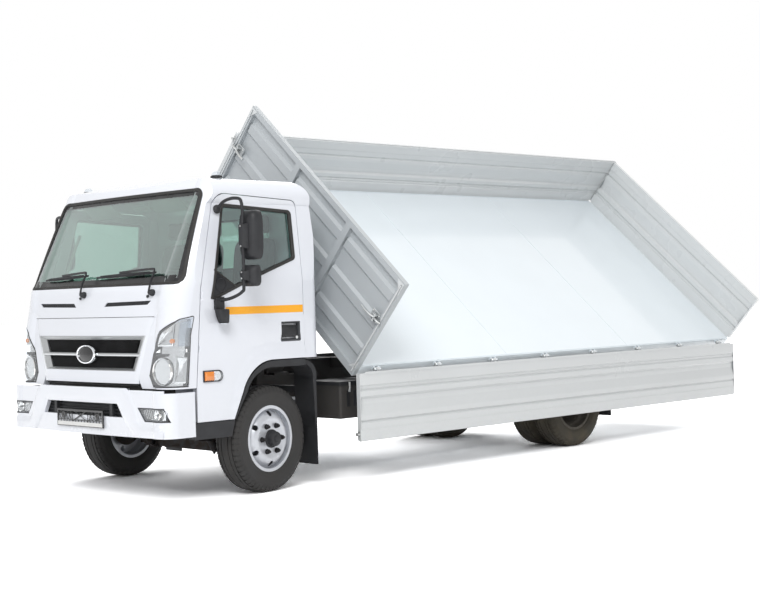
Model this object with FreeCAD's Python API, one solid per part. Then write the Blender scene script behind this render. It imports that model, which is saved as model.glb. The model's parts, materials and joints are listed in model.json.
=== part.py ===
"""Cab-over dump truck whose bed tips to the left, in millimetres.

Vehicle axes: +X is forward, +Y is the driver's left, +Z is up, and the wheels stand on z = 0.
While it is built, x = 0 is a fixed station of the cab and y = 0 is the chassis centreline.
On export everything moves so that the origin lies on the ground under the middle of its plan.
"""
import FreeCAD, Part
import os
from math import cos, hypot, radians, sin

V = FreeCAD.Vector
X_AXIS = V(1, 0, 0)
Y_AXIS = V(0, 1, 0)
Z_AXIS = V(0, 0, 1)
SIDES = (("left", 1), ("right", -1))

# ---- clearances -------------------------------------------------------------------------------
SEAT_GAP = 0.3           # between pieces that rest on each other
PIN_GAP = 0.05           # radial, between a pin and its hole
MOVE_GAP = 6.0           # between pieces that pass each other
SHUT_GAP = 6.0           # round a door

# ---- wheels and axles -------------------------------------------------------------------------
TYRE_R = 415.0
TYRE_W = 243.0
RIM_R = 258.0            # outside of the rim flange
WELL_R = 232.0           # outside of the rim's drop centre
RIM_WALL = 8.0
RIM_INSET = 22.0         # tyre side to rim flange
BORE_R = 40.0
FRONT_X = -55.0
REAR_X = -3875.0
FRONT_OUTER_Y = 1045.0   # outer side of a front tyre when it runs straight
REAR_OUTER_Y = 1060.0    # outer side of an outer rear tyre
TWIN_GAP = 32.0          # between twin tyres
DISC_T = 12.0            # wheel disc where it is bolted up
KINGPIN_Y = 842.0
KINGPIN_R = 17.0
KINGPIN_HALF = 62.0      # half height of the axle's kingpin eye
STEER_MAX = 37.0
REST_STEER = 8.5         # front wheels stand turned to the left
STEER_ARM = 138.0        # kingpin to tie rod ball, rearward
TIE_ROD_R = 14.0
STUD_R = 9.0

# ---- bed --------------------------------------------------------------------------------------
TIP_ANGLE = 41.7
TIP_Y = 920.0
TIP_Z = 1077.0
TIP_PIN_R = 24.0
FLOOR_TOP = 1140.0
FLOOR_T = 6.0
BED_HALF = 1209.0
BED_FRONT = -926.0
BED_REAR = -6383.0
SIDE_RAIL_H = 100.0
SIDE_RAIL_W = 52.0
CROSS_H = 78.0
CROSS_W = 60.0
MAIN_BEAM_Y = 340.0
MAIN_BEAM_W = 70.0
MAIN_BEAM_H = 128.0
HEAD_H = 872.0
HEAD_T = 46.0
HEAD_SKIN = 6.0
BOARD_H = 545.0
BOARD_T = 40.0
BOARD_GAP = 5.0          # bed edge to board
BOARD_LIFT = 10.0        # board foot over the floor
BOARD_END = 56.0         # board past the bed at its rear
BOARD_HINGE_Y = 1235.0
BOARD_HINGE_Z = 1123.0
BOARD_HINGES = 8
HINGE_FIRST = 174.0      # first hinge behind the bed's front edge
HINGE_LAST = 203.1       # last hinge before its rear edge
HINGE_STEP = (BED_FRONT - BED_REAR - HINGE_FIRST - HINGE_LAST) / (BOARD_HINGES - 1)
HINGE_R = 9.0
BOARD_SWING = 8.0        # the hanging board's free swing inwards
TAIL_HINGES = (-900.0, 0.0, 900.0)
TAIL_OPEN = 170.0
BED_MIDDLE = (BED_FRONT + BED_REAR) / 2
SUPPORTS = (BED_FRONT - 424.0, BED_MIDDLE, BED_REAR + 433.0)   # tip bearings along the bed

# ---- chassis ----------------------------------------------------------------------------------
FRAME_TOP = 860.0
RAIL_H = 195.0
RAIL_FLANGE = 65.0
RAIL_T = 7.0
RAIL_Y = 375.0           # outer face of a rail
RAIL_FRONT = 700.0
RAIL_REAR = BED_REAR + 233.0
SUB_H = 118.0            # tipping subframe on the rails
SUB_W = 70.0
SUB_FRONT = -1000.0
SUB_REAR = BED_REAR + 203.0

TOW_X = RAIL_REAR - 140.0   # tow pin at the tail of the frame
TOW_Z = 775.0
TOW_R = 20.0
TOW_EAR = 20.0
TOW_GAP = 60.0

# ---- tipping cylinder -------------------------------------------------------------------------
RAM_X = -3000.0
RAM_FOOT_Y = 100.0
RAM_FOOT_Z = 640.0
RAM_HEAD_Z = 1030.0      # eye pin on the centreline of the lowered bed
RAM_HEAD_Y = 0.0
RAM_R = (68.0, 55.0, 42.0)
RAM_WALL = 7.0
RAM_EYE_R = 34.0
RAM_PIN_R = 18.0
RAM_EYE_W = 60.0
TRUNNION_R = 22.0

# ---- cab --------------------------------------------------------------------------------------
CAB_HALF = 1085.0
CAB_REAR = -570.0
CAB_FOOT = 602.0         # foot of the doors
CAB_WALL = 50.0
CAB_FLOOR = 1030.0
CAB_FLOOR_T = 40.0
TOE_FLOOR = 945.0
BELT_Z = 1600.0          # where the front turns into the windscreen
BROW_X = 842.0           # centre of the front at the belt
KNEE_Z = 1250.0          # where the front turns nearly upright
KNEE_RUN = 44.0          # how far it comes forward from the belt to there
KNEE_FILL = 30.0         # how much fuller its corners are there
FRONT_SLOPE = 0.03       # its lean below the knee
SCREEN_SLOPE = 0.466     # windscreen run for each unit of rise
ROOF_Z = 2465.0
CORNER_R = 70.0
CAB_TILT = 45.0
TILT_X = 800.0
TILT_Z = 900.0
TILT_Y = 330.0
TILT_PIN_R = 16.0
DOOR_OPEN = 70.0
FRONT_CUT_Z = 858.0      # foot of the cab's front, over the bumper
PANEL_FOOT = 893.0       # foot of the removable front panel
CORNER_X = 666.0         # front of the doors at their foot
DOOR_REAR = -404.0
SILL_FOOT = 474.0
PANEL_HALF = CAB_HALF - 385.0    # half width of the front panel at its foot
GRILLE_HALF = CAB_HALF - 450.0
SIDE_IN = CAB_HALF - 205.0       # a plane inside the cab's side wall
FAR_Y = CAB_HALF + 215.0         # a plane well outside it

# ---- bumper -----------------------------------------------------------------------------------
BUMPER_TOP = 832.0
BUMPER_FOOT = 500.0
BUMPER_NOSE = 975.0
BUMPER_END_X = 690.0
BUMPER_T = 32.0


def box(x0, x1, y0, y1, z0, z1):
    """Upright block between two corners, given in any order."""
    low = V(min(x0, x1), min(y0, y1), min(z0, z1))
    return Part.makeBox(abs(x1 - x0), abs(y1 - y0), abs(z1 - z0), low)


def rod(start, end, radius):
    """Round bar between two points."""
    run = end - start
    return Part.makeCylinder(radius, run.Length, start, run)


def face_of(points, place):
    """Flat face from outline points, each (a, b) or ("arc", (a, b) through, (a, b) end)."""
    edges = []
    here = points[0]
    for item in list(points[1:]) + [points[0]]:
        if item[0] == "arc":
            edges.append(Part.Arc(place(*here), place(*item[1]), place(*item[2])).toShape())
            here = item[2]
        elif hypot(item[0] - here[0], item[1] - here[1]) > 1e-6:
            edges.append(Part.makeLine(place(*here), place(*item)))
            here = item
    return Part.Face(Part.Wire(edges))


def along_x(points, x0, x1):
    """Outline of (y, z) points pushed from x0 to x1."""
    return face_of(points, lambda y, z: V(x0, y, z)).extrude(V(x1 - x0, 0, 0))


def along_y(points, y0, y1):
    """Outline of (x, z) points pushed from y0 to y1."""
    return face_of(points, lambda x, z: V(x, y0, z)).extrude(V(0, y1 - y0, 0))


def along_z(points, z0, z1, slope=0.0):
    """Outline of (x, y) points pushed from z0 to z1, leaning back by slope for each unit of rise."""
    run = V(-slope * (z1 - z0), 0, z1 - z0)
    return face_of(points, lambda x, y: V(x, y, z0)).extrude(run)


def turned(points, centre_x, centre_z, y0, side):
    """Solid of revolution about a wheel's axle, from (radius, distance outwards from y0) points."""
    face = face_of(points, lambda r, y: V(centre_x + r, side * (y0 + y), centre_z))
    return face.revolve(V(centre_x, 0, centre_z), Y_AXIS, 360)


def disc_at(x, y0, y1, radius, side):
    """Round disc about a wheel's axle, from y0 out to y1 on the side asked for."""
    return rod(V(x, side * y0, TYRE_R), V(x, side * y1, TYRE_R), radius)


def spin(shape, point, axis, angle):
    """Copy turned about an axis, in degrees."""
    copy = shape.copy()
    copy.rotate(point, axis, angle)
    return copy


def flip(shape, side):
    """Copy on the side asked for: the left one as made, or its mirror image on the right."""
    return shape.copy() if side > 0 else shape.mirror(V(0, 0, 0), Y_AXIS)


def both(shape):
    """The piece and its mirror image on the right."""
    return [flip(shape, side) for _, side in SIDES]


def merge(*shapes):
    """One solid from pieces that touch."""
    first = shapes[0]
    joined = first.fuse(list(shapes[1:])) if len(shapes) > 1 else first
    return joined.removeSplitter()


def rounded_box(x0, x1, y0, y1, z0, z1, radius):
    """Block with all its edges rounded."""
    block = box(x0, x1, y0, y1, z0, z1)
    return block.makeFillet(radius, block.Edges)


# ---- cab form ---------------------------------------------------------------------------------
def cab_plan(inset, fill=0.0):
    """Plan of the cab's front, as (x, y): a bowed front and round corners, fuller by fill."""
    side = CAB_HALF - inset
    nose = BROW_X - inset
    shoulder_y = CAB_HALF - 235.0 - inset / 2
    shoulder_x = nose - 36.0 + fill / 4
    corner_x = nose - 182.0 + fill
    mid = (shoulder_x - 30.0 + fill * 0.37, shoulder_y + 170.0 + fill / 3 - inset / 2)
    return [(-2500.0, -side), (corner_x, -side), ("arc", (mid[0], -mid[1]), (shoulder_x, -shoulder_y)),
            ("arc", (nose, 0.0), (shoulder_x, shoulder_y)), ("arc", mid, (corner_x, side)),
            (-2500.0, side)]


def cab_section(inset):
    """Front view of the cab, as (y, z): upright sides, leaning side windows and a crowned roof."""
    side = CAB_HALF - inset
    lean = CAB_HALF - 63.0 - inset
    eave_z = 2235.0
    top = ROOF_Z + 8.0 - inset
    edge_y = CAB_HALF - 205.0 - inset
    edge_z = top - 38.0
    arc_y = lean - 22.0
    arc_z = edge_z - 42.0
    return [(-side, 300.0), (side, 300.0), (side, BELT_Z + 40.0), (lean, eave_z),
            ("arc", (arc_y, arc_z), (edge_y, edge_z)), ("arc", (0.0, top), (-edge_y, edge_z)),
            ("arc", (-arc_y, arc_z), (-lean, eave_z)), (-side, BELT_Z + 40.0)]


def cab_side(inset):
    """Side view of the cab's back, roof and brow, as (x, z)."""
    rear = CAB_REAR + inset
    top = ROOF_Z - inset
    return [(rear, 300.0), (2500.0, 300.0), (2500.0, 2180.0), (600.0 - inset, 2270.0 - inset),
            ("arc", (478.0 - inset, top - 62.0), (280.0, top)), (-390.0, top - 36.0),
            ("arc", (rear + 82.0, top - 66.0), (rear + 26.0, top - 160.0)), (rear, 1880.0)]


def cab_form(inset):
    """The whole closed cab shape, or the same shape moved inwards by a wall."""
    low = along_z(cab_plan(inset, KNEE_FILL), KNEE_Z, 300.0, FRONT_SLOPE)
    low.translate(V(KNEE_RUN, 0, 0))
    belt = face_of(cab_plan(inset), lambda x, y: V(x, y, BELT_Z)).OuterWire
    knee = face_of(cab_plan(inset, KNEE_FILL), lambda x, y: V(x + KNEE_RUN, y, KNEE_Z)).OuterWire
    middle = Part.makeLoft([knee, belt], True, True)
    high = along_z(cab_plan(inset), BELT_Z, 2700.0, SCREEN_SLOPE)
    side = CAB_HALF - inset
    rear = CAB_REAR + inset
    turn = CORNER_R - inset / 2
    slant = turn * (1 - cos(radians(45)))
    back = [(rear + turn, -side), (2500.0, -side), (2500.0, side), (rear + turn, side),
            ("arc", (rear + slant, side - slant), (rear, side - turn)), (rear, turn - side),
            ("arc", (rear + slant, slant - side), (rear + turn, -side))]
    shape = low.fuse([middle, high])
    shape = shape.common(along_x(cab_section(inset), -2400.0, 2400.0))
    shape = shape.common(along_y(cab_side(inset), -1500.0, 1500.0))
    return shape.common(along_z(back, 300.0, 2700.0))


# Outlines seen from the side, as (x, z).
ARCH = [(322.0, 420.0), (322.0, CAB_FOOT), (232.0, 800.0), ("arc", (158.0, 925.0), (38.0, 1008.0)),
        ("arc", (-20.0, 1024.0), (-90.0, CAB_FLOOR)), (-900.0, CAB_FLOOR), (-900.0, 420.0)]


def door_outline(gap):
    """Side view of a door, as (x, z), smaller than its opening by gap all round."""
    shut = CORNER_X - SHUT_GAP / 2 - gap
    return [(shut, CAB_FOOT), (shut - 2.0, 850.0), (600.0 - gap, BELT_Z), (438.0 - gap, 2200.0 - gap),
            ("arc", (400.0 - gap, 2278.0 - gap), (318.0 - gap, 2312.0 - gap)),
            (-330.0 + gap, 2278.0 - gap),
            ("arc", (-385.0 + gap, 2256.0 - gap), (DOOR_REAR + gap, 2200.0 - gap)),
            (DOOR_REAR + gap, CAB_FLOOR + gap), (-86.0, CAB_FLOOR + gap),
            ("arc", (-16.0 + gap, 1025.0 + gap), (42.0 + gap, 1008.0 + gap)),
            ("arc", (158.0 + gap, 925.0 + gap), (232.0 + gap, 800.0 + gap)), (322.0 + gap, CAB_FOOT)]


def window_outline(gap):
    """Side view of a door's window, as (x, z), with its dropped front corner."""
    return [(505.0 - gap, 1518.0 + gap), (345.0 - gap, 2196.0 - gap), ("arc", (332.0 - gap, 2222.0 - gap),
            (304.0 - gap, 2232.0 - gap)), (-312.0 + gap, 2196.0 - gap),
            ("arc", (-334.0 + gap, 2186.0 - gap), (-344.0 + gap, 2164.0 - gap)),
            (-344.0 + gap, 1840.0 + gap), ("arc", (-338.0 + gap, 1818.0 + gap), (-318.0 + gap, 1804.0 + gap)),
            (80.0, 1665.0 + gap), (470.0 - gap, 1512.0 + gap)]


def screen_outline(gap):
    """Front view of the windscreen, as (y, z)."""
    foot = CAB_HALF - 45.0 - gap
    head = CAB_HALF - 112.0 - gap
    return [(-foot + 40, 1640.0 + gap), (foot - 40, 1640.0 + gap), ("arc", (foot - 10, 1650.0 + gap),
            (foot, 1690.0)), (head, 2270.0), ("arc", (head - 22, 2328.0 - gap), (head - 80, 2350.0 - gap)),
            (-head + 80, 2350.0 - gap), ("arc", (-head + 22, 2328.0 - gap), (-head, 2270.0)),
            (-foot, 1690.0), ("arc", (-foot + 10, 1650.0 + gap), (-foot + 40, 1640.0 + gap))]


def rear_window_outline(gap):
    """Back view of the rear window, as (y, z)."""
    half = 560.0 - gap
    low = 1760.0 + gap
    high = 2180.0 - gap
    turn = 60.0
    cut = turn * (1 - cos(radians(45)))
    return [(-half + turn, low), (half - turn, low), ("arc", (half - cut, low + cut), (half, low + turn)),
            (half, high - turn), ("arc", (half - cut, high - cut), (half - turn, high)),
            (-half + turn, high), ("arc", (-half + cut, high - cut), (-half, high - turn)),
            (-half, low + turn), ("arc", (-half + cut, low + cut), (-half + turn, low))]


def front_outline(gap):
    """Front view of the removable front panel, as (y, z): between the lamps, up to its seam."""
    foot = PANEL_HALF - gap
    waist = PANEL_HALF - 40.0 - gap
    right = [(foot, FRONT_CUT_Z - 60), (foot, FRONT_CUT_Z), (waist, 930.0), (waist + 105.0, 1225.0),
             (waist + 175.0, 1392.0 - gap)]
    return right + [(-y, z) for y, z in reversed(right)]


def grille_outline(gap):
    """Front view of the grille's opening, as (y, z)."""
    low = GRILLE_HALF - gap
    high = GRILLE_HALF + 118.0 - gap
    return [(-low, 985.0 + gap), (low, 985.0 + gap), (high, 1255.0 - gap), (-high, 1255.0 - gap)]


def lamp_outline(gap):
    """Front view of the left headlamp, as (y, z)."""
    inner = PANEL_HALF + 85.0 + gap
    return [(FAR_Y, 870.0 + gap), (inner + 45.0, 870.0 + gap), (inner, 955.0), (inner + 45.0, 1118.0),
            (inner + 140.0, 1285.0), (PANEL_HALF + 360.0, 1372.0 - gap), (FAR_Y, 1395.0 - gap)]


SCREEN = along_x(screen_outline(0.0), 200.0, 1400.0)
OUTER = cab_form(0.0)
INNER = cab_form(CAB_WALL)


def cab_layer(outer_inset, inner_inset):
    """The cab's skin between two depths."""
    return cab_form(outer_inset).cut(cab_form(inner_inset))


def lamp_zone(gap):
    """Left headlamp's outline in the front corner, through the cab's skin."""
    rear = CORNER_X + 72.0 + gap
    edge = [(rear, 800.0), (1400.0, 800.0), (1400.0, 1500.0), (rear - 62.0, 1500.0)]
    corner = along_y(edge, PANEL_HALF - 100.0, FAR_Y + 100.0)
    return along_x(lamp_outline(gap), 500.0, 1400.0).common(corner)


def lamp_block(gap, depth):
    """Left headlamp's body, down to a depth."""
    return lamp_zone(gap).common(cab_layer(0.0, depth))


LAMP_DEPTH = 44.0
LAMP_CUTS = both(lamp_zone(0.0))


def cab_body():
    """Hollow cab with its floor, toe board, wheel-arch walls and tilt ears."""
    shell = OUTER.cut(INNER)
    shell = shell.cut(box(-900, CORNER_X, -FAR_Y, FAR_Y, 250, CAB_FOOT))
    shell = shell.cut(box(CORNER_X - 12.0, 2400, -FAR_Y, FAR_Y, 250, FRONT_CUT_Z))
    for side in (1, -1):
        shell = shell.cut(flip(along_y(ARCH, SIDE_IN, FAR_Y), side))
        shell = shell.cut(flip(along_y(door_outline(-SHUT_GAP / 2), SIDE_IN, FAR_Y), side))
    shell = shell.cut(box(-900, CAB_REAR + 200, -FAR_Y, FAR_Y, 250, CAB_FLOOR))
    shell = shell.cut(SCREEN)
    shell = shell.cut(along_x(rear_window_outline(0.0), -900, -300))
    shell = shell.cut(along_x(front_outline(-SEAT_GAP), 550, 1400))
    for lamp in LAMP_CUTS:
        shell = shell.cut(lamp)
    inner = CAB_HALF - CAB_WALL
    floor_top = CAB_FLOOR + CAB_FLOOR_T
    floor = box(CAB_REAR + 20, 372, MOVE_GAP - inner, inner - MOVE_GAP, CAB_FLOOR, floor_top)
    floor = floor.fuse(box(CAB_REAR + 20, DOOR_REAR - 20, -inner - 20, inner + 20, CAB_FLOOR, floor_top))
    riser = box(360, 372, -inner, inner, TOE_FLOOR, CAB_FLOOR + 5)
    toe = box(360, 2400, -inner + 170, inner - 170, TOE_FLOOR, TOE_FLOOR + 30).common(INNER)
    body = merge(shell, floor, riser, toe)
    extras = []
    for side in (1, -1):
        ear = box(TILT_X - 34, TILT_X + 34, TILT_Y, TILT_Y + 22, TILT_Z - 28, TOE_FLOOR + 12)
        ear = ear.cut(rod(V(TILT_X, 200, TILT_Z), V(TILT_X, 500, TILT_Z), TILT_PIN_R + PIN_GAP))
        extras.append(flip(ear, side))
        step = box(388, CORNER_X - 20, inner - 178, inner - 8, CAB_FOOT + 6, CAB_FOOT + 18)
        wall = box(388, CORNER_X + 20, inner - 182, inner - 168, CAB_FOOT + 6, TOE_FLOOR + 12)
        rise = box(388, 400, inner - 182, inner - 8, CAB_FOOT + 6, TOE_FLOOR + 12)
        shelf = box(360, 400, inner - 182, inner - 8, TOE_FLOOR, TOE_FLOOR + 12)
        extras += [flip(piece, side) for piece in (step, wall, rise, shelf)]
    return [merge(body, *extras)]


def door(side):
    """Door as thick as the cab's wall, its window cut and a pull bar in its handle recess."""
    panel = OUTER.cut(INNER).common(along_y(door_outline(SHUT_GAP / 2), SIDE_IN, FAR_Y))
    panel = panel.cut(along_y(window_outline(0.0), SIDE_IN, FAR_Y))
    recess = box(-358, -165, CAB_HALF - 32, CAB_HALF + 60, 1172, 1322)
    bar = box(-340, -183, CAB_HALF - 22, CAB_HALF - 6, 1225, 1262)
    posts = [box(x, x + 18, CAB_HALF - 34, CAB_HALF - 10, 1230, 1257) for x in (-340, -201)]
    return [flip(merge(panel.cut(recess), bar, *posts), side)]


def door_glass(side):
    """One sheet for the door's window."""
    sheet = cab_layer(20.0, 26.0).common(along_y(window_outline(SEAT_GAP), SIDE_IN, FAR_Y))
    return [flip(sheet, side)]


def cab_glass():
    """Windscreen and rear window."""
    layer = cab_layer(10.0, 17.0)
    screen = layer.common(along_x(screen_outline(SEAT_GAP), 200.0, 1400.0))
    rear = layer.common(along_x(rear_window_outline(SEAT_GAP), -900, -300))
    return [screen, rear]


def front_panel():
    """Panel between the headlamps, its grille opening cut and its foot over the bumper."""
    zone = along_x(front_outline(SEAT_GAP), 550, 1400).cut(box(0, 2000, -FAR_Y, FAR_Y, 0, PANEL_FOOT))
    panel = OUTER.cut(INNER).common(zone)
    return [panel.cut(along_x(grille_outline(0.0), 500, 1400))]


def grille():
    """Grille insert with its two meshes, middle bar and blank oval in one moulding."""
    zone = along_x(grille_outline(SEAT_GAP), 500, 1400)
    back = cab_layer(26.0, 40.0).common(zone)
    half = GRILLE_HALF + 100.0
    edge = [(-half, 1098), (half, 1098), (half + 8, 1122), (-half - 8, 1122)]
    bar = cab_layer(4.0, 27.0).common(along_x(edge, 500, 1400))
    rim = zone.cut(along_x(grille_outline(34.0), 500, 1400)).common(cab_layer(2.0, 27.0))
    disc = Part.makeCylinder(62, 400, V(700, 0, 1112), X_AXIS)
    oval = FreeCAD.Matrix()
    oval.scale(V(1, 1.38, 1))
    badge = disc.transformGeometry(oval).common(cab_layer(-6.0, 27.0))
    return [merge(back, bar.common(zone), rim, badge)]


def headlamps():
    """Both headlamps, each one block in its corner."""
    return both(lamp_block(SEAT_GAP, LAMP_DEPTH))


def cab_trim():
    """Black flares round the wheel arches."""
    top = CAB_FLOOR - MOVE_GAP
    edge = [(317.0, CAB_FOOT), (224.0, 798.0), ("arc", (150.0, 918.0), (34.0, 999.0)),
            ("arc", (-20.0, 1017.0), (-90.0, top)), (DOOR_REAR, top), (DOOR_REAR, 970.0), (-60.0, 972.0),
            ("arc", (84.0, 930.0), (190.0, 800.0)), (307.0, CAB_FOOT)]
    piece = along_y(edge, CAB_HALF - 45, CAB_HALF + 8)
    lip = box(DOOR_REAR, -100, CAB_HALF - 85, CAB_HALF - 40, top - 12, top)
    rise = box(DOOR_REAR, -100, CAB_HALF - 85, CAB_HALF - 62, top - 12, CAB_FLOOR - SEAT_GAP)
    return both(merge(piece, lip, rise))


def side_steps():
    """Step mouldings below the doors, each hung by an arm from the chassis's front horn."""
    top = CAB_FOOT - MOVE_GAP
    front = BUMPER_END_X - SEAT_GAP
    edge = [(front, SILL_FOOT), (front, top), (314.0, top), (350.0, SILL_FOOT)]
    moulding = along_y(edge, CAB_HALF - 45, CAB_HALF + 8)
    tread = box(380, front, CAB_HALF - 75, CAB_HALF - 40, SILL_FOOT, top)
    arm = box(600, 650, RAIL_Y + 12 + SEAT_GAP, CAB_HALF - 60, 505, 545)
    plate = box(600, 650, RAIL_Y + 12 + SEAT_GAP, RAIL_Y + 26, 505, 715)
    return both(merge(moulding, tread, arm, plate))


def dashboard():
    """Dashboard with the steering column and wheel."""
    body = along_y([(470, 1110), (560, 1110), (700, 1300), (720, 1560), (600, 1600), (450, 1560),
                    (400, 1480), (430, 1380)], 85 - CAB_HALF, CAB_HALF - 85)
    body = body.common(cab_form(CAB_WALL + SEAT_GAP))
    hub = V(232, 480, 1640)
    lean = V(-0.5, 0, 0.866)
    column = rod(hub - lean * 460, hub, 26)
    ring = Part.makeTorus(205, 15, hub + lean * 20, lean)
    spokes = [rod(hub + lean * 4, hub + lean * 20 + way * 205, 12)
              for way in (V(0, 1, 0), V(0, -1, 0), V(-0.866, 0, -0.5))]
    boss = Part.makeCylinder(52, 44, hub - lean * 14, lean)
    return [merge(body, column, ring, boss, *spokes)]


def seats():
    """Driver's seat and double passenger seat, each a cushion, back and headrests in one solid."""
    made = []
    for low_y, high_y, heads in ((230.0, 740.0, (485.0,)), (-800.0, 60.0, (-590.0, -150.0))):
        base = box(-420, 60, low_y + 30, high_y - 30, CAB_FLOOR + CAB_FLOOR_T + SEAT_GAP, 1300)
        cushion = rounded_box(-430, 110, low_y, high_y, 1290, 1440, 45)
        back = along_y([(-440, 1400), (-320, 1400), (-385, 2010), (-490, 2010)], low_y, high_y)
        rests = [rounded_box(-500, -400, y - 130, y + 130, 2000, 2190, 35) for y in heads]
        made.append(merge(base, cushion, back, *rests))
    return made


def mirrors(side):
    """Tube arm on the door with a main mirror, a wide one and the lower fender mirror."""
    arm_x = 352.0
    arm_y = CAB_HALF + 205.0
    path = [V(395, CAB_HALF - 42, 2190), V(arm_x + 20, arm_y - 70, 2262), V(arm_x, arm_y, 2215),
            V(arm_x, arm_y, 1600), V(arm_x + 20, arm_y - 40, 1535), V(452, CAB_HALF - 1, 1500)]
    arm = [rod(a, b, 11) for a, b in zip(path, path[1:])] + [Part.makeSphere(11, p) for p in path[1:-1]]
    head = rounded_box(arm_x - 118, arm_x - 18, arm_y - 95, arm_y + 100, 1800, 2170, 26)
    wide = rounded_box(arm_x - 100, arm_x - 16, arm_y - 88, arm_y + 85, 1600, 1760, 24)
    clamps = [box(arm_x - 30, arm_x + 14, arm_y - 18, arm_y + 18, z, z + 60) for z in (1960, 1660)]
    foot = box(405, 470, CAB_HALF + SEAT_GAP, CAB_HALF + 34, 1400, 1520)
    cone = rounded_box(405, 505, CAB_HALF + 20, CAB_HALF + 110, 1330, 1432, 20)
    pad = box(372, 425, CAB_HALF - 39, CAB_HALF - 23, 2165, 2215)
    piece = merge(*arm, head, wide, *clamps, foot, cone, pad)
    piece = piece.cut(along_x(cab_section(0.0), -200.0, 800.0).common(box(-200, 800, 0, FAR_Y, 300, 2600)))
    return [flip(max(piece.Solids, key=lambda s: s.Volume), side)]


# ---- chassis ----------------------------------------------------------------------------------
def channel(x0, x1):
    """Left frame rail: a channel open inwards."""
    low = FRAME_TOP - RAIL_H
    inner = RAIL_Y - RAIL_FLANGE
    rail = box(x0, x1, inner, RAIL_Y, low, FRAME_TOP)
    return rail.cut(box(x0 - 1, x1 + 1, inner - 1, RAIL_Y - RAIL_T, low + RAIL_T, FRAME_TOP - RAIL_T))


CROSS_MEMBERS = (620.0, -700.0, -1500.0, -2350.0, -3500.0, -4250.0,
                 (RAIL_REAR - 4220.0) / 2, RAIL_REAR + 30)
REST_FOOT = CAB_FLOOR - 72.0   # underside of the bar the cab rests on


def chassis_frame():
    """Ladder frame: two channels with their brackets, cross members, the cab's rest and a tow jaw."""
    low = FRAME_TOP - RAIL_H
    inner = RAIL_Y - RAIL_T
    horn = box(RAIL_FRONT - 120, 930, RAIL_Y, RAIL_Y + 12, low - 45, low + 70)
    edge = [(RAIL_FRONT - 110, low + 60), (RAIL_FRONT + 20, low + 60), (TILT_X + 32, TILT_Z - 10),
            (TILT_X + 22, TILT_Z + 24), (TILT_X - 22, TILT_Z + 24), (RAIL_FRONT - 110, FRAME_TOP)]
    plate = along_y(edge, RAIL_Y, RAIL_Y + 14)
    pin = rod(V(TILT_X, TILT_Y - 10, TILT_Z), V(TILT_X, RAIL_Y + 14, TILT_Z), TILT_PIN_R)
    leg = box(-520, -440, RAIL_Y, RAIL_Y + 60, low + 60, REST_FOOT)
    made = both(merge(channel(RAIL_REAR, RAIL_FRONT), horn, plate, pin, leg))
    for x in CROSS_MEMBERS:
        made.append(box(x - 30, x + 30, -inner, inner, low + 40, FRAME_TOP - 40))
    made.append(box(-520, -440, -700, 700, REST_FOOT, CAB_FLOOR - SEAT_GAP))
    for z in (TOW_Z - TOW_GAP / 2 - TOW_EAR, TOW_Z + TOW_GAP / 2):
        ear = box(TOW_X, RAIL_REAR, -TOW_R - 30, TOW_R + 30, z, z + TOW_EAR)
        ear = ear.fuse(Part.makeCylinder(TOW_R + 30, TOW_EAR, V(TOW_X, 0, z), Z_AXIS)).removeSplitter()
        made.append(ear.cut(Part.makeCylinder(TOW_R, TOW_EAR + 2, V(TOW_X, 0, z - 1), Z_AXIS)))
    return made


SUB_CROSS = (SUB_FRONT - 40, -2200.0, -3800.0, (SUB_REAR - 3760.0) / 2, SUB_REAR + 40)


def tip_arm(x, side):
    """Arm out from a subframe beam with the tip bearing's pin at its end."""
    top = FRAME_TOP + SUB_H
    arm = box(x - 35, x + 35, RAIL_Y, TIP_Y + 20, FRAME_TOP + 30, top)
    lug = along_y([(x - 14, top - 20), (x + 14, top - 20), (x + 14, TIP_Z), (x - 14, TIP_Z)],
                  TIP_Y - 26, TIP_Y + 26)
    head = rod(V(x - 14, TIP_Y, TIP_Z), V(x + 14, TIP_Y, TIP_Z), 34)
    pin = rod(V(x - 62, TIP_Y, TIP_Z), V(x + 62, TIP_Y, TIP_Z), TIP_PIN_R)
    return flip(merge(arm, lug, head, pin), side)


def subframe():
    """Tipping subframe: two beams, cross tubes, bearing arms and the cylinder's cradle."""
    top = FRAME_TOP + SUB_H
    inner = RAIL_Y - SUB_W
    made = both(box(SUB_REAR, SUB_FRONT, inner, RAIL_Y, FRAME_TOP, top))
    for x in SUB_CROSS:
        made.append(box(x - 35, x + 35, -inner, inner, FRAME_TOP + 10, top - 10))
    for x in SUPPORTS:
        made.append(box(x - 35, x + 35, -inner, inner, FRAME_TOP + 30, top))
        made += [tip_arm(x, side) for _, side in SIDES]
    for end in (-1, 1):
        x = RAM_X + end * (RAM_R[0] + 42)
        bar = box(x - 12, x + 12, -inner, inner, FRAME_TOP + 10, FRAME_TOP + 60)
        hanger = box(x - 12, x + 12, RAM_FOOT_Y - 40, RAM_FOOT_Y + 40, RAM_FOOT_Z - 40, FRAME_TOP + 20)
        start = V(x - 20, RAM_FOOT_Y, RAM_FOOT_Z)
        hole = rod(start, start + V(40, 0, 0), TRUNNION_R + PIN_GAP)
        made.append(merge(bar, hanger).cut(hole))
    return made


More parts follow.
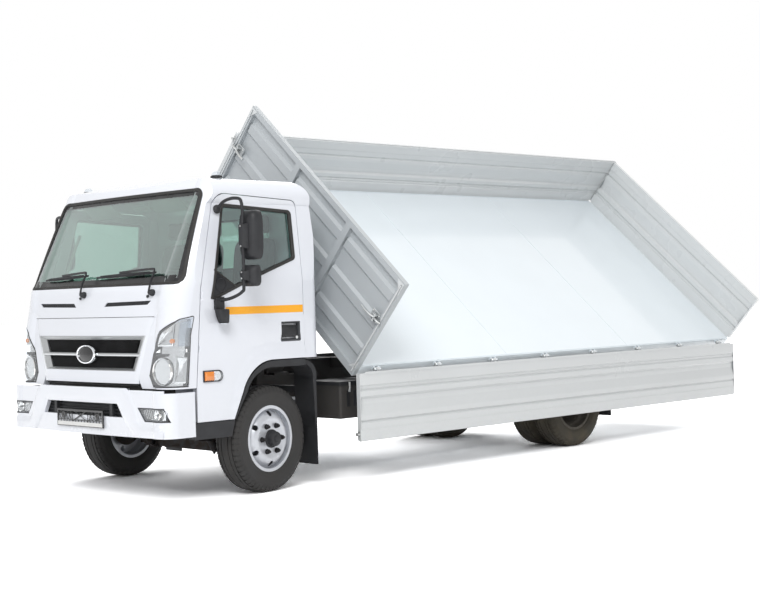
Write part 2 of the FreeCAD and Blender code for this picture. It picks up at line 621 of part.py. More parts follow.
def wheel_rim(x, outer_y, side, dish):
    """Steel disc wheel: flanges, drop centre, dished disc with six hand holes, and its hub bore."""
    wide = TYRE_W - 2 * RIM_INSET
    w = RIM_WALL
    half = [(RIM_R, 0), (RIM_R, -10), (RIM_R - 16, -12), (RIM_R - 18, -52), (WELL_R, -66)]
    back_half = [(r, -wide - y) for r, y in reversed(half)]
    inside = [(RIM_R - 24, -wide), (RIM_R - 27, -wide + 50), (WELL_R - w, -wide + 62),
              (WELL_R - w, -62), (RIM_R - 27, -50), (RIM_R - 24, 0)]
    rim = turned(half + back_half + inside, x, TYRE_R, outer_y - RIM_INSET, side)
    back = dish - DISC_T
    disc = turned([(WELL_R - w + 1, -60), (WELL_R - w + 1, -74), (196, -66 + dish * 0.1), (160, back),
                   (BORE_R, back), (BORE_R, dish), (166, dish), (204, -50 + dish * 0.1)],
                  x, TYRE_R, outer_y - RIM_INSET, side)
    holes = []
    for k in range(6):
        turn = radians(30 + 60 * k)
        centre = V(x + 184 * cos(turn), side * (outer_y - 260), TYRE_R + 184 * sin(turn))
        holes.append(Part.makeCylinder(24, 300, centre, V(0, side, 0)))
    return merge(rim, disc.cut(Part.makeCompound(holes)))


def tyre(x, outer_y, side):
    """Closed tyre carcass on its rim's beads."""
    g = SEAT_GAP
    w = TYRE_W
    seat = RIM_R - 16 + g
    profile = [(seat, -RIM_INSET - 12 - g), (RIM_R + g, -RIM_INSET - 10), (RIM_R + g, -RIM_INSET + 2),
               ("arc", (340, 0), (TYRE_R - 34, -14)), ("arc", (TYRE_R - 10, -22), (TYRE_R - 3, -44)),
               ("arc", (TYRE_R, -w / 2), (TYRE_R - 3, 44 - w)),
               ("arc", (TYRE_R - 10, 22 - w), (TYRE_R - 34, 14 - w)),
               ("arc", (340, -w), (RIM_R + g, RIM_INSET - 2 - w)),
               (RIM_R + g, RIM_INSET + 10 - w), (seat, RIM_INSET + 12 + g - w)]
    return turned(profile, x, TYRE_R, outer_y, side)


FRONT_DISH = -62.0       # front wheel's disc, inwards from the rim's edge
HUB_FACE_Y = FRONT_OUTER_Y - RIM_INSET + FRONT_DISH
REAR_HUB_Y = REAR_OUTER_Y - TYRE_W - TWIN_GAP / 2        # where the twin discs meet
REAR_DISH = REAR_HUB_Y + DISC_T - (REAR_OUTER_Y - RIM_INSET)
STUB_R = 22.0            # front stub axle
SPINDLE_R = 34.0         # rear spindle
AXLE_TUBE_R = 58.0


def steered(shape, side):
    """Front wheel piece turned about its kingpin, as the truck stands."""
    return spin(shape, V(FRONT_X, side * KINGPIN_Y, TYRE_R), Z_AXIS, REST_STEER)


def front_rim(side):
    """Front wheel with its hub and cap."""
    rim = wheel_rim(FRONT_X, FRONT_OUTER_Y, side, FRONT_DISH)
    y = HUB_FACE_Y
    hub = merge(disc_at(FRONT_X, y - 34, y + 42, BORE_R, side), disc_at(FRONT_X, y - 34, y - 28, 86, side),
                disc_at(FRONT_X, y - 28, y - DISC_T, 118, side))
    hub = hub.cut(disc_at(FRONT_X, y - 40, y + 34, STUB_R + PIN_GAP, side))
    return [steered(merge(rim, hub), side)]


def front_tyre(side):
    """Front tyre."""
    return [steered(tyre(FRONT_X, FRONT_OUTER_Y, side), side)]


def rear_rims(side):
    """Twin rear wheels, bolted disc to disc, with their hub and brake drum."""
    outer = wheel_rim(REAR_X, REAR_OUTER_Y, side, REAR_DISH)
    inner = outer.mirror(V(0, side * REAR_HUB_Y, 0), Y_AXIS)
    y = REAR_HUB_Y
    drum = disc_at(REAR_X, y - 150, y - DISC_T, 157, side)
    hub = merge(drum, disc_at(REAR_X, y - 20, y + 70, BORE_R, side))
    hub = hub.cut(disc_at(REAR_X, y - 160, y - 60, AXLE_TUBE_R + MOVE_GAP, side))
    hub = hub.cut(disc_at(REAR_X, y - 70, y + 62, SPINDLE_R + PIN_GAP, side))
    return [merge(merge(outer, inner), hub)]


def rear_tyres(side):
    """Both tyres of a rear pair."""
    inner_y = REAR_OUTER_Y - TYRE_W - TWIN_GAP
    return [tyre(REAR_X, REAR_OUTER_Y, side), tyre(REAR_X, inner_y, side)]


def front_axle():
    """Dropped beam axle, its ends holding the kingpins."""
    drop = 330.0
    top = TYRE_R
    half = 38.0
    beam = along_x([(-KINGPIN_Y, top - 40), (-KINGPIN_Y + 120, top - 46), (-560, drop - 45), (560, drop - 45),
                    (KINGPIN_Y - 120, top - 46), (KINGPIN_Y, top - 40), (KINGPIN_Y, top + 40),
                    (KINGPIN_Y - 110, top + 40), (540, drop + 45), (-540, drop + 45),
                    (-KINGPIN_Y + 110, top + 40), (-KINGPIN_Y, top + 40)], FRONT_X - half, FRONT_X + half)
    parts = [beam]
    for side in (1, -1):
        y = side * KINGPIN_Y
        parts.append(rod(V(FRONT_X, y, top - 40), V(FRONT_X, y, top + 40), half))
        reach = KINGPIN_HALF + 30
        parts.append(rod(V(FRONT_X, y, top - reach), V(FRONT_X, y, top + reach), KINGPIN_R))
    return [merge(*parts)]


def knuckle(side):
    """Fork round the kingpin with its stub axle, backplate and steering arm."""
    y = KINGPIN_Y
    top = TYRE_R
    pin = rod(V(FRONT_X, y, 0), V(FRONT_X, y, 900), KINGPIN_R + PIN_GAP)
    back_y = y + 50
    fork = [rod(V(FRONT_X, y, top + s * 46), V(FRONT_X, y, top + s * 92), 34) for s in (1, -1)]
    web = box(FRONT_X - 34, FRONT_X + 34, y, back_y + 12, top - 92, top + 92)
    web = web.cut(rod(V(FRONT_X, y, top - 46), V(FRONT_X, y, top + 46), 46))
    web = web.cut(box(FRONT_X - 60, FRONT_X + 60, y - 60, y + 20, top - 46, top + 46))
    stub = rod(V(FRONT_X, back_y, top), V(FRONT_X, HUB_FACE_Y + 28, top), STUB_R)
    plate = rod(V(FRONT_X, back_y, top), V(FRONT_X, back_y + 8, top), 150)
    arm = box(FRONT_X - STEER_ARM, FRONT_X, y - 18, y + 18, top - 92, top - 72)
    ball = V(FRONT_X - STEER_ARM, y, top - 92)
    arm = arm.fuse(rod(ball, ball + V(0, 0, 20), 20)).cut(rod(ball, ball + V(0, 0, 20), STUD_R + PIN_GAP))
    return [steered(flip(merge(*fork, web, stub, plate, arm).cut(pin), side), side)]


def tie_rod():
    """Tie rod under the steering arms, with a stud up through each arm."""
    x = FRONT_X - STEER_ARM
    z = TYRE_R - 92 - 30
    bar = rod(V(x, -KINGPIN_Y, z), V(x, KINGPIN_Y, z), TIE_ROD_R)
    studs = [rod(V(x, s * KINGPIN_Y, z), V(x, s * KINGPIN_Y, TYRE_R - 66), STUD_R) for s in (1, -1)]
    eyes = [rod(V(x, s * KINGPIN_Y, z - 16), V(x, s * KINGPIN_Y, z + 16), 20) for s in (1, -1)]
    turn = radians(REST_STEER)
    rod_piece = merge(bar, *studs, *eyes)
    rod_piece.translate(V(STEER_ARM * (1 - cos(turn)), -STEER_ARM * sin(turn), 0))
    return [rod_piece]


def rear_axle():
    """Rear axle housing with its differential."""
    centre = V(REAR_X, 0, TYRE_R)
    tube_end = REAR_HUB_Y - 60 - MOVE_GAP
    tube = rod(V(REAR_X, -tube_end, TYRE_R), V(REAR_X, tube_end, TYRE_R), AXLE_TUBE_R)
    ball = Part.makeSphere(175, centre)
    ball = ball.common(box(REAR_X - 120, REAR_X + 150, -170, 170, 200, 620))
    nose = rod(centre, centre + V(260, 0, 20), 70)
    spindles = [disc_at(REAR_X, tube_end - 10, REAR_HUB_Y + 56, SPINDLE_R, side) for _, side in SIDES]
    return [merge(tube, ball, nose, *spindles)]


def leaf_springs():
    """Four leaf springs with their hangers and axle clamps; each bow is one arc."""
    made = []
    sets = ((FRONT_X, 620.0, 330.0 + 45, 2, 34), (REAR_X, 700.0, TYRE_R + 58, 3, 42))
    rail_foot = FRAME_TOP - RAIL_H
    for centre_x, half, seat_z, leaves, thick in sets:
        for side in (1, -1):
            y0 = 402.0
            y1 = 472.0
            rise = 110.0 if centre_x == FRONT_X else 72.0
            low = seat_z + SEAT_GAP
            fore = centre_x + half
            aft = centre_x - half
            edge = [(aft, low + rise), ("arc", (centre_x, low), (fore, low + rise)), (fore, low + rise + 12),
                    ("arc", (centre_x, low + thick), (aft, low + rise + 12))]
            bow = along_y(edge, y0, y1)
            hangers = []
            for end in (-1, 1):
                x = centre_x + end * (half - 14)
                hangers.append(box(x - 22, x + 22, y0 + 8, y1 - 8, low + rise, rail_foot + 40))
                hangers.append(box(x - 22, x + 22, RAIL_Y, y1 - 8, rail_foot + 4, rail_foot + 40))
            clamp = box(centre_x - 60, centre_x + 60, y0 - 6, y1 + 6, low + thick - 6, low + thick + 24)
            made.append(flip(merge(bow, clamp, *hangers), side))
    return made


GEARBOX_REAR = -950.0


def engine():
    """Engine and gearbox as plain blocks, with both propeller shafts."""
    block = box(-430, 335, -270, 270, 600, 985)
    gearbox = box(GEARBOX_REAR, -430, -150, 150, 480, 690)
    shaft = rod(V(GEARBOX_REAR - 2.2, 0, 585), V(REAR_X + 262, 0, TYRE_R + 22), 34)
    return [merge(block, gearbox), shaft]


def fuel_tank():
    """Fuel tank on the right rail."""
    tank = rounded_box(-2500, -1500, -1000, -480, 450, 860, 50)
    straps = [box(x - 25, x + 25, -490, -RAIL_Y, 690, 800) for x in (-2300, -1700)]
    return [merge(tank, *straps)]


def battery_box():
    """Battery box on the left rail behind the cab."""
    case = rounded_box(-1400, -850, 560, 1000, 500, 800, 20)
    arms = [box(x - 20, x + 20, RAIL_Y, 570, 690, 760) for x in (-1250, -980)]
    return [merge(case, *arms)]


def air_tanks():
    """Two air tanks under the left rail."""
    made = []
    for x in (-2600.0, -2000.0):
        tank = rod(V(x, 520, 610), V(x + 520, 520, 610), 105)
        caps = [Part.makeSphere(190, V(x + 155, 520, 610)), Part.makeSphere(190, V(x + 365, 520, 610))]
        tank = tank.common(caps[0].fuse(caps[1]).fuse(rod(V(x + 20, 520, 610), V(x + 500, 520, 610), 110)))
        arm = box(x + 240, x + 280, RAIL_Y, 440, 690, 760)
        made.append(merge(tank, arm, box(x + 240, x + 280, 430, 520, 690, 722)))
    return made


def exhaust():
    """Silencer and tail pipe under the right rail."""
    y = -560.0
    can = rod(V(-1440, y, 590), V(-860, y, 590), 120)
    tail = rod(V(-1490, y, 590), V(-1430, y, 590), 34)
    head = [rod(V(-870, y, 590), V(-780, y, 590), 30), Part.makeSphere(30, V(-780, y, 590)),
            rod(V(-780, y, 590), V(-780, -150 - SEAT_GAP, 590), 30)]
    arms = [box(x - 20, x + 20, y - 20, -RAIL_Y, 700, 730) for x in (-1300, -960)]
    return [merge(can, tail, *head, *arms)]


def hydraulic_tank():
    """Oil tank of the tipping gear, upright on the frame behind the cab."""
    tank = rounded_box(-860, -660, -300, 300, FRAME_TOP + SEAT_GAP, 1180, 22)
    cap = rod(V(-760, -180, 1179), V(-760, -180, 1206), 36)
    feet = [box(-840, -680, s * RAIL_Y, s * 290, FRAME_TOP + SEAT_GAP, FRAME_TOP + 20) for s in (1, -1)]
    return [merge(tank, cap, *feet)]


def bumper_plan(inset):
    """Plan of the bumper's outside, as (x, y)."""
    nose = BUMPER_NOSE - inset
    side = CAB_HALF + 12 - inset
    turn = (925 - inset, CAB_HALF - 30 - inset)
    shoulder = (945 - inset, CAB_HALF - 165 - inset / 2)
    return [(BUMPER_END_X, -side), (840, -side), ("arc", (turn[0], -turn[1]), (shoulder[0], -shoulder[1])),
            ("arc", (nose, 0), shoulder), ("arc", turn, (840, side)), (BUMPER_END_X, side)]


def fog_outline(gap):
    """Front view of the left fog lamp's opening in the bumper, as (y, z)."""
    side = CAB_HALF - 5.0 - gap
    inner = CAB_HALF - 345.0 + gap
    low = 620.0 + gap
    high = 724.0 - gap
    return [(inner + 85.0, low), (side, low), (side - 35.0, high), (inner, high)]


def bumper():
    """Bumper shell open behind, with its air opening, lamp openings, plate carrier and brackets."""
    outer = along_z(bumper_plan(0.0), BUMPER_FOOT, BUMPER_TOP)
    shell = outer.cut(along_z(bumper_plan(BUMPER_T), BUMPER_FOOT - 1, BUMPER_TOP + 1))
    mouth = along_x([(-555, 643), (555, 643), (490, 745), (-490, 745)], 850, 1300)
    shell = shell.cut(mouth)
    for side in (1, -1):
        shell = shell.cut(flip(along_x(fog_outline(0.0), 700, 1300), side))
    brackets = both(box(880, 950, RAIL_Y + 12, RAIL_Y + 26, 560, 730))
    beam = box(902, 948, -700, 700, BUMPER_FOOT + 20, 612)
    return [merge(shell, beam, *brackets)]


def fog_lamps():
    """Fog lamps set in the bumper."""
    zone = along_x(fog_outline(1.0), 700, 1300)
    lamp = along_z(bumper_plan(4.0), 560, 800).cut(along_z(bumper_plan(28.0), 500, 850)).common(zone)
    return both(lamp)


def number_plates():
    """Blank front and rear plates on their holders."""
    front = box(BUMPER_NOSE + SEAT_GAP - 8, BUMPER_NOSE + 14, -325, 325, 552, 686)
    front = front.cut(along_z(bumper_plan(-SEAT_GAP), 400, 900))
    rear = box(RAIL_REAR - 92, RAIL_REAR - 82 - SEAT_GAP, -265, 265, 600, 712)
    return [front, rear]


def mudguards():
    """Guards behind the front wheels with their flaps, and the rear wheels' flaps."""
    made = []
    for side in (1, -1):
        edge = [(-400, 985), ("arc", (-500, 950), (-530, 850)), (-545, 470), (-556, 470),
                (-556, 165), (-564, 165), (-564, 850), ("arc", (-530, 975), (-400, 1000))]
        shell = along_y(edge, 800, 1034)
        arm = box(-590, -552, RAIL_Y, 860, 740, 790)
        made.append(flip(merge(shell, arm), side))
        flap = box(REAR_X - 560, REAR_X - 552, 500, 1050, 250, 760)
        stay = box(REAR_X - 552, REAR_X - 512, RAIL_Y, 1000, 720, 750)
        made.append(flip(merge(flap, stay), side))
    return made


def rear_bar():
    """Rear underrun bar hung from the frame."""
    bar = box(RAIL_REAR - 82, RAIL_REAR - 12, -1080, 1080, 470, 590)
    legs = both(box(RAIL_REAR - 60, RAIL_REAR + 80, RAIL_Y + SEAT_GAP, RAIL_Y + 12, 560, FRAME_TOP - 20))
    cross = box(RAIL_REAR - 82, RAIL_REAR - 62, -300, 300, 580, 718)
    return [merge(bar, cross, *legs)]


def tail_lamps():
    """Tail lamp clusters on the underrun bar's ends."""
    lamp = rounded_box(RAIL_REAR - 82, RAIL_REAR - 22, 700, 1060, 590 + SEAT_GAP, 720, 8)
    return both(lamp)


# ---- bed, built lowered and then tipped -------------------------------------------------------
def tipped(shape):
    """Copy of a bed piece as it stands with the bed tipped to the left."""
    return spin(shape, V(0, TIP_Y, TIP_Z), X_AXIS, -TIP_ANGLE)


def bed_floor():
    """Floor sheet on its side rails, cross members and main beams, with the bearings' lugs."""
    under = FLOOR_TOP - FLOOR_T
    parts = [box(BED_REAR, BED_FRONT, -BED_HALF, BED_HALF, under, FLOOR_TOP)]
    parts += both(box(BED_REAR, BED_FRONT, BED_HALF - SIDE_RAIL_W, BED_HALF, FLOOR_TOP - SIDE_RAIL_H, under))
    parts += both(box(BED_REAR, BED_FRONT, MAIN_BEAM_Y - MAIN_BEAM_W / 2, MAIN_BEAM_Y + MAIN_BEAM_W / 2,
                      under - MAIN_BEAM_H, under))
    for x in (BED_FRONT - SIDE_RAIL_W / 2, BED_REAR + SIDE_RAIL_W / 2):
        parts.append(box(x - SIDE_RAIL_W / 2, x + SIDE_RAIL_W / 2, -BED_HALF, BED_HALF,
                         FLOOR_TOP - SIDE_RAIL_H, under))
    count = 9
    reach = BED_FRONT - BED_REAR
    for k in range(1, count + 1):
        x = BED_FRONT - reach * k / (count + 1)
        parts.append(box(x - CROSS_W / 2, x + CROSS_W / 2, -BED_HALF, BED_HALF, under - CROSS_H, under))
    bed = merge(*parts)
    for x in SUPPORTS:
        for side in (1, -1):
            room = box(x - 32, x + 32, side * TIP_Y - 75, side * TIP_Y + 75, 950, under - 8)
            bed = bed.cut(room)
    lugs = []
    for x in SUPPORTS:
        for end in (-1, 1):
            at = x + end * 44
            for side in (1, -1):
                foot = TIP_Z - 30 if side > 0 else TIP_Z
                lug = box(at - 10, at + 10, side * TIP_Y - 48, side * TIP_Y + 48, foot, under)
                start = V(at - 12, side * TIP_Y, TIP_Z)
                gap = PIN_GAP if side > 0 else MOVE_GAP
                hole = rod(start, start + V(24, 0, 0), TIP_PIN_R + gap)
                if side > 0:
                    lug = lug.fuse(rod(V(at - 10, TIP_Y, TIP_Z), V(at + 10, TIP_Y, TIP_Z), 48))
                lugs.append(lug.cut(hole))
    pins = []
    for x in SUPPORTS:
        for side in (1, -1):
            pins.append(rod(V(x - 63, side * TIP_Y, TIP_Z), V(x + 63, side * TIP_Y, TIP_Z),
                            TIP_PIN_R + (PIN_GAP if side > 0 else MOVE_GAP)))
    bed = bed.cut(Part.makeCompound(pins))
    cheeks = []
    for end in (-1, 1):
        x = RAM_X + end * (RAM_EYE_W / 2 + MOVE_GAP + 9)
        cheek = box(x - 9, x + 9, RAM_HEAD_Y - 36, RAM_HEAD_Y + 36, RAM_HEAD_Z, under)
        cheeks.append(cheek.fuse(rod(V(x - 9, RAM_HEAD_Y, RAM_HEAD_Z), V(x + 9, RAM_HEAD_Y, RAM_HEAD_Z), 36)))
        cheeks.append(rod(V(x, RAM_HEAD_Y, RAM_HEAD_Z), V(x + end * 14, RAM_HEAD_Y, RAM_HEAD_Z), RAM_PIN_R))
        cheeks.append(box(x - 9, x + 9, -MAIN_BEAM_Y, MAIN_BEAM_Y, under - 50, under))
    whole = merge(bed, *lugs, *cheeks, *hinge_pins())
    return [tipped(whole)]


def hinge_places():
    """The x of each hinge along a side of the bed."""
    return [BED_FRONT - HINGE_FIRST - k * HINGE_STEP for k in range(BOARD_HINGES)]


def hinge_pins():
    """Hinge pins of the side boards and tailgate on lugs along the bed's edges."""
    made = []
    for x in hinge_places():
        for side in (1, -1):
            for end in (-1, 1):
                at = x + end * 26
                y0 = BED_HALF - 4
                lug = along_x([(y0, BOARD_HINGE_Z - 22), (BOARD_HINGE_Y - 2, BOARD_HINGE_Z - 12),
                               (BOARD_HINGE_Y - 2, BOARD_HINGE_Z + 9), (y0, FLOOR_TOP - 8)], at - 7, at + 7)
                start = V(at - 7, BOARD_HINGE_Y, BOARD_HINGE_Z)
                knob = rod(start, start + V(14, 0, 0), 12)
                made += [flip(lug, side), flip(knob, side)]
            start = V(x - 33, BOARD_HINGE_Y, BOARD_HINGE_Z)
            made.append(flip(rod(start, start + V(66, 0, 0), HINGE_R - 2), side))
    x = BED_REAR - (BOARD_HINGE_Y - BED_HALF)
    for y in TAIL_HINGES:
        for end in (-1, 1):
            at = y + end * 26
            lug = along_y([(BED_REAR + 4, BOARD_HINGE_Z - 22), (x + 2, BOARD_HINGE_Z - 12),
                           (x + 2, BOARD_HINGE_Z + 9), (BED_REAR + 4, FLOOR_TOP - 8)], at - 7, at + 7)
            made += [lug, rod(V(x, at - 7, BOARD_HINGE_Z), V(x, at + 7, BOARD_HINGE_Z), 12)]
        made.append(rod(V(x, y - 33, BOARD_HINGE_Z), V(x, y + 33, BOARD_HINGE_Z), HINGE_R - 2))
    return made


def board_profile():
    """Section of a pressed board as (distance outwards from its inner face, height over its foot)."""
    # height fraction, depth of the inner face, depth of the outer face
    rows = ((0.0, 0, 40), (0.17, 0, 40), (0.19, 5, 38), (0.215, 3, 38), (0.245, 9, 36), (0.27, 2, 33),
            (0.34, 2, 33), (0.38, 15, 40), (0.46, 15, 40), (0.62, 2, 33), (0.69, 2, 33), (0.715, 9, 36),
            (0.745, 3, 38), (0.83, 3, 38), (0.85, 0, 40), (1.0, 0, 40))
    inner = [(depth, share * BOARD_H) for share, depth, _ in rows]
    outer = [(depth, share * BOARD_H) for share, _, depth in reversed(rows)]
    return inner + outer


def side_board_closed():
    """Left side board, closed on the lowered bed."""
    y0 = BED_HALF + BOARD_GAP
    z0 = FLOOR_TOP + BOARD_LIFT
    points = [(y0 + a, z0 + b) for a, b in board_profile()]
    x0 = BED_REAR - BOARD_END
    x1 = BED_FRONT + HEAD_T
    board = along_x(points, x0, x1)
    ends = [box(x, x + 6, y0, y0 + BOARD_T, z0, z0 + BOARD_H) for x in (x0, x1 - 6)]
    eyes = []
    for x in hinge_places():
        eye = rod(V(x - 16, BOARD_HINGE_Y, BOARD_HINGE_Z), V(x + 16, BOARD_HINGE_Y, BOARD_HINGE_Z), 15)
        neck = box(x - 16, x + 16, BOARD_HINGE_Y - 12, BOARD_HINGE_Y + 12, BOARD_HINGE_Z, z0 + 4)
        start = V(x - 20, BOARD_HINGE_Y, BOARD_HINGE_Z)
        bore = rod(start, start + V(40, 0, 0), HINGE_R - 2 + PIN_GAP)
        eyes.append(eye.fuse(neck).cut(bore))
    return merge(board, *ends, *eyes)


def left_board():
    """Left board, dropped open and hanging plumb beside the tipped bed."""
    hanging = spin(side_board_closed(), V(0, BOARD_HINGE_Y, BOARD_HINGE_Z), X_AXIS, -(180 - TIP_ANGLE))
    return [tipped(hanging)]


def right_board():
    """Right board, closed."""
    return [tipped(flip(side_board_closed(), -1))]


def tailgate():
    """Tailgate, closed at the back of the bed."""
    z0 = FLOOR_TOP + BOARD_LIFT
    points = [(BED_REAR - BOARD_GAP - a, z0 + b) for a, b in board_profile()]
    half = BED_HALF - 3
    gate = along_y(points, -half, half)
    x0 = BED_REAR - BOARD_GAP
    ends = [box(x0 - BOARD_T, x0, y, y + 6, z0, z0 + BOARD_H) for y in (-half, half - 6)]
    x = BED_REAR - (BOARD_HINGE_Y - BED_HALF)
    eyes = []
    for y in TAIL_HINGES:
        eye = rod(V(x, y - 16, BOARD_HINGE_Z), V(x, y + 16, BOARD_HINGE_Z), 15)
        neck = box(x - 12, x + 12, y - 16, y + 16, BOARD_HINGE_Z, z0 + 4)
        bore = rod(V(x, y - 20, BOARD_HINGE_Z), V(x, y + 20, BOARD_HINGE_Z), HINGE_R - 2 + PIN_GAP)
        eyes.append(eye.fuse(neck).cut(bore))
    return [tipped(merge(gate, *ends, *eyes))]


def headboard():
    """Headboard: skin, rim frame, two posts and three pressed ribs in each bay."""
    x0 = BED_FRONT
    x1 = BED_FRONT + HEAD_T
    low = FLOOR_TOP - SIDE_RAIL_H
    high = FLOOR_TOP + HEAD_H
    half = BED_HALF
    skin = box(x0 + SEAT_GAP, x0 + HEAD_SKIN, -half, half, low, high)
    frame = box(x0 + SEAT_GAP, x1, -half, half, low, high).cut(
        box(x0 - 1, x1 + 1, -half + 50, half - 50, low + 60, high - 48))
    parts = [skin, frame]
    posts = (-half / 3, half / 3)
    for y in posts:
        parts.append(box(x0 + HEAD_SKIN - 1, x1, y - 32, y + 32, low, high))
    bays = ((-half + 50, posts[0] - 32), (posts[0] + 32, posts[1] - 32), (posts[1] + 32, half - 50))
    for y0, y1 in bays:
        for k in range(3):
            z = low + 60 + (high - low - 108) * (k + 0.5) / 3
            root = x0 + HEAD_SKIN - 1
            rib = [(root, z - 62), (root, z + 62), (x0 + 30, z + 38), (x0 + 30, z - 38)]
            parts.append(along_y(rib, y0 + 14, y1 - 14))
    return [tipped(merge(*parts))]


# ---- tipping cylinder -------------------------------------------------------------------------
def ram_line():
    """Foot and head of the cylinder as it stands extended, and the unit vector between them."""
    foot = V(RAM_X, RAM_FOOT_Y, RAM_FOOT_Z)
    turn = radians(-TIP_ANGLE)
    y = RAM_HEAD_Y - TIP_Y
    z = RAM_HEAD_Z - TIP_Z
    head = V(RAM_X, TIP_Y + y * cos(turn) - z * sin(turn), TIP_Z + y * sin(turn) + z * cos(turn))
    way = head - foot
    return foot, head, way.normalize(), (head - foot).Length


def ram_lowered():
    """Length between the pins with the bed down."""
    return hypot(RAM_HEAD_Y - RAM_FOOT_Y, RAM_HEAD_Z - RAM_FOOT_Z)


def ram_stroke():
    """Travel of each of the two moving stages."""
    return (ram_line()[3] - ram_lowered()) / 2


def tube(foot, way, low, high, outer_r, inner_r):
    """Tube along the cylinder's line, closed at its low end."""
    body = rod(foot + way * low, foot + way * high, outer_r)
    return body.cut(rod(foot + way * (low + 12), foot + way * (high + 1), inner_r))


BARREL_LOW = -62.0
HEAD_ROOM = 44.0         # from the barrel's mouth to the eye's pin, bed down


def cylinder_barrel():
    """Barrel with its trunnions."""
    foot, _, way, _ = ram_line()
    high = ram_lowered() - HEAD_ROOM - 24
    barrel = tube(foot, way, BARREL_LOW, high, RAM_R[0], RAM_R[1] + PIN_GAP)
    reach = RAM_R[0] + 58
    pins = [rod(foot + V(s * (RAM_R[0] - 8), 0, 0), foot + V(s * reach, 0, 0), TRUNNION_R) for s in (1, -1)]
    return [merge(barrel, *pins)]


def cylinder_stage():
    """Middle stage, run out of the barrel."""
    foot, _, way, _ = ram_line()
    out = ram_stroke()
    high = ram_lowered() - HEAD_ROOM - 12
    return [tube(foot, way, BARREL_LOW + 16 + out, high + out, RAM_R[1], RAM_R[2] + PIN_GAP)]


def cylinder_rod():
    """Inner stage with its eye, run out of the middle one."""
    foot, head, way, _ = ram_line()
    out = 2 * ram_stroke()
    high = ram_lowered() - HEAD_ROOM + out
    stem = rod(foot + way * (BARREL_LOW + 32 + out), foot + way * (high + 8), RAM_R[2])
    neck = rod(foot + way * high, head - way * (RAM_EYE_R - 12), RAM_EYE_W / 2 - 4)
    half = V(RAM_EYE_W / 2, 0, 0)
    eye = rod(head - half, head + half, RAM_EYE_R)
    return [merge(stem, neck, eye)]


# ---- export -----------------------------------------------------------------------------------
def pieces():
    """Every node's solids."""
    made = {
        "chassis_frame": chassis_frame(), "subframe": subframe(), "front_axle": front_axle(),
        "rear_axle": rear_axle(), "leaf_springs": leaf_springs(), "engine": engine(),
        "fuel_tank": fuel_tank(), "battery_box": battery_box(), "air_tanks": air_tanks(),
        "exhaust": exhaust(), "hydraulic_tank": hydraulic_tank(), "bumper": bumper(),
        "fog_lamps": fog_lamps(), "number_plates": number_plates(), "mudguards": mudguards(),
        "rear_bar": rear_bar(), "tail_lamps": tail_lamps(), "tie_rod": tie_rod(),
        "cab_body": cab_body(), "front_panel": front_panel(), "grille": grille(),
        "headlamps": headlamps(), "cab_glass": cab_glass(), "cab_trim": cab_trim(),
        "side_steps": side_steps(),
        "dashboard": dashboard(), "seats": seats(), "bed_floor": bed_floor(),
        "headboard": headboard(), "left_board": left_board(), "right_board": right_board(),
        "tailgate": tailgate(), "cylinder_barrel": cylinder_barrel(),
        "cylinder_stage": cylinder_stage(), "cylinder_rod": cylinder_rod(),
    }
    for name, side in SIDES:
        made[name + "_knuckle"] = knuckle(side)
        made["front_" + name + "_rim"] = front_rim(side)
        made["front_" + name + "_tyre"] = front_tyre(side)
        made["rear_" + name + "_rims"] = rear_rims(side)
        made["rear_" + name + "_tyres"] = rear_tyres(side)
        made[name + "_door"] = door(side)
        made[name + "_door_glass"] = door_glass(side)
        made[name + "_mirrors"] = mirrors(side)
    return made


def plan_shift(made):
    """Move that puts the origin on the ground under the middle of the plan."""
    bounds = FreeCAD.BoundBox()
    for solids in made.values():
        for solid in solids:
            bounds.add(solid.optimalBoundingBox(False, False))
    return V(-(bounds.XMin + bounds.XMax) / 2, -(bounds.YMin + bounds.YMax) / 2, 0)


def main():
    """Build every node and write its STEP file."""
    made = pieces()
    shift = plan_shift(made)
    os.makedirs("parts", exist_ok=True)
    for node, solids in made.items():
        shape = Part.makeCompound(solids) if len(solids) > 1 else solids[0].copy()
        shape.translate(shift)
        shape.exportStep("parts/" + node + ".step")
        print(node, len(shape.Solids), round(shape.Volume / 1e6, 1), shape.isValid())
    print("moved by", shift)


if __name__ == "__main__":
    main()
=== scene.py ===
"""Looks of a side-tipping dump truck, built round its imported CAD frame.

Everything is in metres. Builders work in the vehicle's own stations: x = 0 is a fixed station of
the cab, +X is forward, y = 0 is the centreline, +Y is the driver's left and z = 0 is the ground.
Stations.shift moves those stations into the row frame.
"""
import json
import logging
import math
from dataclasses import dataclass
from enum import Enum
from typing import Callable, Sequence

import bmesh
import bpy
import numpy as np
from mathutils import Matrix, Vector
from mathutils.geometry import delaunay_2d_cdt


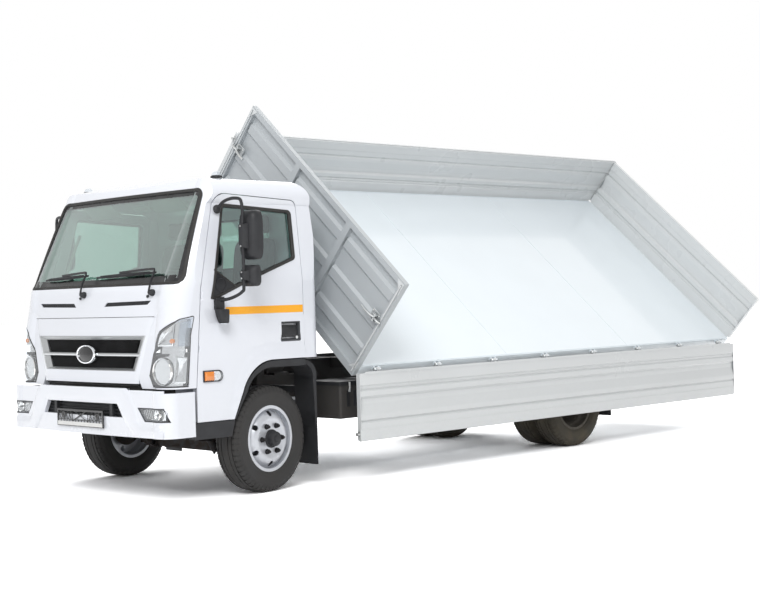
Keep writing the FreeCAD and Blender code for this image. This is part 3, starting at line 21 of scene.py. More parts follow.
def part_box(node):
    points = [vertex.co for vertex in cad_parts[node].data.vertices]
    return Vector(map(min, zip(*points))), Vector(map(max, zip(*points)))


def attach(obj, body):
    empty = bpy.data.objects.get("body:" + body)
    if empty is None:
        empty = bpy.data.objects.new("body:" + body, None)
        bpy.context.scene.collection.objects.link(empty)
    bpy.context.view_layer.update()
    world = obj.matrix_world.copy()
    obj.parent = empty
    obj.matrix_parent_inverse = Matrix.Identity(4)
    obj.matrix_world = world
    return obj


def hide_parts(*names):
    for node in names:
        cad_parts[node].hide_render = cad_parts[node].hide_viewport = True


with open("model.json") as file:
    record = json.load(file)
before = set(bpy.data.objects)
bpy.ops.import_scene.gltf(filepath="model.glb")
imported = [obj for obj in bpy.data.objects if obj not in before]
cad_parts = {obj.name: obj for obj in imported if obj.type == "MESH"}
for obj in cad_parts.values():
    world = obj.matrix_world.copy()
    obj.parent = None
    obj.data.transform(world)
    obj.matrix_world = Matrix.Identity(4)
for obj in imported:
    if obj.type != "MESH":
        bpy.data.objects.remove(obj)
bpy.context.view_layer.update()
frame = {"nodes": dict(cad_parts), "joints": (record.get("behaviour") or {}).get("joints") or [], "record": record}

log = logging.getLogger("truck")
Point2 = tuple[float, float]
Point3 = Vector | tuple[float, float, float]
Place = Callable[[float, float, float], Vector]
Socket = bpy.types.NodeSocket
Tree = bpy.types.NodeTree

AHEAD, BACK = Vector((1, 0, 0)), Vector((-1, 0, 0))
UP, DOWN = Vector((0, 0, 1)), Vector((0, 0, -1))
FRONT_AXLE_X = -0.055
REAR_AXLE_X = -3.875
AXLE_Z = 0.415
BOARD_HINGE = Vector((1.235, 1.123))    # y and z of the boards' hinge line on the lowered bed


class Side(Enum):
    """Left and right of the truck, as the sign of y."""

    LEFT = 1
    RIGHT = -1

    @property
    def word(self) -> str:
        """The side's name, as node names have it."""
        return self.name.lower()

    @property
    def way(self) -> Vector:
        """Direction from the centreline towards this side."""
        return Vector((0, self.value, 0))


def linear(hex_colour: str, alpha: float = 1.0) -> tuple[float, float, float, float]:
    """Turns an sRGB hex colour into linear values.

    Args:
        hex_colour: Six hex digits, with or without a leading hash.
        alpha: Fourth value of the result.

    Returns:
        Red, green, blue and alpha, linear.
    """
    digits = hex_colour.lstrip("#")
    parts = [int(digits[i:i + 2], 16) / 255 for i in (0, 2, 4)]
    return (*[p / 12.92 if p <= 0.04045 else ((p + 0.055) / 1.055) ** 2.4 for p in parts], alpha)


def add(tree: Tree, kind: str, inputs: dict | None = None, **settings) -> bpy.types.Node:
    """Adds one node to a tree, with its settings and links.

    Args:
        tree: Node tree that gets the node.
        kind: Name of the node's type.
        inputs: Value or output socket for each input, by its name or number.
        **settings: Properties of the node itself.

    Returns:
        The new node.
    """
    made = tree.nodes.new(kind)
    for key, value in settings.items():
        setattr(made, key, value)
    for key, value in (inputs or {}).items():
        socket = made.inputs[key]
        if isinstance(value, Socket):
            tree.links.new(value, socket)
        else:
            socket.default_value = value
    return made


@dataclass(frozen=True)
class Finish:
    """A material: what it is made of and how its surface was made."""

    name: str
    colour: str
    roughness: float

    def tree(self, tree: Tree) -> Socket:
        """Builds the shader and returns its output socket."""
        raise NotImplementedError

    def material(self) -> bpy.types.Material:
        """Returns the finish's material, made once."""
        found = bpy.data.materials.get(self.name)
        if found:
            return found
        made = bpy.data.materials.new(self.name)
        made.use_nodes = True
        made.node_tree.nodes.clear()
        shader = self.tree(made.node_tree)
        add(made.node_tree, "ShaderNodeOutputMaterial", {"Surface": shader})
        made.diffuse_color = linear(self.colour)
        return made

    @staticmethod
    def place(tree: Tree) -> Socket:
        """Object coordinates, which are metres on every piece here."""
        return add(tree, "ShaderNodeTexCoord").outputs["Object"]

    @staticmethod
    def noise(tree: Tree, where: Socket, scale: float, detail: float) -> Socket:
        """Cloudy noise, about 0 to 1, of a scale per metre."""
        return add(tree, "ShaderNodeTexNoise",
                   {"Vector": where, "Scale": scale, "Detail": detail}).outputs["Fac"]

    @staticmethod
    def bump(tree: Tree, strength: float, depth: float, height: Socket) -> Socket:
        """Normal of a surface with a fine relief that is depth metres deep."""
        return add(tree, "ShaderNodeBump", {"Strength": strength, "Distance": depth,
                                            "Height": height}).outputs[0]

    @staticmethod
    def maths(tree: Tree, operation: str, first: Socket, second: Socket | float,
              clamp: bool = True) -> Socket:
        """One sum of two values, kept between 0 and 1 if clamp is set."""
        return add(tree, "ShaderNodeMath", {0: first, 1: second}, operation=operation,
                   use_clamp=clamp).outputs[0]

    @staticmethod
    def mixed(tree: Tree, share: Socket | float, first: Socket | Sequence[float],
              second: Socket | Sequence[float]) -> Socket:
        """Colour between two linear colours or sockets, by a share."""
        return add(tree, "ShaderNodeMix", {0: share, 6: first, 7: second}, data_type="RGBA").outputs[2]

    @staticmethod
    def varied(tree: Tree, socket: Socket, low: float, high: float, start: float = 0.3,
               end: float = 0.7) -> Socket:
        """Maps a pattern onto a range of values.

        Args:
            tree: Node tree that gets the node.
            socket: Pattern, about 0 to 1.
            low: Value at start.
            high: Value at end.
            start: Pattern value where the range begins.
            end: Pattern value where the range ends.

        Returns:
            The mapped value.
        """
        return add(tree, "ShaderNodeMapRange", {"Value": socket, "From Min": start, "From Max": end,
                                                "To Min": low, "To Max": high}).outputs["Result"]

    @classmethod
    def blended(cls, tree: Tree, share: Socket, first: str, second: str) -> Socket:
        """Colour between two hex colours, by a share."""
        return cls.mixed(tree, share, linear(first), linear(second))


FOLD_SHADE = "#83888A"      # colour of the painted shade in the pressed folds of the bed's boards


@dataclass(frozen=True)
class Enamel(Finish):
    """Sprayed enamel over sheet metal: a gloss coat with slight orange peel, road film low down and, where asked,
    painted shade in its folds.
    """

    coat: float = 0.6
    peel_mm: float = 3.0
    film: str = "#8A8478"
    film_share: float = 0.0
    film_top: float = 1.0
    metallic: float = 0.0
    fold_shade: float = 0.0

    def tree(self, tree: Tree) -> Socket:
        """Builds the shader and returns its output socket."""
        where = self.place(tree)
        cloud = self.noise(tree, where, 2.3, 3.0)
        # Orange peel: a ripple of a few millimetres that only bends the reflections.
        peel = self.noise(tree, where, 1000 / self.peel_mm, 1.0)
        height = add(tree, "ShaderNodeSeparateXYZ", {0: where}).outputs["Z"]
        low = self.varied(tree, height, self.film_share, 0.0, 0.0, self.film_top)
        speck = self.noise(tree, where, 38.0, 5.0)
        patch = self.maths(tree, "MULTIPLY", low, self.varied(tree, speck, 0.5, 1.3))
        shade = self.blended(tree, self.varied(tree, cloud, 0.0, 0.035), self.colour, "#9A9A98")
        shade = self.mixed(tree, patch, shade, linear(self.film))
        rough = self.varied(tree, cloud, self.roughness * 0.9, self.roughness * 1.15)
        rough = self.maths(tree, "ADD", rough, patch)
        if self.fold_shade:
            # Painted shade: ambient occlusion darkens the pressed folds towards grey and draws their lines.
            open_share = add(tree, "ShaderNodeAmbientOcclusion", {"Distance": 0.05}, samples=8,
                             only_local=True).outputs["AO"]
            fold = self.varied(tree, open_share, self.fold_shade, 0.0, 0.7, 0.97)
            shade = self.mixed(tree, fold, shade, linear(FOLD_SHADE))
        bump = self.bump(tree, 0.035, 0.0006, peel)
        return add(tree, "ShaderNodeBsdfPrincipled", {
            "Base Color": shade, "Roughness": rough, "Metallic": self.metallic, "Normal": bump,
            "Coat Weight": self.coat, "Coat Roughness": 0.06}).outputs[0]


@dataclass(frozen=True)
class Plastic(Finish):
    """Moulded plastic with a spark-eroded grain that scatters the light."""

    grain_mm: float = 1.2
    depth_mm: float = 0.12
    gloss: float = 0.5

    def tree(self, tree: Tree) -> Socket:
        """Builds the shader and returns its output socket."""
        where = self.place(tree)
        # The grain is drawn about twice as coarse as a real one, so that it shows at this distance.
        grain = add(tree, "ShaderNodeTexVoronoi", {"Vector": where, "Scale": 500 / self.grain_mm},
                    feature="SMOOTH_F1").outputs["Distance"]
        cloud = self.noise(tree, where, 9.0, 4.0)
        shade = self.blended(tree, self.varied(tree, cloud, 0.0, 0.08), self.colour, "#77777A")
        bump = self.bump(tree, 0.5, self.depth_mm / 1000, grain)
        rough = self.varied(tree, cloud, self.roughness * 0.88, min(1.0, self.roughness * 1.15))
        return add(tree, "ShaderNodeBsdfPrincipled",
                   {"Base Color": shade, "Roughness": rough, "Specular IOR Level": self.gloss, "Normal": bump,
                    "IOR": 1.49}).outputs[0]


@dataclass(frozen=True)
class Metal(Finish):
    """Bare or plated metal: cast, rolled, ground or plated, by its grain and how deep that is."""

    grain_mm: float = 4.0
    depth_mm: float = 0.1
    stretch: tuple[float, float, float] = (1.0, 1.0, 1.0)
    stain: str = "#4A3A2C"
    stain_share: float = 0.0
    metallic: float = 1.0

    def tree(self, tree: Tree) -> Socket:
        """Builds the shader and returns its output socket."""
        where = self.place(tree)
        run = add(tree, "ShaderNodeMapping", {"Vector": where, "Scale": self.stretch}).outputs[0]
        grain = self.noise(tree, run, 1000 / self.grain_mm, 3.0)
        cloud = add(tree, "ShaderNodeTexNoise", {"Vector": where, "Scale": 14.0, "Detail": 6.0,
                                                 "Roughness": 0.65}).outputs["Fac"]
        share = self.varied(tree, cloud, 0.0, self.stain_share, 0.42, 0.68)
        shade = self.blended(tree, share, self.colour, self.stain)
        rough = self.varied(tree, grain, self.roughness * 0.85, self.roughness * 1.2)
        rough = self.maths(tree, "ADD", rough, share)
        bump = self.bump(tree, 0.4, self.depth_mm / 1000, grain)
        return add(tree, "ShaderNodeBsdfPrincipled",
                   {"Base Color": shade, "Roughness": rough, "Metallic": self.metallic,
                    "Normal": bump}).outputs[0]


@dataclass(frozen=True)
class Rubber(Finish):
    """Moulded rubber, bloomed grey, with dust in its low places."""

    dust: str = "#6E675C"
    dust_share: float = 0.3

    def tree(self, tree: Tree) -> Socket:
        """Builds the shader and returns its output socket."""
        where = self.place(tree)
        fine = self.noise(tree, where, 160.0, 4.0)
        cloud = self.noise(tree, where, 7.0, 5.0)
        share = self.varied(tree, cloud, self.dust_share * 0.25, self.dust_share)
        shade = self.blended(tree, share, self.colour, self.dust)
        bump = self.bump(tree, 0.35, 0.0008, fine)
        rough = self.varied(tree, cloud, self.roughness, min(1.0, self.roughness + 0.15))
        return add(tree, "ShaderNodeBsdfPrincipled", {"Base Color": shade, "Roughness": rough,
                                                      "Normal": bump, "IOR": 1.52}).outputs[0]


@dataclass(frozen=True)
class Pane(Finish):
    """Float glass, tinted in the melt, which lets the lamps through and mirrors what is around."""

    haze: float = 0.02
    mirror: float = 0.05

    def tree(self, tree: Tree) -> Socket:
        """Builds the shader and returns its output socket."""
        where = self.place(tree)
        wave = self.noise(tree, where, 3.0, 1.0)
        tint = self.blended(tree, self.varied(tree, wave, 0.0, 0.06), self.colour, "#FFFFFF")
        clear = add(tree, "ShaderNodeBsdfTransparent", {"Color": tint}).outputs[0]
        mirror = add(tree, "ShaderNodeBsdfGlossy",
                     {"Color": (0.95, 0.98, 1.0, 1.0), "Roughness": self.haze}).outputs[0]
        # Schlick's rule, so that the sheet's far face doesn't mirror everything back into it.
        facing = add(tree, "ShaderNodeLayerWeight", {"Blend": 0.5}).outputs["Facing"]
        edge = self.maths(tree, "POWER", facing, 4.0, clamp=False)
        rim = self.varied(tree, edge, self.mirror, 1.0, 0.0, 1.0)
        return add(tree, "ShaderNodeMixShader", {0: rim, 1: clear, 2: mirror}).outputs[0]


@dataclass(frozen=True)
class Lens(Finish):
    """Moulded lens: clear or coloured plastic, smooth outside and fluted inside."""

    flute_mm: float = 8.0
    clear: float = 0.75
    flute_axis: str = "Y"

    def tree(self, tree: Tree) -> Socket:
        """Builds the shader and returns its output socket."""
        where = self.place(tree)
        bands = add(tree, "ShaderNodeTexWave", {"Vector": where, "Scale": 1000 / self.flute_mm / 20,
                                                "Distortion": 0.0},
                    wave_type="BANDS", bands_direction=self.flute_axis).outputs["Fac"]
        bump = self.bump(tree, 0.25, 0.002, bands)
        solid = add(tree, "ShaderNodeBsdfPrincipled", {
            "Base Color": linear(self.colour), "Roughness": self.roughness, "Normal": bump,
            "Coat Weight": 1.0, "Coat Roughness": 0.03, "IOR": 1.49}).outputs[0]
        through = add(tree, "ShaderNodeBsdfTransparent", {"Color": linear(self.colour)}).outputs[0]
        return add(tree, "ShaderNodeMixShader", {0: self.clear, 1: solid, 2: through}).outputs[0]


@dataclass(frozen=True)
class Cloth(Finish):
    """Plain-woven upholstery cloth in two greys, with a soft sheen at its edges."""

    second: str = "#5C5F63"
    thread_mm: float = 2.4

    def tree(self, tree: Tree) -> Socket:
        """Builds the shader and returns its output socket."""
        where = self.place(tree)
        # Real threads are half this width; they are drawn coarser so that the weave shows.
        weft = add(tree, "ShaderNodeTexWave", {"Vector": where, "Scale": 50 / self.thread_mm},
                   bands_direction="Y").outputs["Fac"]
        warp = add(tree, "ShaderNodeTexWave", {"Vector": where, "Scale": 50 / self.thread_mm},
                   bands_direction="DIAGONAL").outputs["Fac"]
        weave = self.maths(tree, "MULTIPLY", weft, warp, clamp=False)
        shade = self.blended(tree, weave, self.colour, self.second)
        bump = self.bump(tree, 0.6, 0.0006, weave)
        return add(tree, "ShaderNodeBsdfPrincipled", {
            "Base Color": shade, "Roughness": self.roughness, "Normal": bump,
            "Sheen Weight": 0.35, "Sheen Roughness": 0.4}).outputs[0]


@dataclass(frozen=True)
class Film(Finish):
    """Reflective film stuck on the paint, with its honeycomb of sealed cells."""

    cell_mm: float = 4.0

    def tree(self, tree: Tree) -> Socket:
        """Builds the shader and returns its output socket."""
        where = self.place(tree)
        edge = add(tree, "ShaderNodeTexVoronoi", {"Vector": where, "Scale": 1000 / self.cell_mm,
                                                  "Randomness": 0.25},
                   feature="DISTANCE_TO_EDGE").outputs["Distance"]
        share = self.varied(tree, edge, 0.35, 0.0, 0.0, 0.09)
        shade = self.blended(tree, share, self.colour, "#FFC83A")
        return add(tree, "ShaderNodeBsdfPrincipled", {"Base Color": shade, "Roughness": self.roughness,
                                                      "Coat Weight": 0.2, "Coat Roughness": 0.2}).outputs[0]


# Sprayed white cab enamel: bright, cool and glossy, so that the edges carry thin highlights.
CAB_WHITE = Enamel("white_cab_enamel_sprayed", "#DFE2E9", 0.22, coat=0.7, film_share=0.1, film_top=0.9)
# Grey bed enamel: half gloss over pressed sheet, slightly cool, with painted shade in its pressed folds.
BED_GREY = Enamel("grey_bed_enamel_sprayed", "#D2D5D6", 0.28, coat=0.5, peel_mm=4.0, film_share=0.08,
                  fold_shade=0.9)
# The headboard takes the same enamel painted darker and duller: painted shade for its place behind the cab.
HEAD_SHADED_GREY = Enamel("grey_headboard_enamel_painted_shade", "#B2B7BA", 0.36, coat=0.2, peel_mm=4.0, film_share=0.08)
# Floor enamel: glossier and whiter than the boards, wiped clean by the loads.
FLOOR_WHITE = Enamel("pale_floor_enamel_sprayed", "#E9F1F6", 0.16, coat=0.8, film_share=0.0)
# Chassis enamel: satin black under a film of road dust.
FRAME_BLACK = Enamel("black_chassis_enamel_sprayed", "#1B1B1D", 0.5, coat=0.0, film="#55504A",
                     film_share=0.55, film_top=1.4)
# Silver wheel enamel: fine metal flake, so it is brighter face on.
RIM_SILVER = Enamel("silver_wheel_enamel_sprayed", "#BDC0C6", 0.3, coat=0.35, film="#6F6A62",
                    film_share=0.16, film_top=0.9, metallic=0.45)
# The same enamel on the rear wheels, painted dark brown grey and dull: painted shade for the shadow under the bed.
RIM_SHADED = Enamel("shaded_wheel_enamel_sprayed", "#6C6861", 0.6, coat=0.0, film="#4E4840",
                   film_share=0.6, film_top=0.9, metallic=0.1)
# Black polypropylene with a moulded grain: mirror heads, flares and flaps.
BLACK_PP = Plastic("black_polypropylene_moulded", "#1B1C1F", 0.55, gloss=0.35)
# Glossy black ABS of the grille.
BLACK_ABS = Plastic("black_abs_polished", "#0E0E10", 0.16, depth_mm=0.01)
# Black nylon of the grille meshes: matt, so that they read as dark holes.
MESH_BLACK = Plastic("black_nylon_moulded", "#0B0B0C", 0.6, depth_mm=0.01, gloss=0.1)
# Dark grey ABS of the dashboard, grained and matt.
GREY_ABS = Plastic("grey_abs_grained", "#3A3C40", 0.62, grain_mm=1.8)
# Pale grey lining of the roof, visors and pillars, felt pressed on board: soft and matt.
PALE_LINING = Plastic("pale_lining_felt_pressed", "#B9BBB8", 0.85, grain_mm=2.2, depth_mm=0.2)
# White blank plate stock.
PLATE_WHITE = Plastic("white_plate_sheet_rolled", "#DCDCDA", 0.35, depth_mm=0.02)
# Cast and forged iron of the axles, under thin black paint and dust.
AXLE_IRON = Metal("black_iron_cast", "#2A2A2B", 0.6, grain_mm=7.0, depth_mm=0.5, stain="#5A4A3C",
                  stain_share=0.5, metallic=0.35)
ENGINE_IRON = Metal("grey_iron_cast", "#4B4D4F", 0.55, grain_mm=6.0, depth_mm=0.6, stain="#2B2520",
                    stain_share=0.5, metallic=0.6)
SPRING_STEEL = Metal("spring_steel_rolled", "#303134", 0.5, grain_mm=3.0, stain_share=0.55, metallic=0.7)
# Phosphated wheel nuts: dull near-black with a soft edge light.
NUT_BLACK = Metal("phosphated_steel_pressed", "#1E1F22", 0.5, grain_mm=2.0, stain_share=0.1, metallic=0.5)
# Rolled aluminium of the tanks: satin, brushed along the tank.
TANK_ALLOY = Metal("aluminium_rolled", "#C2C5C8", 0.32, grain_mm=1.2, stretch=(0.05, 1.0, 1.0),
                   stain="#8A8680", stain_share=0.25)
EXHAUST_STEEL = Metal("aluminised_steel_rolled", "#8E8A84", 0.45, grain_mm=5.0, stain="#5A4030",
                      stain_share=0.7)
# Hard chrome of the ram and the bright trim: near a mirror.
CHROME = Metal("hard_chrome_plated", "#E4E6E9", 0.09, grain_mm=2.0, depth_mm=0.005, stain_share=0.0)
ZINC = Metal("zinc_plated_steel", "#C9CBCB", 0.36, grain_mm=3.0, stain="#8C7F6A", stain_share=0.2)
TYRE_BLACK = Rubber("tyre_rubber_moulded", "#1A1A1B", 0.72, dust="#5E5A55", dust_share=0.18)
# Rear tyres throw the dust on each other, so they are browner.
TYRE_DUSTY = Rubber("tyre_rubber_dusty", "#26241F", 0.8, dust="#6A6252", dust_share=0.45)
SEAL_BLACK = Rubber("seal_rubber_extruded", "#111112", 0.6, dust_share=0.08)
# Ceramic band printed on the glass: flat black under the gloss of the pane.
FRIT_BLACK = Plastic("black_ceramic_band_fired", "#0B0C0D", 0.28, grain_mm=1.0, depth_mm=0.005)
# Satin metallised plastic of the grille's wings: brushed look, a soft bright facet.
SATIN_ALLOY = Metal("satin_metallised_abs", "#ADAFB0", 0.3, grain_mm=1.5, depth_mm=0.01, metallic=0.85)
# Laminated screen glass: green tint, nearly clear.
SCREEN_GLASS = Pane("screen_glass_laminated", "#CDE2D8", 0.0, mirror=0.2)
SIDE_GLASS = Pane("side_glass_toughened", "#DAE8E6", 0.0, mirror=0.1)
MIRROR_GLASS = Metal("mirror_glass_silvered", "#DDE3E8", 0.03, grain_mm=5.0, depth_mm=0.0)
CLEAR_LENS = Lens("clear_lens_polycarbonate_moulded", "#F4F7FA", 0.06, clear=0.82)
AMBER_LENS = Lens("amber_lens_acrylic_moulded", "#F08A14", 0.12, flute_mm=6.0, clear=0.15)
RED_LENS = Lens("red_lens_acrylic_moulded", "#B01010", 0.15, flute_mm=6.0, clear=0.15)
REFLECTOR = Metal("reflector_aluminium_vaporised", "#C8C7C5", 0.12, grain_mm=9.0, depth_mm=0.2)
SEAT_CLOTH = Cloth("seat_cloth_woven", "#3E4146", 0.9)
STRIPE_FILM = Film("amber_marking_film_calendered", "#F7A600", 0.4)


# ---- outlines and meshes ----------------------------------------------------------------------
def circle(a: Point2, b: Point2, c: Point2) -> tuple[float, float, float]:
    """Centre and radius of the circle through three points."""
    d = 2 * (a[0] * (b[1] - c[1]) + b[0] * (c[1] - a[1]) + c[0] * (a[1] - b[1]))
    sums = [p[0] ** 2 + p[1] ** 2 for p in (a, b, c)]
    x = (sums[0] * (b[1] - c[1]) + sums[1] * (c[1] - a[1]) + sums[2] * (a[1] - b[1])) / d
    y = (sums[0] * (c[0] - b[0]) + sums[1] * (a[0] - c[0]) + sums[2] * (b[0] - a[0])) / d
    return x, y, math.hypot(a[0] - x, a[1] - y)


def bowed(y: float, nose: float, shoulder: Point2, turn: Point2, end: Point2) -> float:
    """How far forward a bowed front stands at a distance y from the centreline.

    Args:
        y: Distance from the centreline, either side.
        nose: How far forward it stands in the middle.
        shoulder: (forward, sideways) point where the flat bow meets the corner's bow.
        turn: A point of the corner's bow.
        end: The corner's last point.
    """
    if abs(y) <= shoulder[1]:
        x, middle, radius = circle((shoulder[0], -shoulder[1]), (nose, 0.0), shoulder)
    else:
        x, middle, radius = circle(shoulder, turn, end)
    return x + math.sqrt(max(radius ** 2 - (abs(y) - middle) ** 2, 0.0))


def arc_points(start: Point2, through: Point2, end: Point2, steps: int = 8) -> list[Point2]:
    """Points of the circular arc from start through a point to end, without its start."""
    ux, uy, radius = circle(start, through, end)
    a0, a1, a2 = (math.atan2(y - uy, x - ux) for x, y in (start, through, end))
    turn = (a2 - a0) % (2 * math.pi)
    if (a1 - a0) % (2 * math.pi) > turn:
        turn -= 2 * math.pi
    angles = [a0 + turn * k / steps for k in range(1, steps + 1)]
    return [(ux + radius * math.cos(t), uy + radius * math.sin(t)) for t in angles]


def outline(points: Sequence, scale: float = 0.001) -> list[Point2]:
    """Closed outline in metres from millimetre points, each (a, b) or ("arc", through, end)."""
    made = [points[0]]
    for item in points[1:]:
        if item[0] == "arc":
            made += arc_points(made[-1], item[1], item[2])
        else:
            made.append(item)
    return [(a * scale, b * scale) for a, b in made]


def offset(loop: Sequence[Point2], inwards: float) -> list[Point2]:
    """The same closed outline moved inwards by a distance, or outwards by a negative one."""
    count = len(loop)
    area = sum(loop[i][0] * loop[(i + 1) % count][1] - loop[(i + 1) % count][0] * loop[i][1]
               for i in range(count))
    sign = 1.0 if area > 0 else -1.0
    made = []
    for i in range(count):
        here = Vector(loop[i])
        before = (here - Vector(loop[i - 1])).normalized()
        after = (Vector(loop[(i + 1) % count]) - here).normalized()
        n1 = Vector((-before.y, before.x)) * sign
        n2 = Vector((-after.y, after.x)) * sign
        half = n1 + n2
        half = n1 if half.length < 1e-6 else half.normalized()
        reach = inwards / max(0.4, half.dot(n1))
        made.append((here.x + half.x * reach, here.y + half.y * reach))
    return made


def resampled(line: Sequence[Point2], step: float = 0.03, closed: bool = True) -> list[Point2]:
    """The same line with points added so that no run is longer than step."""
    made = []
    ends = list(line) + ([line[0]] if closed else [])
    for a, b in zip(ends, ends[1:]):
        count = max(1, math.ceil(math.hypot(b[0] - a[0], b[1] - a[1]) / step))
        made += [(a[0] + (b[0] - a[0]) * k / count, a[1] + (b[1] - a[1]) * k / count) for k in range(count)]
    return made if closed else made + [ends[-1]]


def inside(points: np.ndarray, loop: Sequence[Point2]) -> np.ndarray:
    """Which points lie inside a closed outline."""
    a = np.asarray(loop)
    b = np.roll(a, -1, axis=0)
    x, y = points[:, 0:1], points[:, 1:2]
    with np.errstate(divide="ignore", invalid="ignore"):
        hit = ((a[:, 1] > y) != (b[:, 1] > y)) & (x < (b[:, 0] - a[:, 0]) * (y - a[:, 1])
                                                  / (b[:, 1] - a[:, 1]) + a[:, 0])
    return hit.sum(axis=1) % 2 == 1


def away(points: np.ndarray, line: np.ndarray, closed: bool) -> np.ndarray:
    """Distance of each point from a line of points."""
    a = line
    b = np.roll(a, -1, axis=0)
    if not closed:
        a, b = a[:-1], b[:-1]
    run = b - a
    share = ((points[:, None] - a) * run).sum(axis=2) / np.maximum((run * run).sum(axis=1), 1e-12)
    nearest = a + np.clip(share, 0, 1)[..., None] * run
    return np.sqrt(((points[:, None] - nearest) ** 2).sum(axis=2)).min(axis=1)


def bent(value: float, power: float) -> float:
    """The value's size raised to a power, with its own sign: rounds a circle towards a square."""
    return math.copysign(abs(value) ** power, value)


def turns(count: int) -> list[float]:
    """Angles spread evenly round a circle, from 0."""
    return [2 * math.pi * k / count for k in range(count)]


def rect(a0: float, b0: float, a1: float, b1: float) -> list[Point2]:
    """Corners of an upright rectangle, in order."""
    return [(a0, b0), (a1, b0), (a1, b1), (a0, b1)]


def smooth_path(points: Sequence[Point3], steps: int = 6) -> list[Vector]:
    """Catmull-Rom curve through the points."""
    points = [Vector(p) for p in points]
    ends = [points[0] * 2 - points[1], *points, points[-1] * 2 - points[-2]]
    made = []
    for i in range(1, len(ends) - 2):
        p0, p1, p2, p3 = ends[i - 1:i + 3]
        for k in range(steps):
            t = k / steps
            made.append(0.5 * ((2 * p1) + (p2 - p0) * t + (2 * p0 - 5 * p1 + 4 * p2 - p3) * t * t
                               + (3 * p1 - p0 - 3 * p2 + p3) * t ** 3))
    return [*made, points[-1].copy()]


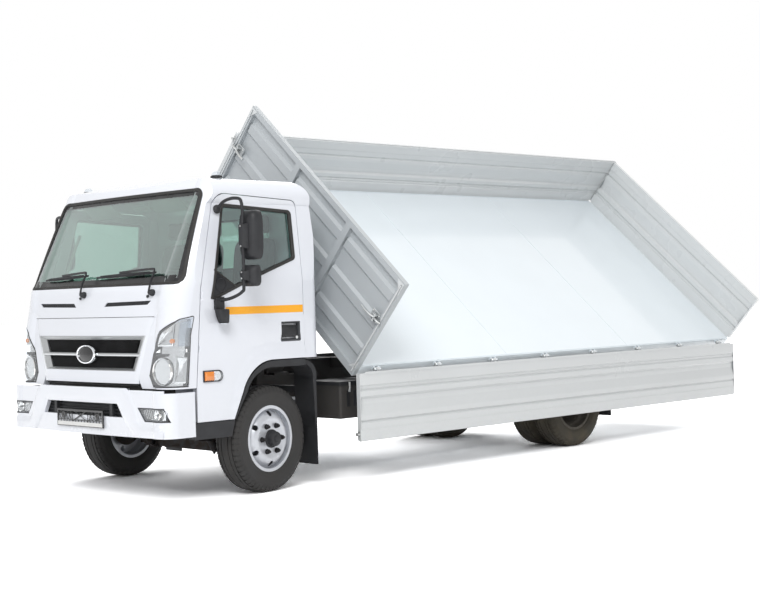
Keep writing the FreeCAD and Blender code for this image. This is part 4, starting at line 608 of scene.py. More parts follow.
class Shape:
    """A mesh in the making: points in the truck's stations, and faces that each name a finish by number."""

    def __init__(self) -> None:
        """Starts with nothing in it."""
        self.points: list[Vector] = []
        self.faces: list[tuple[int, ...]] = []
        self.kinds: list[int] = []

    def rows(self, rows: Sequence[Sequence[Point3]], kind: int = 0, around: bool = False,
             ends: bool = False) -> None:
        """Adds a grid of quads.

        Args:
            rows: Rows of points, all as long.
            kind: Finish number.
            around: Whether the end of each row joins its start.
            ends: Whether the first and last rows are closed by a face.
        """
        first = len(self.points)
        wide = len(rows[0])
        for row in rows:
            self.points += [Vector(p) for p in row]
        for i in range(len(rows) - 1):
            for j in range(wide if around else wide - 1):
                k = (j + 1) % wide
                self.faces.append((first + i * wide + j, first + i * wide + k,
                                   first + (i + 1) * wide + k, first + (i + 1) * wide + j))
                self.kinds.append(kind)
        if ends:
            self.faces.append(tuple(range(first + wide - 1, first - 1, -1)))
            last = first + (len(rows) - 1) * wide
            self.faces.append(tuple(range(last, last + wide)))
            self.kinds += [kind, kind]

    def solid(self, rows: Sequence[Sequence[Point3]], kind: int = 0) -> None:
        """Adds a closed body skinned over rings of points."""
        self.rows(rows, kind, around=True, ends=True)

    def turned(self, profile: Sequence[Point2], base: Point3, axis: Point3, steps: int = 24,
               kind: int = 0, closed: bool = False) -> None:
        """Adds a turned form.

        Args:
            profile: (radius, distance along the axis) points.
            base: Where the distance is zero.
            axis: Direction of the axis.
            steps: Number of segments round it.
            kind: Finish number.
            closed: Whether the profile is a ring, with no ends to close.
        """
        base, way = Vector(base), Vector(axis).normalized()
        side = way.orthogonal().normalized()
        other = way.cross(side)
        spokes = [side * math.cos(t) + other * math.sin(t) for t in turns(steps)]
        ring = list(profile) + ([profile[0]] if closed else [])
        self.rows([[base + s * r + way * d for s in spokes] for r, d in ring], kind, around=True,
                  ends=not closed)

    def tube(self, path: Sequence[Point3], radius: float | Sequence[float], kind: int = 0, steps: int = 10,
             flat: float = 1.0) -> None:
        """Adds a round or flattened bar along a path, closed at its ends."""
        path = [Vector(p) for p in path]
        count = len(path)
        radii = [radius] * count if isinstance(radius, (int, float)) else radius
        tangents = [(path[min(i + 1, count - 1)] - path[max(i - 1, 0)]).normalized() for i in range(count)]
        side = tangents[0].orthogonal().normalized()
        rows = []
        for point, way, size in zip(path, tangents, radii):
            side = (side - way * side.dot(way)).normalized()
            other = way.cross(side)
            rows.append([point + side * (size * math.cos(t)) + other * (size * flat * math.sin(t))
                         for t in turns(steps)])
        self.solid(rows, kind)

    def block(self, low: Sequence[float], high: Sequence[float], kind: int = 0) -> None:
        """Adds an upright block between two corners."""
        (x0, y0, z0), (x1, y1, z1) = low, high
        self.solid([[(x, y, z) for x, y in rect(x0, y0, x1, y1)] for z in (z0, z1)], kind)

    def pushed(self, loop: Sequence[Point2], place: Place, low: float, high: float, kind: int = 0) -> None:
        """Adds a closed outline pushed from one depth to another."""
        self.solid([[place(a, b, d) for a, b in loop] for d in (low, high)], kind)

    def band(self, loop: Sequence[Point2], section: Sequence[Point2], place: Place, kind: int = 0) -> None:
        """Adds a bead round a closed outline.

        Args:
            loop: The outline.
            section: The bead's closed section, as (distance inwards, depth).
            place: Point in space for an outline's two coordinates and a depth.
            kind: Finish number.
        """
        rings = []
        for inwards, depth in [*section, section[0]]:
            rings.append([place(a, b, depth) for a, b in offset(loop, inwards)])
        self.rows(rings, kind, around=True)

    def domed(self, loop: Sequence[Point2], middle: Point2, place: Place, kind: int,
              steps: Sequence[Point2]) -> None:
        """Adds a face drawn in from an outline to a middle, in (share of the way, depth) steps."""
        self.rows([[place(a + (middle[0] - a) * share, b + (middle[1] - b) * share, depth) for a, b in loop]
                   for share, depth in steps], kind, around=True)

    def skin(self, loop: Sequence[Point2], place: Place, step: float, kind: int = 0,
             holes: Sequence[Sequence[Point2]] = (), lines: Sequence[Sequence[Point2]] = (),
             relief: Callable[[np.ndarray], np.ndarray] | None = None,
             lip: Sequence[Point2] = ((0.0012, 0.0012), (0.0016, 0.004))) -> None:
        """Adds a pressed sheet over an outline.

        Args:
            loop: The outline.
            place: Point in space for an outline's two coordinates and a depth inwards.
            step: Length of the sheet's triangles.
            kind: Finish number.
            holes: Outlines cut out of it.
            lines: Crease lines that the triangles follow.
            relief: Height of the sheet at each flat point.
            lip: The rolled edge, as (outwards, depth) steps.
        """
        rims = [resampled(loop, step)] + [resampled(h, step) for h in holes]
        folds = [resampled(line, step, closed=False) for line in lines]
        a, b = np.array(loop).min(axis=0), np.array(loop).max(axis=0)
        xs = np.arange(a[0] + step / 2, b[0], step)
        ys = np.arange(a[1] + step / 2, b[1], step * 0.87)
        grid = np.array([(x + (step / 2 if j % 2 else 0), y) for j, y in enumerate(ys) for x in xs])
        keep = inside(grid, rims[0])
        for rim in rims[1:]:
            keep &= ~inside(grid, rim)
        for rim in rims:
            keep &= away(grid, np.array(rim), True) > step * 0.45
        for fold in folds:
            keep &= away(grid, np.array(fold), False) > step * 0.45
        flat: list[Point2] = []
        edges = []
        for rim in rims:
            first = len(flat)
            flat += rim
            edges += [(first + i, first + (i + 1) % len(rim)) for i in range(len(rim))]
        for fold in folds:
            first = len(flat)
            flat += fold
            edges += [(first + i, first + i + 1) for i in range(len(fold) - 1)]
        flat += [tuple(p) for p in grid[keep]]
        verts, _, tris, *_ = delaunay_2d_cdt([Vector(p) for p in flat], edges, [], 0, 1e-6)
        spots = np.array([(v.x, v.y) for v in verts])
        middles = np.array([spots[list(t)].mean(axis=0) for t in tris])
        good = inside(middles, rims[0])
        for rim in rims[1:]:
            good &= ~inside(middles, rim)
        raised = relief(spots) if relief else np.zeros(len(spots))
        first = len(self.points)
        self.points += [place(x, y, -h) for (x, y), h in zip(spots, raised)]
        for tri, ok in zip(tris, good):
            if ok:
                self.faces.append(tuple(first + i for i in tri))
                self.kinds.append(kind)
        for number, rim in enumerate(rims):
            heights = relief(np.array(rim)) if relief else np.zeros(len(rim))
            ways = -1.0 if number == 0 else 1.0
            rings = [[place(x, y, -h) for (x, y), h in zip(rim, heights)]]
            for out, depth in lip:
                moved = offset(rim, ways * out)
                rings.append([place(x, y, depth - h * (depth < 0.003)) for (x, y), h in zip(moved, heights)])
            self.rows(rings, kind, around=True)


@dataclass(frozen=True)
class Stations:
    """Where the truck's own stations lie in the row frame."""

    shift: Vector
    axle_height: float
    tip: Vector
    angle: float
    kingpin: float
    steer: float

    @classmethod
    def read(cls) -> "Stations":
        """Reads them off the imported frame."""
        joints = {j["name"]: j for j in frame["joints"]}
        left, right = (Vector(joints[f"steer_{word}"]["pos_m"]) for word in ("left", "right"))
        shift = Vector((left.x - FRONT_AXLE_X, (left.y + right.y) / 2, 0.0))
        low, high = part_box("front_left_tyre")
        rest = next(m for m in frame["record"]["mounts"] if m["name"] == "load_floor")
        way = joints["front_left_wheel_spin"]["axis"]
        return cls(shift, (low.z + high.z) / 2, Vector(joints["bed_tip"]["pos_m"]) - shift,
                   math.atan2(rest["axis"][1], rest["axis"][2]), (left.y - right.y) / 2,
                   math.atan2(-way[0], way[1]))

    def chassis(self, point: Vector) -> Vector:
        """A point of the chassis or cab in the row frame."""
        return point + self.shift

    def home(self, body: str, slot: str) -> "Home":
        """A home on a body that rests as built: the bed's bodies stand tipped, all others on the chassis."""
        places = {"bed": self.bed, "tailgate": self.bed, "right_board": self.bed,
                  "left_board": self.left_board}
        return Home(body, places.get(body, self.chassis), slot)

    def wheel(self, side: Side) -> Callable[[Vector], Vector]:
        """How a front wheel's points, as when it runs straight, lie as the truck stands."""
        pin = Vector((FRONT_AXLE_X, side.value * self.kingpin, 0.0))
        turn = Matrix.Rotation(self.steer, 3, "Z")
        return lambda point: self.chassis(pin + turn @ (point - pin))

    def bed(self, point: Vector) -> Vector:
        """A point of the lowered bed, as it stands tipped in the row frame."""
        y, z = point.y - self.tip.y, point.z - self.tip.z
        c, s = math.cos(self.angle), math.sin(self.angle)
        return Vector((point.x, self.tip.y + y * c + z * s, self.tip.z - y * s + z * c)) + self.shift

    def left_board(self, point: Vector) -> Vector:
        """A point of the left board as it is when closed, hanging open in the row frame."""
        hinge = Vector((point.x, BOARD_HINGE.x, BOARD_HINGE.y))
        return self.bed(hinge) + Vector((0.0, hinge.y - point.y, hinge.z - point.z))


@dataclass(frozen=True)
class Home:
    """What a piece rides on, how its stations map to the row frame, and a slot name."""

    body: str
    place: Callable[[Vector], Vector]
    slot: str


def laid(name: str, shape: Shape, finishes: Sequence[Finish], home: Home) -> bpy.types.Mesh:
    """Makes a shape's mesh in the row frame, with doubled points joined and faces turned outwards."""
    mesh = bpy.data.meshes.new(name)
    mesh.from_pydata([home.place(p) for p in shape.points], [], shape.faces)
    for finish in finishes:
        mesh.materials.append(finish.material())
    mesh.polygons.foreach_set("material_index", shape.kinds)
    work = bmesh.new()
    work.from_mesh(mesh)
    bmesh.ops.remove_doubles(work, verts=work.verts, dist=1e-6)
    bmesh.ops.dissolve_degenerate(work, edges=work.edges, dist=1e-7)
    bmesh.ops.recalc_face_normals(work, faces=work.faces)
    work.to_mesh(mesh)
    work.free()
    return mesh


def piece(name: str, shape: Shape, finishes: Sequence[Finish], home: Home, bevel: float = 0.0,
          sharp: float = 32.0, replaces: Sequence[str] = ()) -> bpy.types.Object:
    """Makes a piece from a shape.

    Args:
        name: The piece's name.
        shape: Its mesh, in stations.
        finishes: Its finishes, by the shape's numbers.
        home: Body and place; its slot is not used.
        bevel: Width of its rounded edges, 0 for none.
        sharp: Angle in degrees over which an edge stays sharp.
        replaces: CAD nodes that it stands for.

    Returns:
        The new object.
    """
    mesh = laid(name, shape, finishes, home)
    mesh.shade_smooth()
    mesh.set_sharp_from_angle(angle=math.radians(sharp))
    made = bpy.data.objects.new(name, mesh)
    bpy.context.scene.collection.objects.link(made)
    if bevel:
        rounding = made.modifiers.new("rounded_edges", "BEVEL")
        rounding.width = bevel
        rounding.segments = 2
        rounding.limit_method = "ANGLE"
        rounding.angle_limit = math.radians(sharp)
        rounding.harden_normals = True
    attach(made, home.body)
    if replaces:
        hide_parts(*replaces)
    log.info("%s: %d faces on %s", name, len(mesh.polygons), home.body)
    return made


def dress(finish: Finish, *nodes: str) -> None:
    """Gives CAD nodes one finish all over."""
    for name in nodes:
        mesh = frame["nodes"][name].data
        mesh.materials.clear()
        mesh.materials.append(finish.material())
        mesh.polygons.foreach_set("material_index", [0] * len(mesh.polygons))
        log.info("%s: %s", name, finish.name)


def bored(made: bpy.types.Object, shape: Shape, home: Home, sharp: float = 35.0) -> None:
    """Cuts a shape out of a piece.

    Args:
        made: The piece.
        shape: What is cut away, in stations.
        home: The piece's home.
        sharp: Angle in degrees over which an edge stays sharp.
    """
    mesh = laid("bore_tool", shape, [], home)
    tool = bpy.data.objects.new("bore_tool", mesh)
    bpy.context.scene.collection.objects.link(tool)
    cut = made.modifiers.new("bores", "BOOLEAN")
    cut.operation = "DIFFERENCE"
    cut.solver = "EXACT"
    cut.object = tool
    done = bpy.data.meshes.new_from_object(made.evaluated_get(bpy.context.evaluated_depsgraph_get()))
    made.modifiers.remove(cut)
    made.data = done
    done.set_sharp_from_angle(angle=math.radians(sharp))
    bpy.data.objects.remove(tool)
    bpy.data.meshes.remove(mesh)


# ---- studio -----------------------------------------------------------------------------------
@dataclass
class Studio:
    """Pale floor, white surroundings, soft light and the camera."""

    truck: Stations
    eye: tuple[float, float, float] = (6.998, 9.574, 1.498)
    yaw: float = -134.193
    pitch: float = 0.047
    roll: float = -1.677
    lens: float = 67.3
    floor_half: float = 90.0

    def seen(self, tree: Tree) -> Socket:
        """1 for rays from the camera, a mirror or through glass, else 0."""
        path = add(tree, "ShaderNodeLightPath")
        first = Finish.maths(tree, "MAXIMUM", path.outputs["Is Camera Ray"], path.outputs["Is Glossy Ray"],
                             False)
        return Finish.maths(tree, "MAXIMUM", first, path.outputs["Is Transmission Ray"], False)

    def floor(self) -> None:
        """Lays the floor, white where it is lit and grey in the shadow."""
        half = self.floor_half
        mesh = bpy.data.meshes.new("studio_floor")
        mesh.from_pydata([(-half, -half, 0), (half, -half, 0), (half, half, 0), (-half, half, 0)], [],
                         [(0, 1, 2, 3)])
        paint = bpy.data.materials.new("studio_floor_matt")
        paint.use_nodes = True
        tree = paint.node_tree
        tree.nodes.clear()
        colour = Finish.mixed(tree, self.seen(tree), (0.7, 0.7, 0.7, 1), (1.7, 1.7, 1.71, 1))
        shader = add(tree, "ShaderNodeBsdfDiffuse", {"Color": colour}).outputs[0]
        add(tree, "ShaderNodeOutputMaterial", {"Surface": shader})
        mesh.materials.append(paint)
        made = bpy.data.objects.new("studio_floor", mesh)
        bpy.context.scene.collection.objects.link(made)

    def world(self) -> None:
        """Surrounds the truck with soft white light, brighter overhead than at the horizon."""
        world = bpy.data.worlds.new("studio_world")
        bpy.context.scene.world = world
        world.use_nodes = True
        tree = world.node_tree
        tree.nodes.clear()
        way = add(tree, "ShaderNodeTexCoord").outputs["Generated"]
        height = add(tree, "ShaderNodeSeparateXYZ", {0: way}).outputs["Z"]
        sky = Finish.varied(tree, height, 0.34, 1.0, -0.05, 0.75)
        strength = add(tree, "ShaderNodeMix", {0: self.seen(tree), 2: sky, 3: 1.0}).outputs[0]
        shade = add(tree, "ShaderNodeBackground",
                    {"Color": (1.0, 1.0, 1.0, 1.0), "Strength": strength}).outputs[0]
        add(tree, "ShaderNodeOutputWorld", {"Surface": shade})

    def lamp(self, name: str, place: Sequence[float], target: Sequence[float], size: float,
             watts: float) -> None:
        """Hangs one large soft lamp."""
        data = bpy.data.lights.new(name, "AREA")
        data.shape = "DISK"
        data.size = size
        data.energy = watts
        made = bpy.data.objects.new(name, data)
        start = self.truck.chassis(Vector(place))
        aim = self.truck.chassis(Vector(target)) - start
        made.matrix_world = Matrix.Translation(start) @ aim.to_track_quat("-Z", "Y").to_matrix().to_4x4()
        bpy.context.scene.collection.objects.link(made)

    def camera(self) -> None:
        """Sets the camera up."""
        yaw, pitch, roll = (math.radians(a) for a in (self.yaw, self.pitch, self.roll))
        ahead = Vector((math.cos(yaw) * math.cos(pitch), math.sin(yaw) * math.cos(pitch), math.sin(pitch)))
        right = Vector((math.sin(yaw), -math.cos(yaw), 0.0))
        up = right.cross(ahead)
        across = right * math.cos(roll) + up * math.sin(roll)
        above = up * math.cos(roll) - right * math.sin(roll)
        data = bpy.data.cameras.new("camera")
        data.lens = self.lens
        data.sensor_width = 36.0
        data.clip_end = 400.0
        made = bpy.data.objects.new("camera", data)
        turn = Matrix((across, above, -ahead)).transposed().to_4x4()
        made.matrix_world = Matrix.Translation(self.truck.chassis(Vector(self.eye))) @ turn
        bpy.context.scene.collection.objects.link(made)
        bpy.context.scene.camera = made

    def build(self) -> None:
        """Builds the studio."""
        bpy.context.scene.view_settings.view_transform = "Standard"
        self.camera()
        self.floor()
        self.world()
        self.lamp("key_lamp", (8.0, 8.0, 9.0), (-1.0, 0.0, 1.0), 6.0, 1000.0)
        self.lamp("back_lamp", (-9.0, -6.0, 8.0), (-2.0, 0.0, 1.0), 8.0, 500.0)


# ---- wheels -----------------------------------------------------------------------------------
@dataclass
class Wheels:
    """Tyres with their tread, and each wheel's nuts, hub cap and valve."""

    truck: Stations
    radius: float = AXLE_Z
    width: float = 0.243
    rim_radius: float = 0.258
    rim_inset: float = 0.022
    front_x: float = FRONT_AXLE_X
    rear_x: float = REAR_AXLE_X
    front_outer: float = 1.045
    rear_outer: float = 1.06
    twin_gap: float = 0.032
    pitches: int = 56
    groove: float = 0.009

    def section(self) -> list[tuple[float, float, bool]]:
        """Half a tyre's section, from the bead to the crown's middle.

        Returns:
            (radius, distance from the tyre's middle plane, whether a shoulder slot cuts here).
        """
        r, h, g = self.radius, self.width / 2, self.groove
        inset = self.rim_inset
        rows = [(self.rim_radius - 0.0157, h - inset - 0.0123, False),
                (self.rim_radius + 0.0003, h - inset - 0.01, False),
                (self.rim_radius + 0.0003, h - inset + 0.002, False), (0.268, h - 0.0135, False),
                (0.276, h - 0.0085, False), (0.28, h - 0.0085, False), (0.283, h - 0.006, False),
                (0.3, h - 0.0022, False), (0.322, h - 0.0002, False), (0.34, h, False),
                (0.352, h - 0.001, False), (0.356, h - 0.0003, False), (0.359, h - 0.0008, False),
                (0.362, h - 0.0026, False), (0.374, h - 0.008, False), (r - 0.034, h - 0.0135, True),
                (r - 0.022, h - 0.017, True), (r - 0.012, h - 0.023, True), (r - 0.0065, h - 0.03, True),
                (r - 0.0045, h - 0.048, True)]
        for start, end, top in ((0.048, 0.057, 0.0035), (0.084, 0.0915, 0.0015)):
            rows += [(r - top, h - start - 0.0002, False), (r - top - g, h - start - 0.0015, False),
                     (r - top - g, h - end + 0.0015, False), (r - top, h - end, False)]
        rows.append((r - 0.0002, 0.013, False))
        return rows

    def tyre(self, shape: Shape, x: float, outer: float, side: Side) -> None:
        """Adds one tyre to a shape."""
        half = self.section()
        middle = outer - self.width / 2
        ring = half + [(r, -d, cut) for r, d, cut in reversed(half)]
        spokes = [(2 * math.pi * (k + share) / self.pitches, low) for k in range(self.pitches) for share,
                  low in ((0.0, False), (0.4, False), (0.72, False), (0.74, True), (0.98, True))]
        rows = []
        for r, d, cut in ring:
            row = []
            for turn, low in spokes:
                size = r - (0.0065 if low and cut else 0.0)
                row.append(Vector((x + size * math.cos(turn), side.value * (middle + d),
                                   self.truck.axle_height + size * math.sin(turn))))
            rows.append(row)
        shape.rows(rows, 0, around=True)

    @staticmethod
    def about(hub: Vector, degrees: float, radius: float) -> Vector:
        """A point at an angle and a radius about a wheel's hub."""
        turn = math.radians(degrees)
        return hub + Vector((math.cos(turn), 0, math.sin(turn))) * radius

    def fittings(self, name: str, x: float, face: float, side: Side, home: Home, rear: bool) -> None:
        """Makes a wheel's nuts, studs, hub cap and valve."""
        shape = Shape()
        way = side.way
        hub = Vector((x, side.value * face, self.truck.axle_height))
        for k in range(6):
            at = self.about(hub, 60 * k + (12 if rear else 0), 0.111)
            shape.turned([(0.0, -0.001), (0.0215, -0.001), (0.0215, 0.003), (0.019, 0.004)], at, way, 20, 1)
            shape.turned([(0.0185, 0.003), (0.0185, 0.022), (0.016, 0.026), (0.0, 0.026)], at, way, 6, 1)
            shape.turned([(0.0105, 0.02), (0.0105, 0.036), (0.009, 0.038), (0.0, 0.038)], at, way, 14, 1)
        if rear:
            cap = [(0.0, 0.0), (0.078, 0.0), (0.078, 0.05), (0.074, 0.056), (0.06, 0.058), (0.058, 0.066),
                   (0.052, 0.07), (0.0, 0.072)]
        else:
            cap = [(0.0, 0.0), (0.072, 0.0), (0.072, 0.008), (0.06, 0.012), (0.058, 0.046), (0.055, 0.054),
                   (0.048, 0.058), (0.03, 0.06), (0.028, 0.066), (0.022, 0.069), (0.0, 0.07)]
        shape.turned(cap, hub, way, 36, 0)
        for k in range(8 if rear else 0):
            at = self.about(hub, 45 * k, 0.066) + way * 0.056
            shape.turned([(0.0, 0.0), (0.0065, 0.0), (0.0065, 0.006), (0.0, 0.007)], at, way, 6, 1)
        foot = face - (0.0 if rear else 0.048)
        stem = [Vector((x - 0.06, side.value * (foot + 0.004), self.truck.axle_height + 0.207)),
                Vector((x - 0.062, side.value * (foot + 0.022), self.truck.axle_height + 0.205)),
                Vector((x - 0.06, side.value * (foot + 0.046), self.truck.axle_height + 0.196))]
        shape.tube(smooth_path(stem, 4), 0.004, 2, 8)
        piece(name, shape, [BLACK_PP, NUT_BLACK, ZINC], home, sharp=28)

    def front_disc(self, side: Side, home: Home) -> None:
        """Makes a front wheel's outset disc with its six hand holes."""
        way = side.way
        hub = Vector((self.front_x, side.value * (self.front_outer - self.rim_inset), self.truck.axle_height))
        face = [(0.2335, -0.04), (0.226, -0.035), (0.214, -0.027), (0.204, -0.014), (0.196, -0.003),
                (0.188, 0.004), (0.176, 0.01), (0.16, 0.0125), (0.148, 0.0125), (0.14, 0.01), (0.066, 0.01),
                (0.062, 0.006)]
        back = [(r - 0.002, d - 0.007) for r, d in reversed(face)]
        disc = Shape()
        disc.turned(face + back, hub, way, 96, 0, closed=True)
        made = piece(f"front_{side.word}_disc", disc, [RIM_SILVER], home, sharp=35)
        bores = Shape()
        for k in range(6):
            bores.turned(rect(0.0, -0.09, 0.0215, 0.05), self.about(hub, 30 + 60 * k, 0.194), way, 28, 0)
        bored(made, bores, home)

    def build(self) -> None:
        """Builds every wheel's pieces."""
        for side in Side:
            word = side.word
            front = Home(f"front_{word}_wheel", self.truck.wheel(side), "tyre_rubber")
            rear = self.truck.home(f"rear_{word}_wheels", "tyre_rubber")
            one = Shape()
            self.tyre(one, self.front_x, self.front_outer, side)
            piece(f"front_{word}_tread", one, [TYRE_BLACK], front, sharp=40, replaces=[f"front_{word}_tyre"])
            twin = Shape()
            self.tyre(twin, self.rear_x, self.rear_outer, side)
            self.tyre(twin, self.rear_x, self.rear_outer - self.width - self.twin_gap, side)
            piece(f"rear_{word}_treads", twin, [TYRE_DUSTY], rear, sharp=40, replaces=[f"rear_{word}_tyres"])
            self.front_disc(side, Home(front.body, front.place, "rim_silver"))
            face = self.front_outer - self.rim_inset + 0.01
            self.fittings(f"front_{word}_nuts", self.front_x, face, side,
                          Home(front.body, front.place, "axle_iron"), False)
            face = self.rear_outer - self.width - self.twin_gap / 2 + 0.012
            self.fittings(f"rear_{word}_nuts", self.rear_x, face, side,
                          self.truck.home(rear.body, "axle_iron"), True)
            dress(RIM_SILVER, f"front_{word}_rim")
            # The rear rims' dark enamel is painted shade.
            dress(RIM_SHADED, f"rear_{word}_rims")


# ---- cab --------------------------------------------------------------------------------------
class CabForm:
    """The cab's outside, as the CAD source shapes it."""

    half = 1.085
    belt = 1.6
    knee = 1.25
    brow = 0.842
    knee_run = 0.044
    fill = 0.03
    screen_slope = 0.466
    front_slope = 0.03

    @classmethod
    def plan(cls, y: float, fill: float) -> float:
        """How far forward the front stands at a distance from the centreline.

        Args:
            y: Distance from the centreline, either side.
            fill: How much fuller the corners are.
        """
        shoulder = (cls.brow - 0.036 + fill / 4, cls.half - 0.235)
        middle = (shoulder[0] - 0.03 + fill * 0.37, shoulder[1] + 0.17 + fill / 3)
        corner = (cls.brow - 0.182 + fill, cls.half)
        return bowed(y, cls.brow, shoulder, middle, corner)

    @classmethod
    def reach(cls, y: float, z: float) -> float:
        """Station of the front's surface at a width and a height."""
        if z >= cls.belt:
            return cls.plan(y, 0.0) - cls.screen_slope * (z - cls.belt)
        if z >= cls.knee:
            share = (cls.belt - z) / (cls.belt - cls.knee)
            return (1 - share) * cls.plan(y, 0.0) + share * (cls.plan(y, cls.fill) + cls.knee_run)
        return cls.plan(y, cls.fill) + cls.knee_run + cls.front_slope * (cls.knee - z)

    @classmethod
    def front(cls, y: float, z: float, depth: float) -> Vector:
        """A point at a depth below the front's surface; a negative depth stands proud."""
        step = 0.002
        edge = min(abs(y), cls.half - 0.004)
        y_safe = math.copysign(edge, y)
        dy = (cls.reach(y_safe + step, z) - cls.reach(y_safe - step, z)) / (2 * step)
        dz = (cls.reach(y_safe, z + step) - cls.reach(y_safe, z - step)) / (2 * step)
        way = Vector((1.0, -dy, -dz)).normalized()
        return Vector((cls.reach(y, z), y, z)) - way * depth

    @classmethod
    def side_y(cls, z: float) -> float:
        """Half width of the cab at a height."""
        low, high = cls.belt + 0.04, 2.235
        return cls.half - 0.063 * min(1.0, max(0.0, (z - low) / (high - low)))

    @classmethod
    def flank(cls, side: Side) -> Place:
        """Maps (x, z, depth) onto the cab's side."""
        def place(x: float, z: float, depth: float) -> Vector:
            lean = 0.1053 if z > cls.belt + 0.04 else 0.0
            run = math.hypot(1.0, lean)
            return Vector((x, side.value * (cls.side_y(z) - depth / run), z - depth * lean / run))
        return place


def mirrored(points: Sequence[Point2], side: Side) -> list[Point2]:
    """An outline of (y, z) points, on the side asked for."""
    return [(side.value * y, z) for y, z in points]


def ramp(value: np.ndarray, start: float, end: float) -> np.ndarray:
    """Smooth step from 0 at start to 1 at end."""
    share = np.clip((value - start) / (end - start), 0.0, 1.0)
    return share * share * (3 - 2 * share)


def both(half: Sequence[Point2]) -> list[Point2]:
    """A closed outline from its half, joined to the half's mirror image."""
    return [*half, *mirrored(half[::-1], Side.RIGHT)]


def flanks(line: Sequence[Point2], step: float = 0.03) -> list[list[Point2]]:
    """An open line of (y, z) points and its mirror image, with points added."""
    return [resampled(mirrored(line, side), step, False) for side in Side]


def raised(lines: Sequence[Sequence[Point2]], height: float, start: float, end: float,
           base: float = 0.0) -> Callable[[np.ndarray], np.ndarray]:
    """Relief that lifts a sheet by a bevel, between two distances from the lines."""
    def relief(spots: np.ndarray) -> np.ndarray:
        near = np.min([away(spots, np.array(line), False) for line in lines], axis=0)
        return base + height * ramp(near, start, end)
    return relief


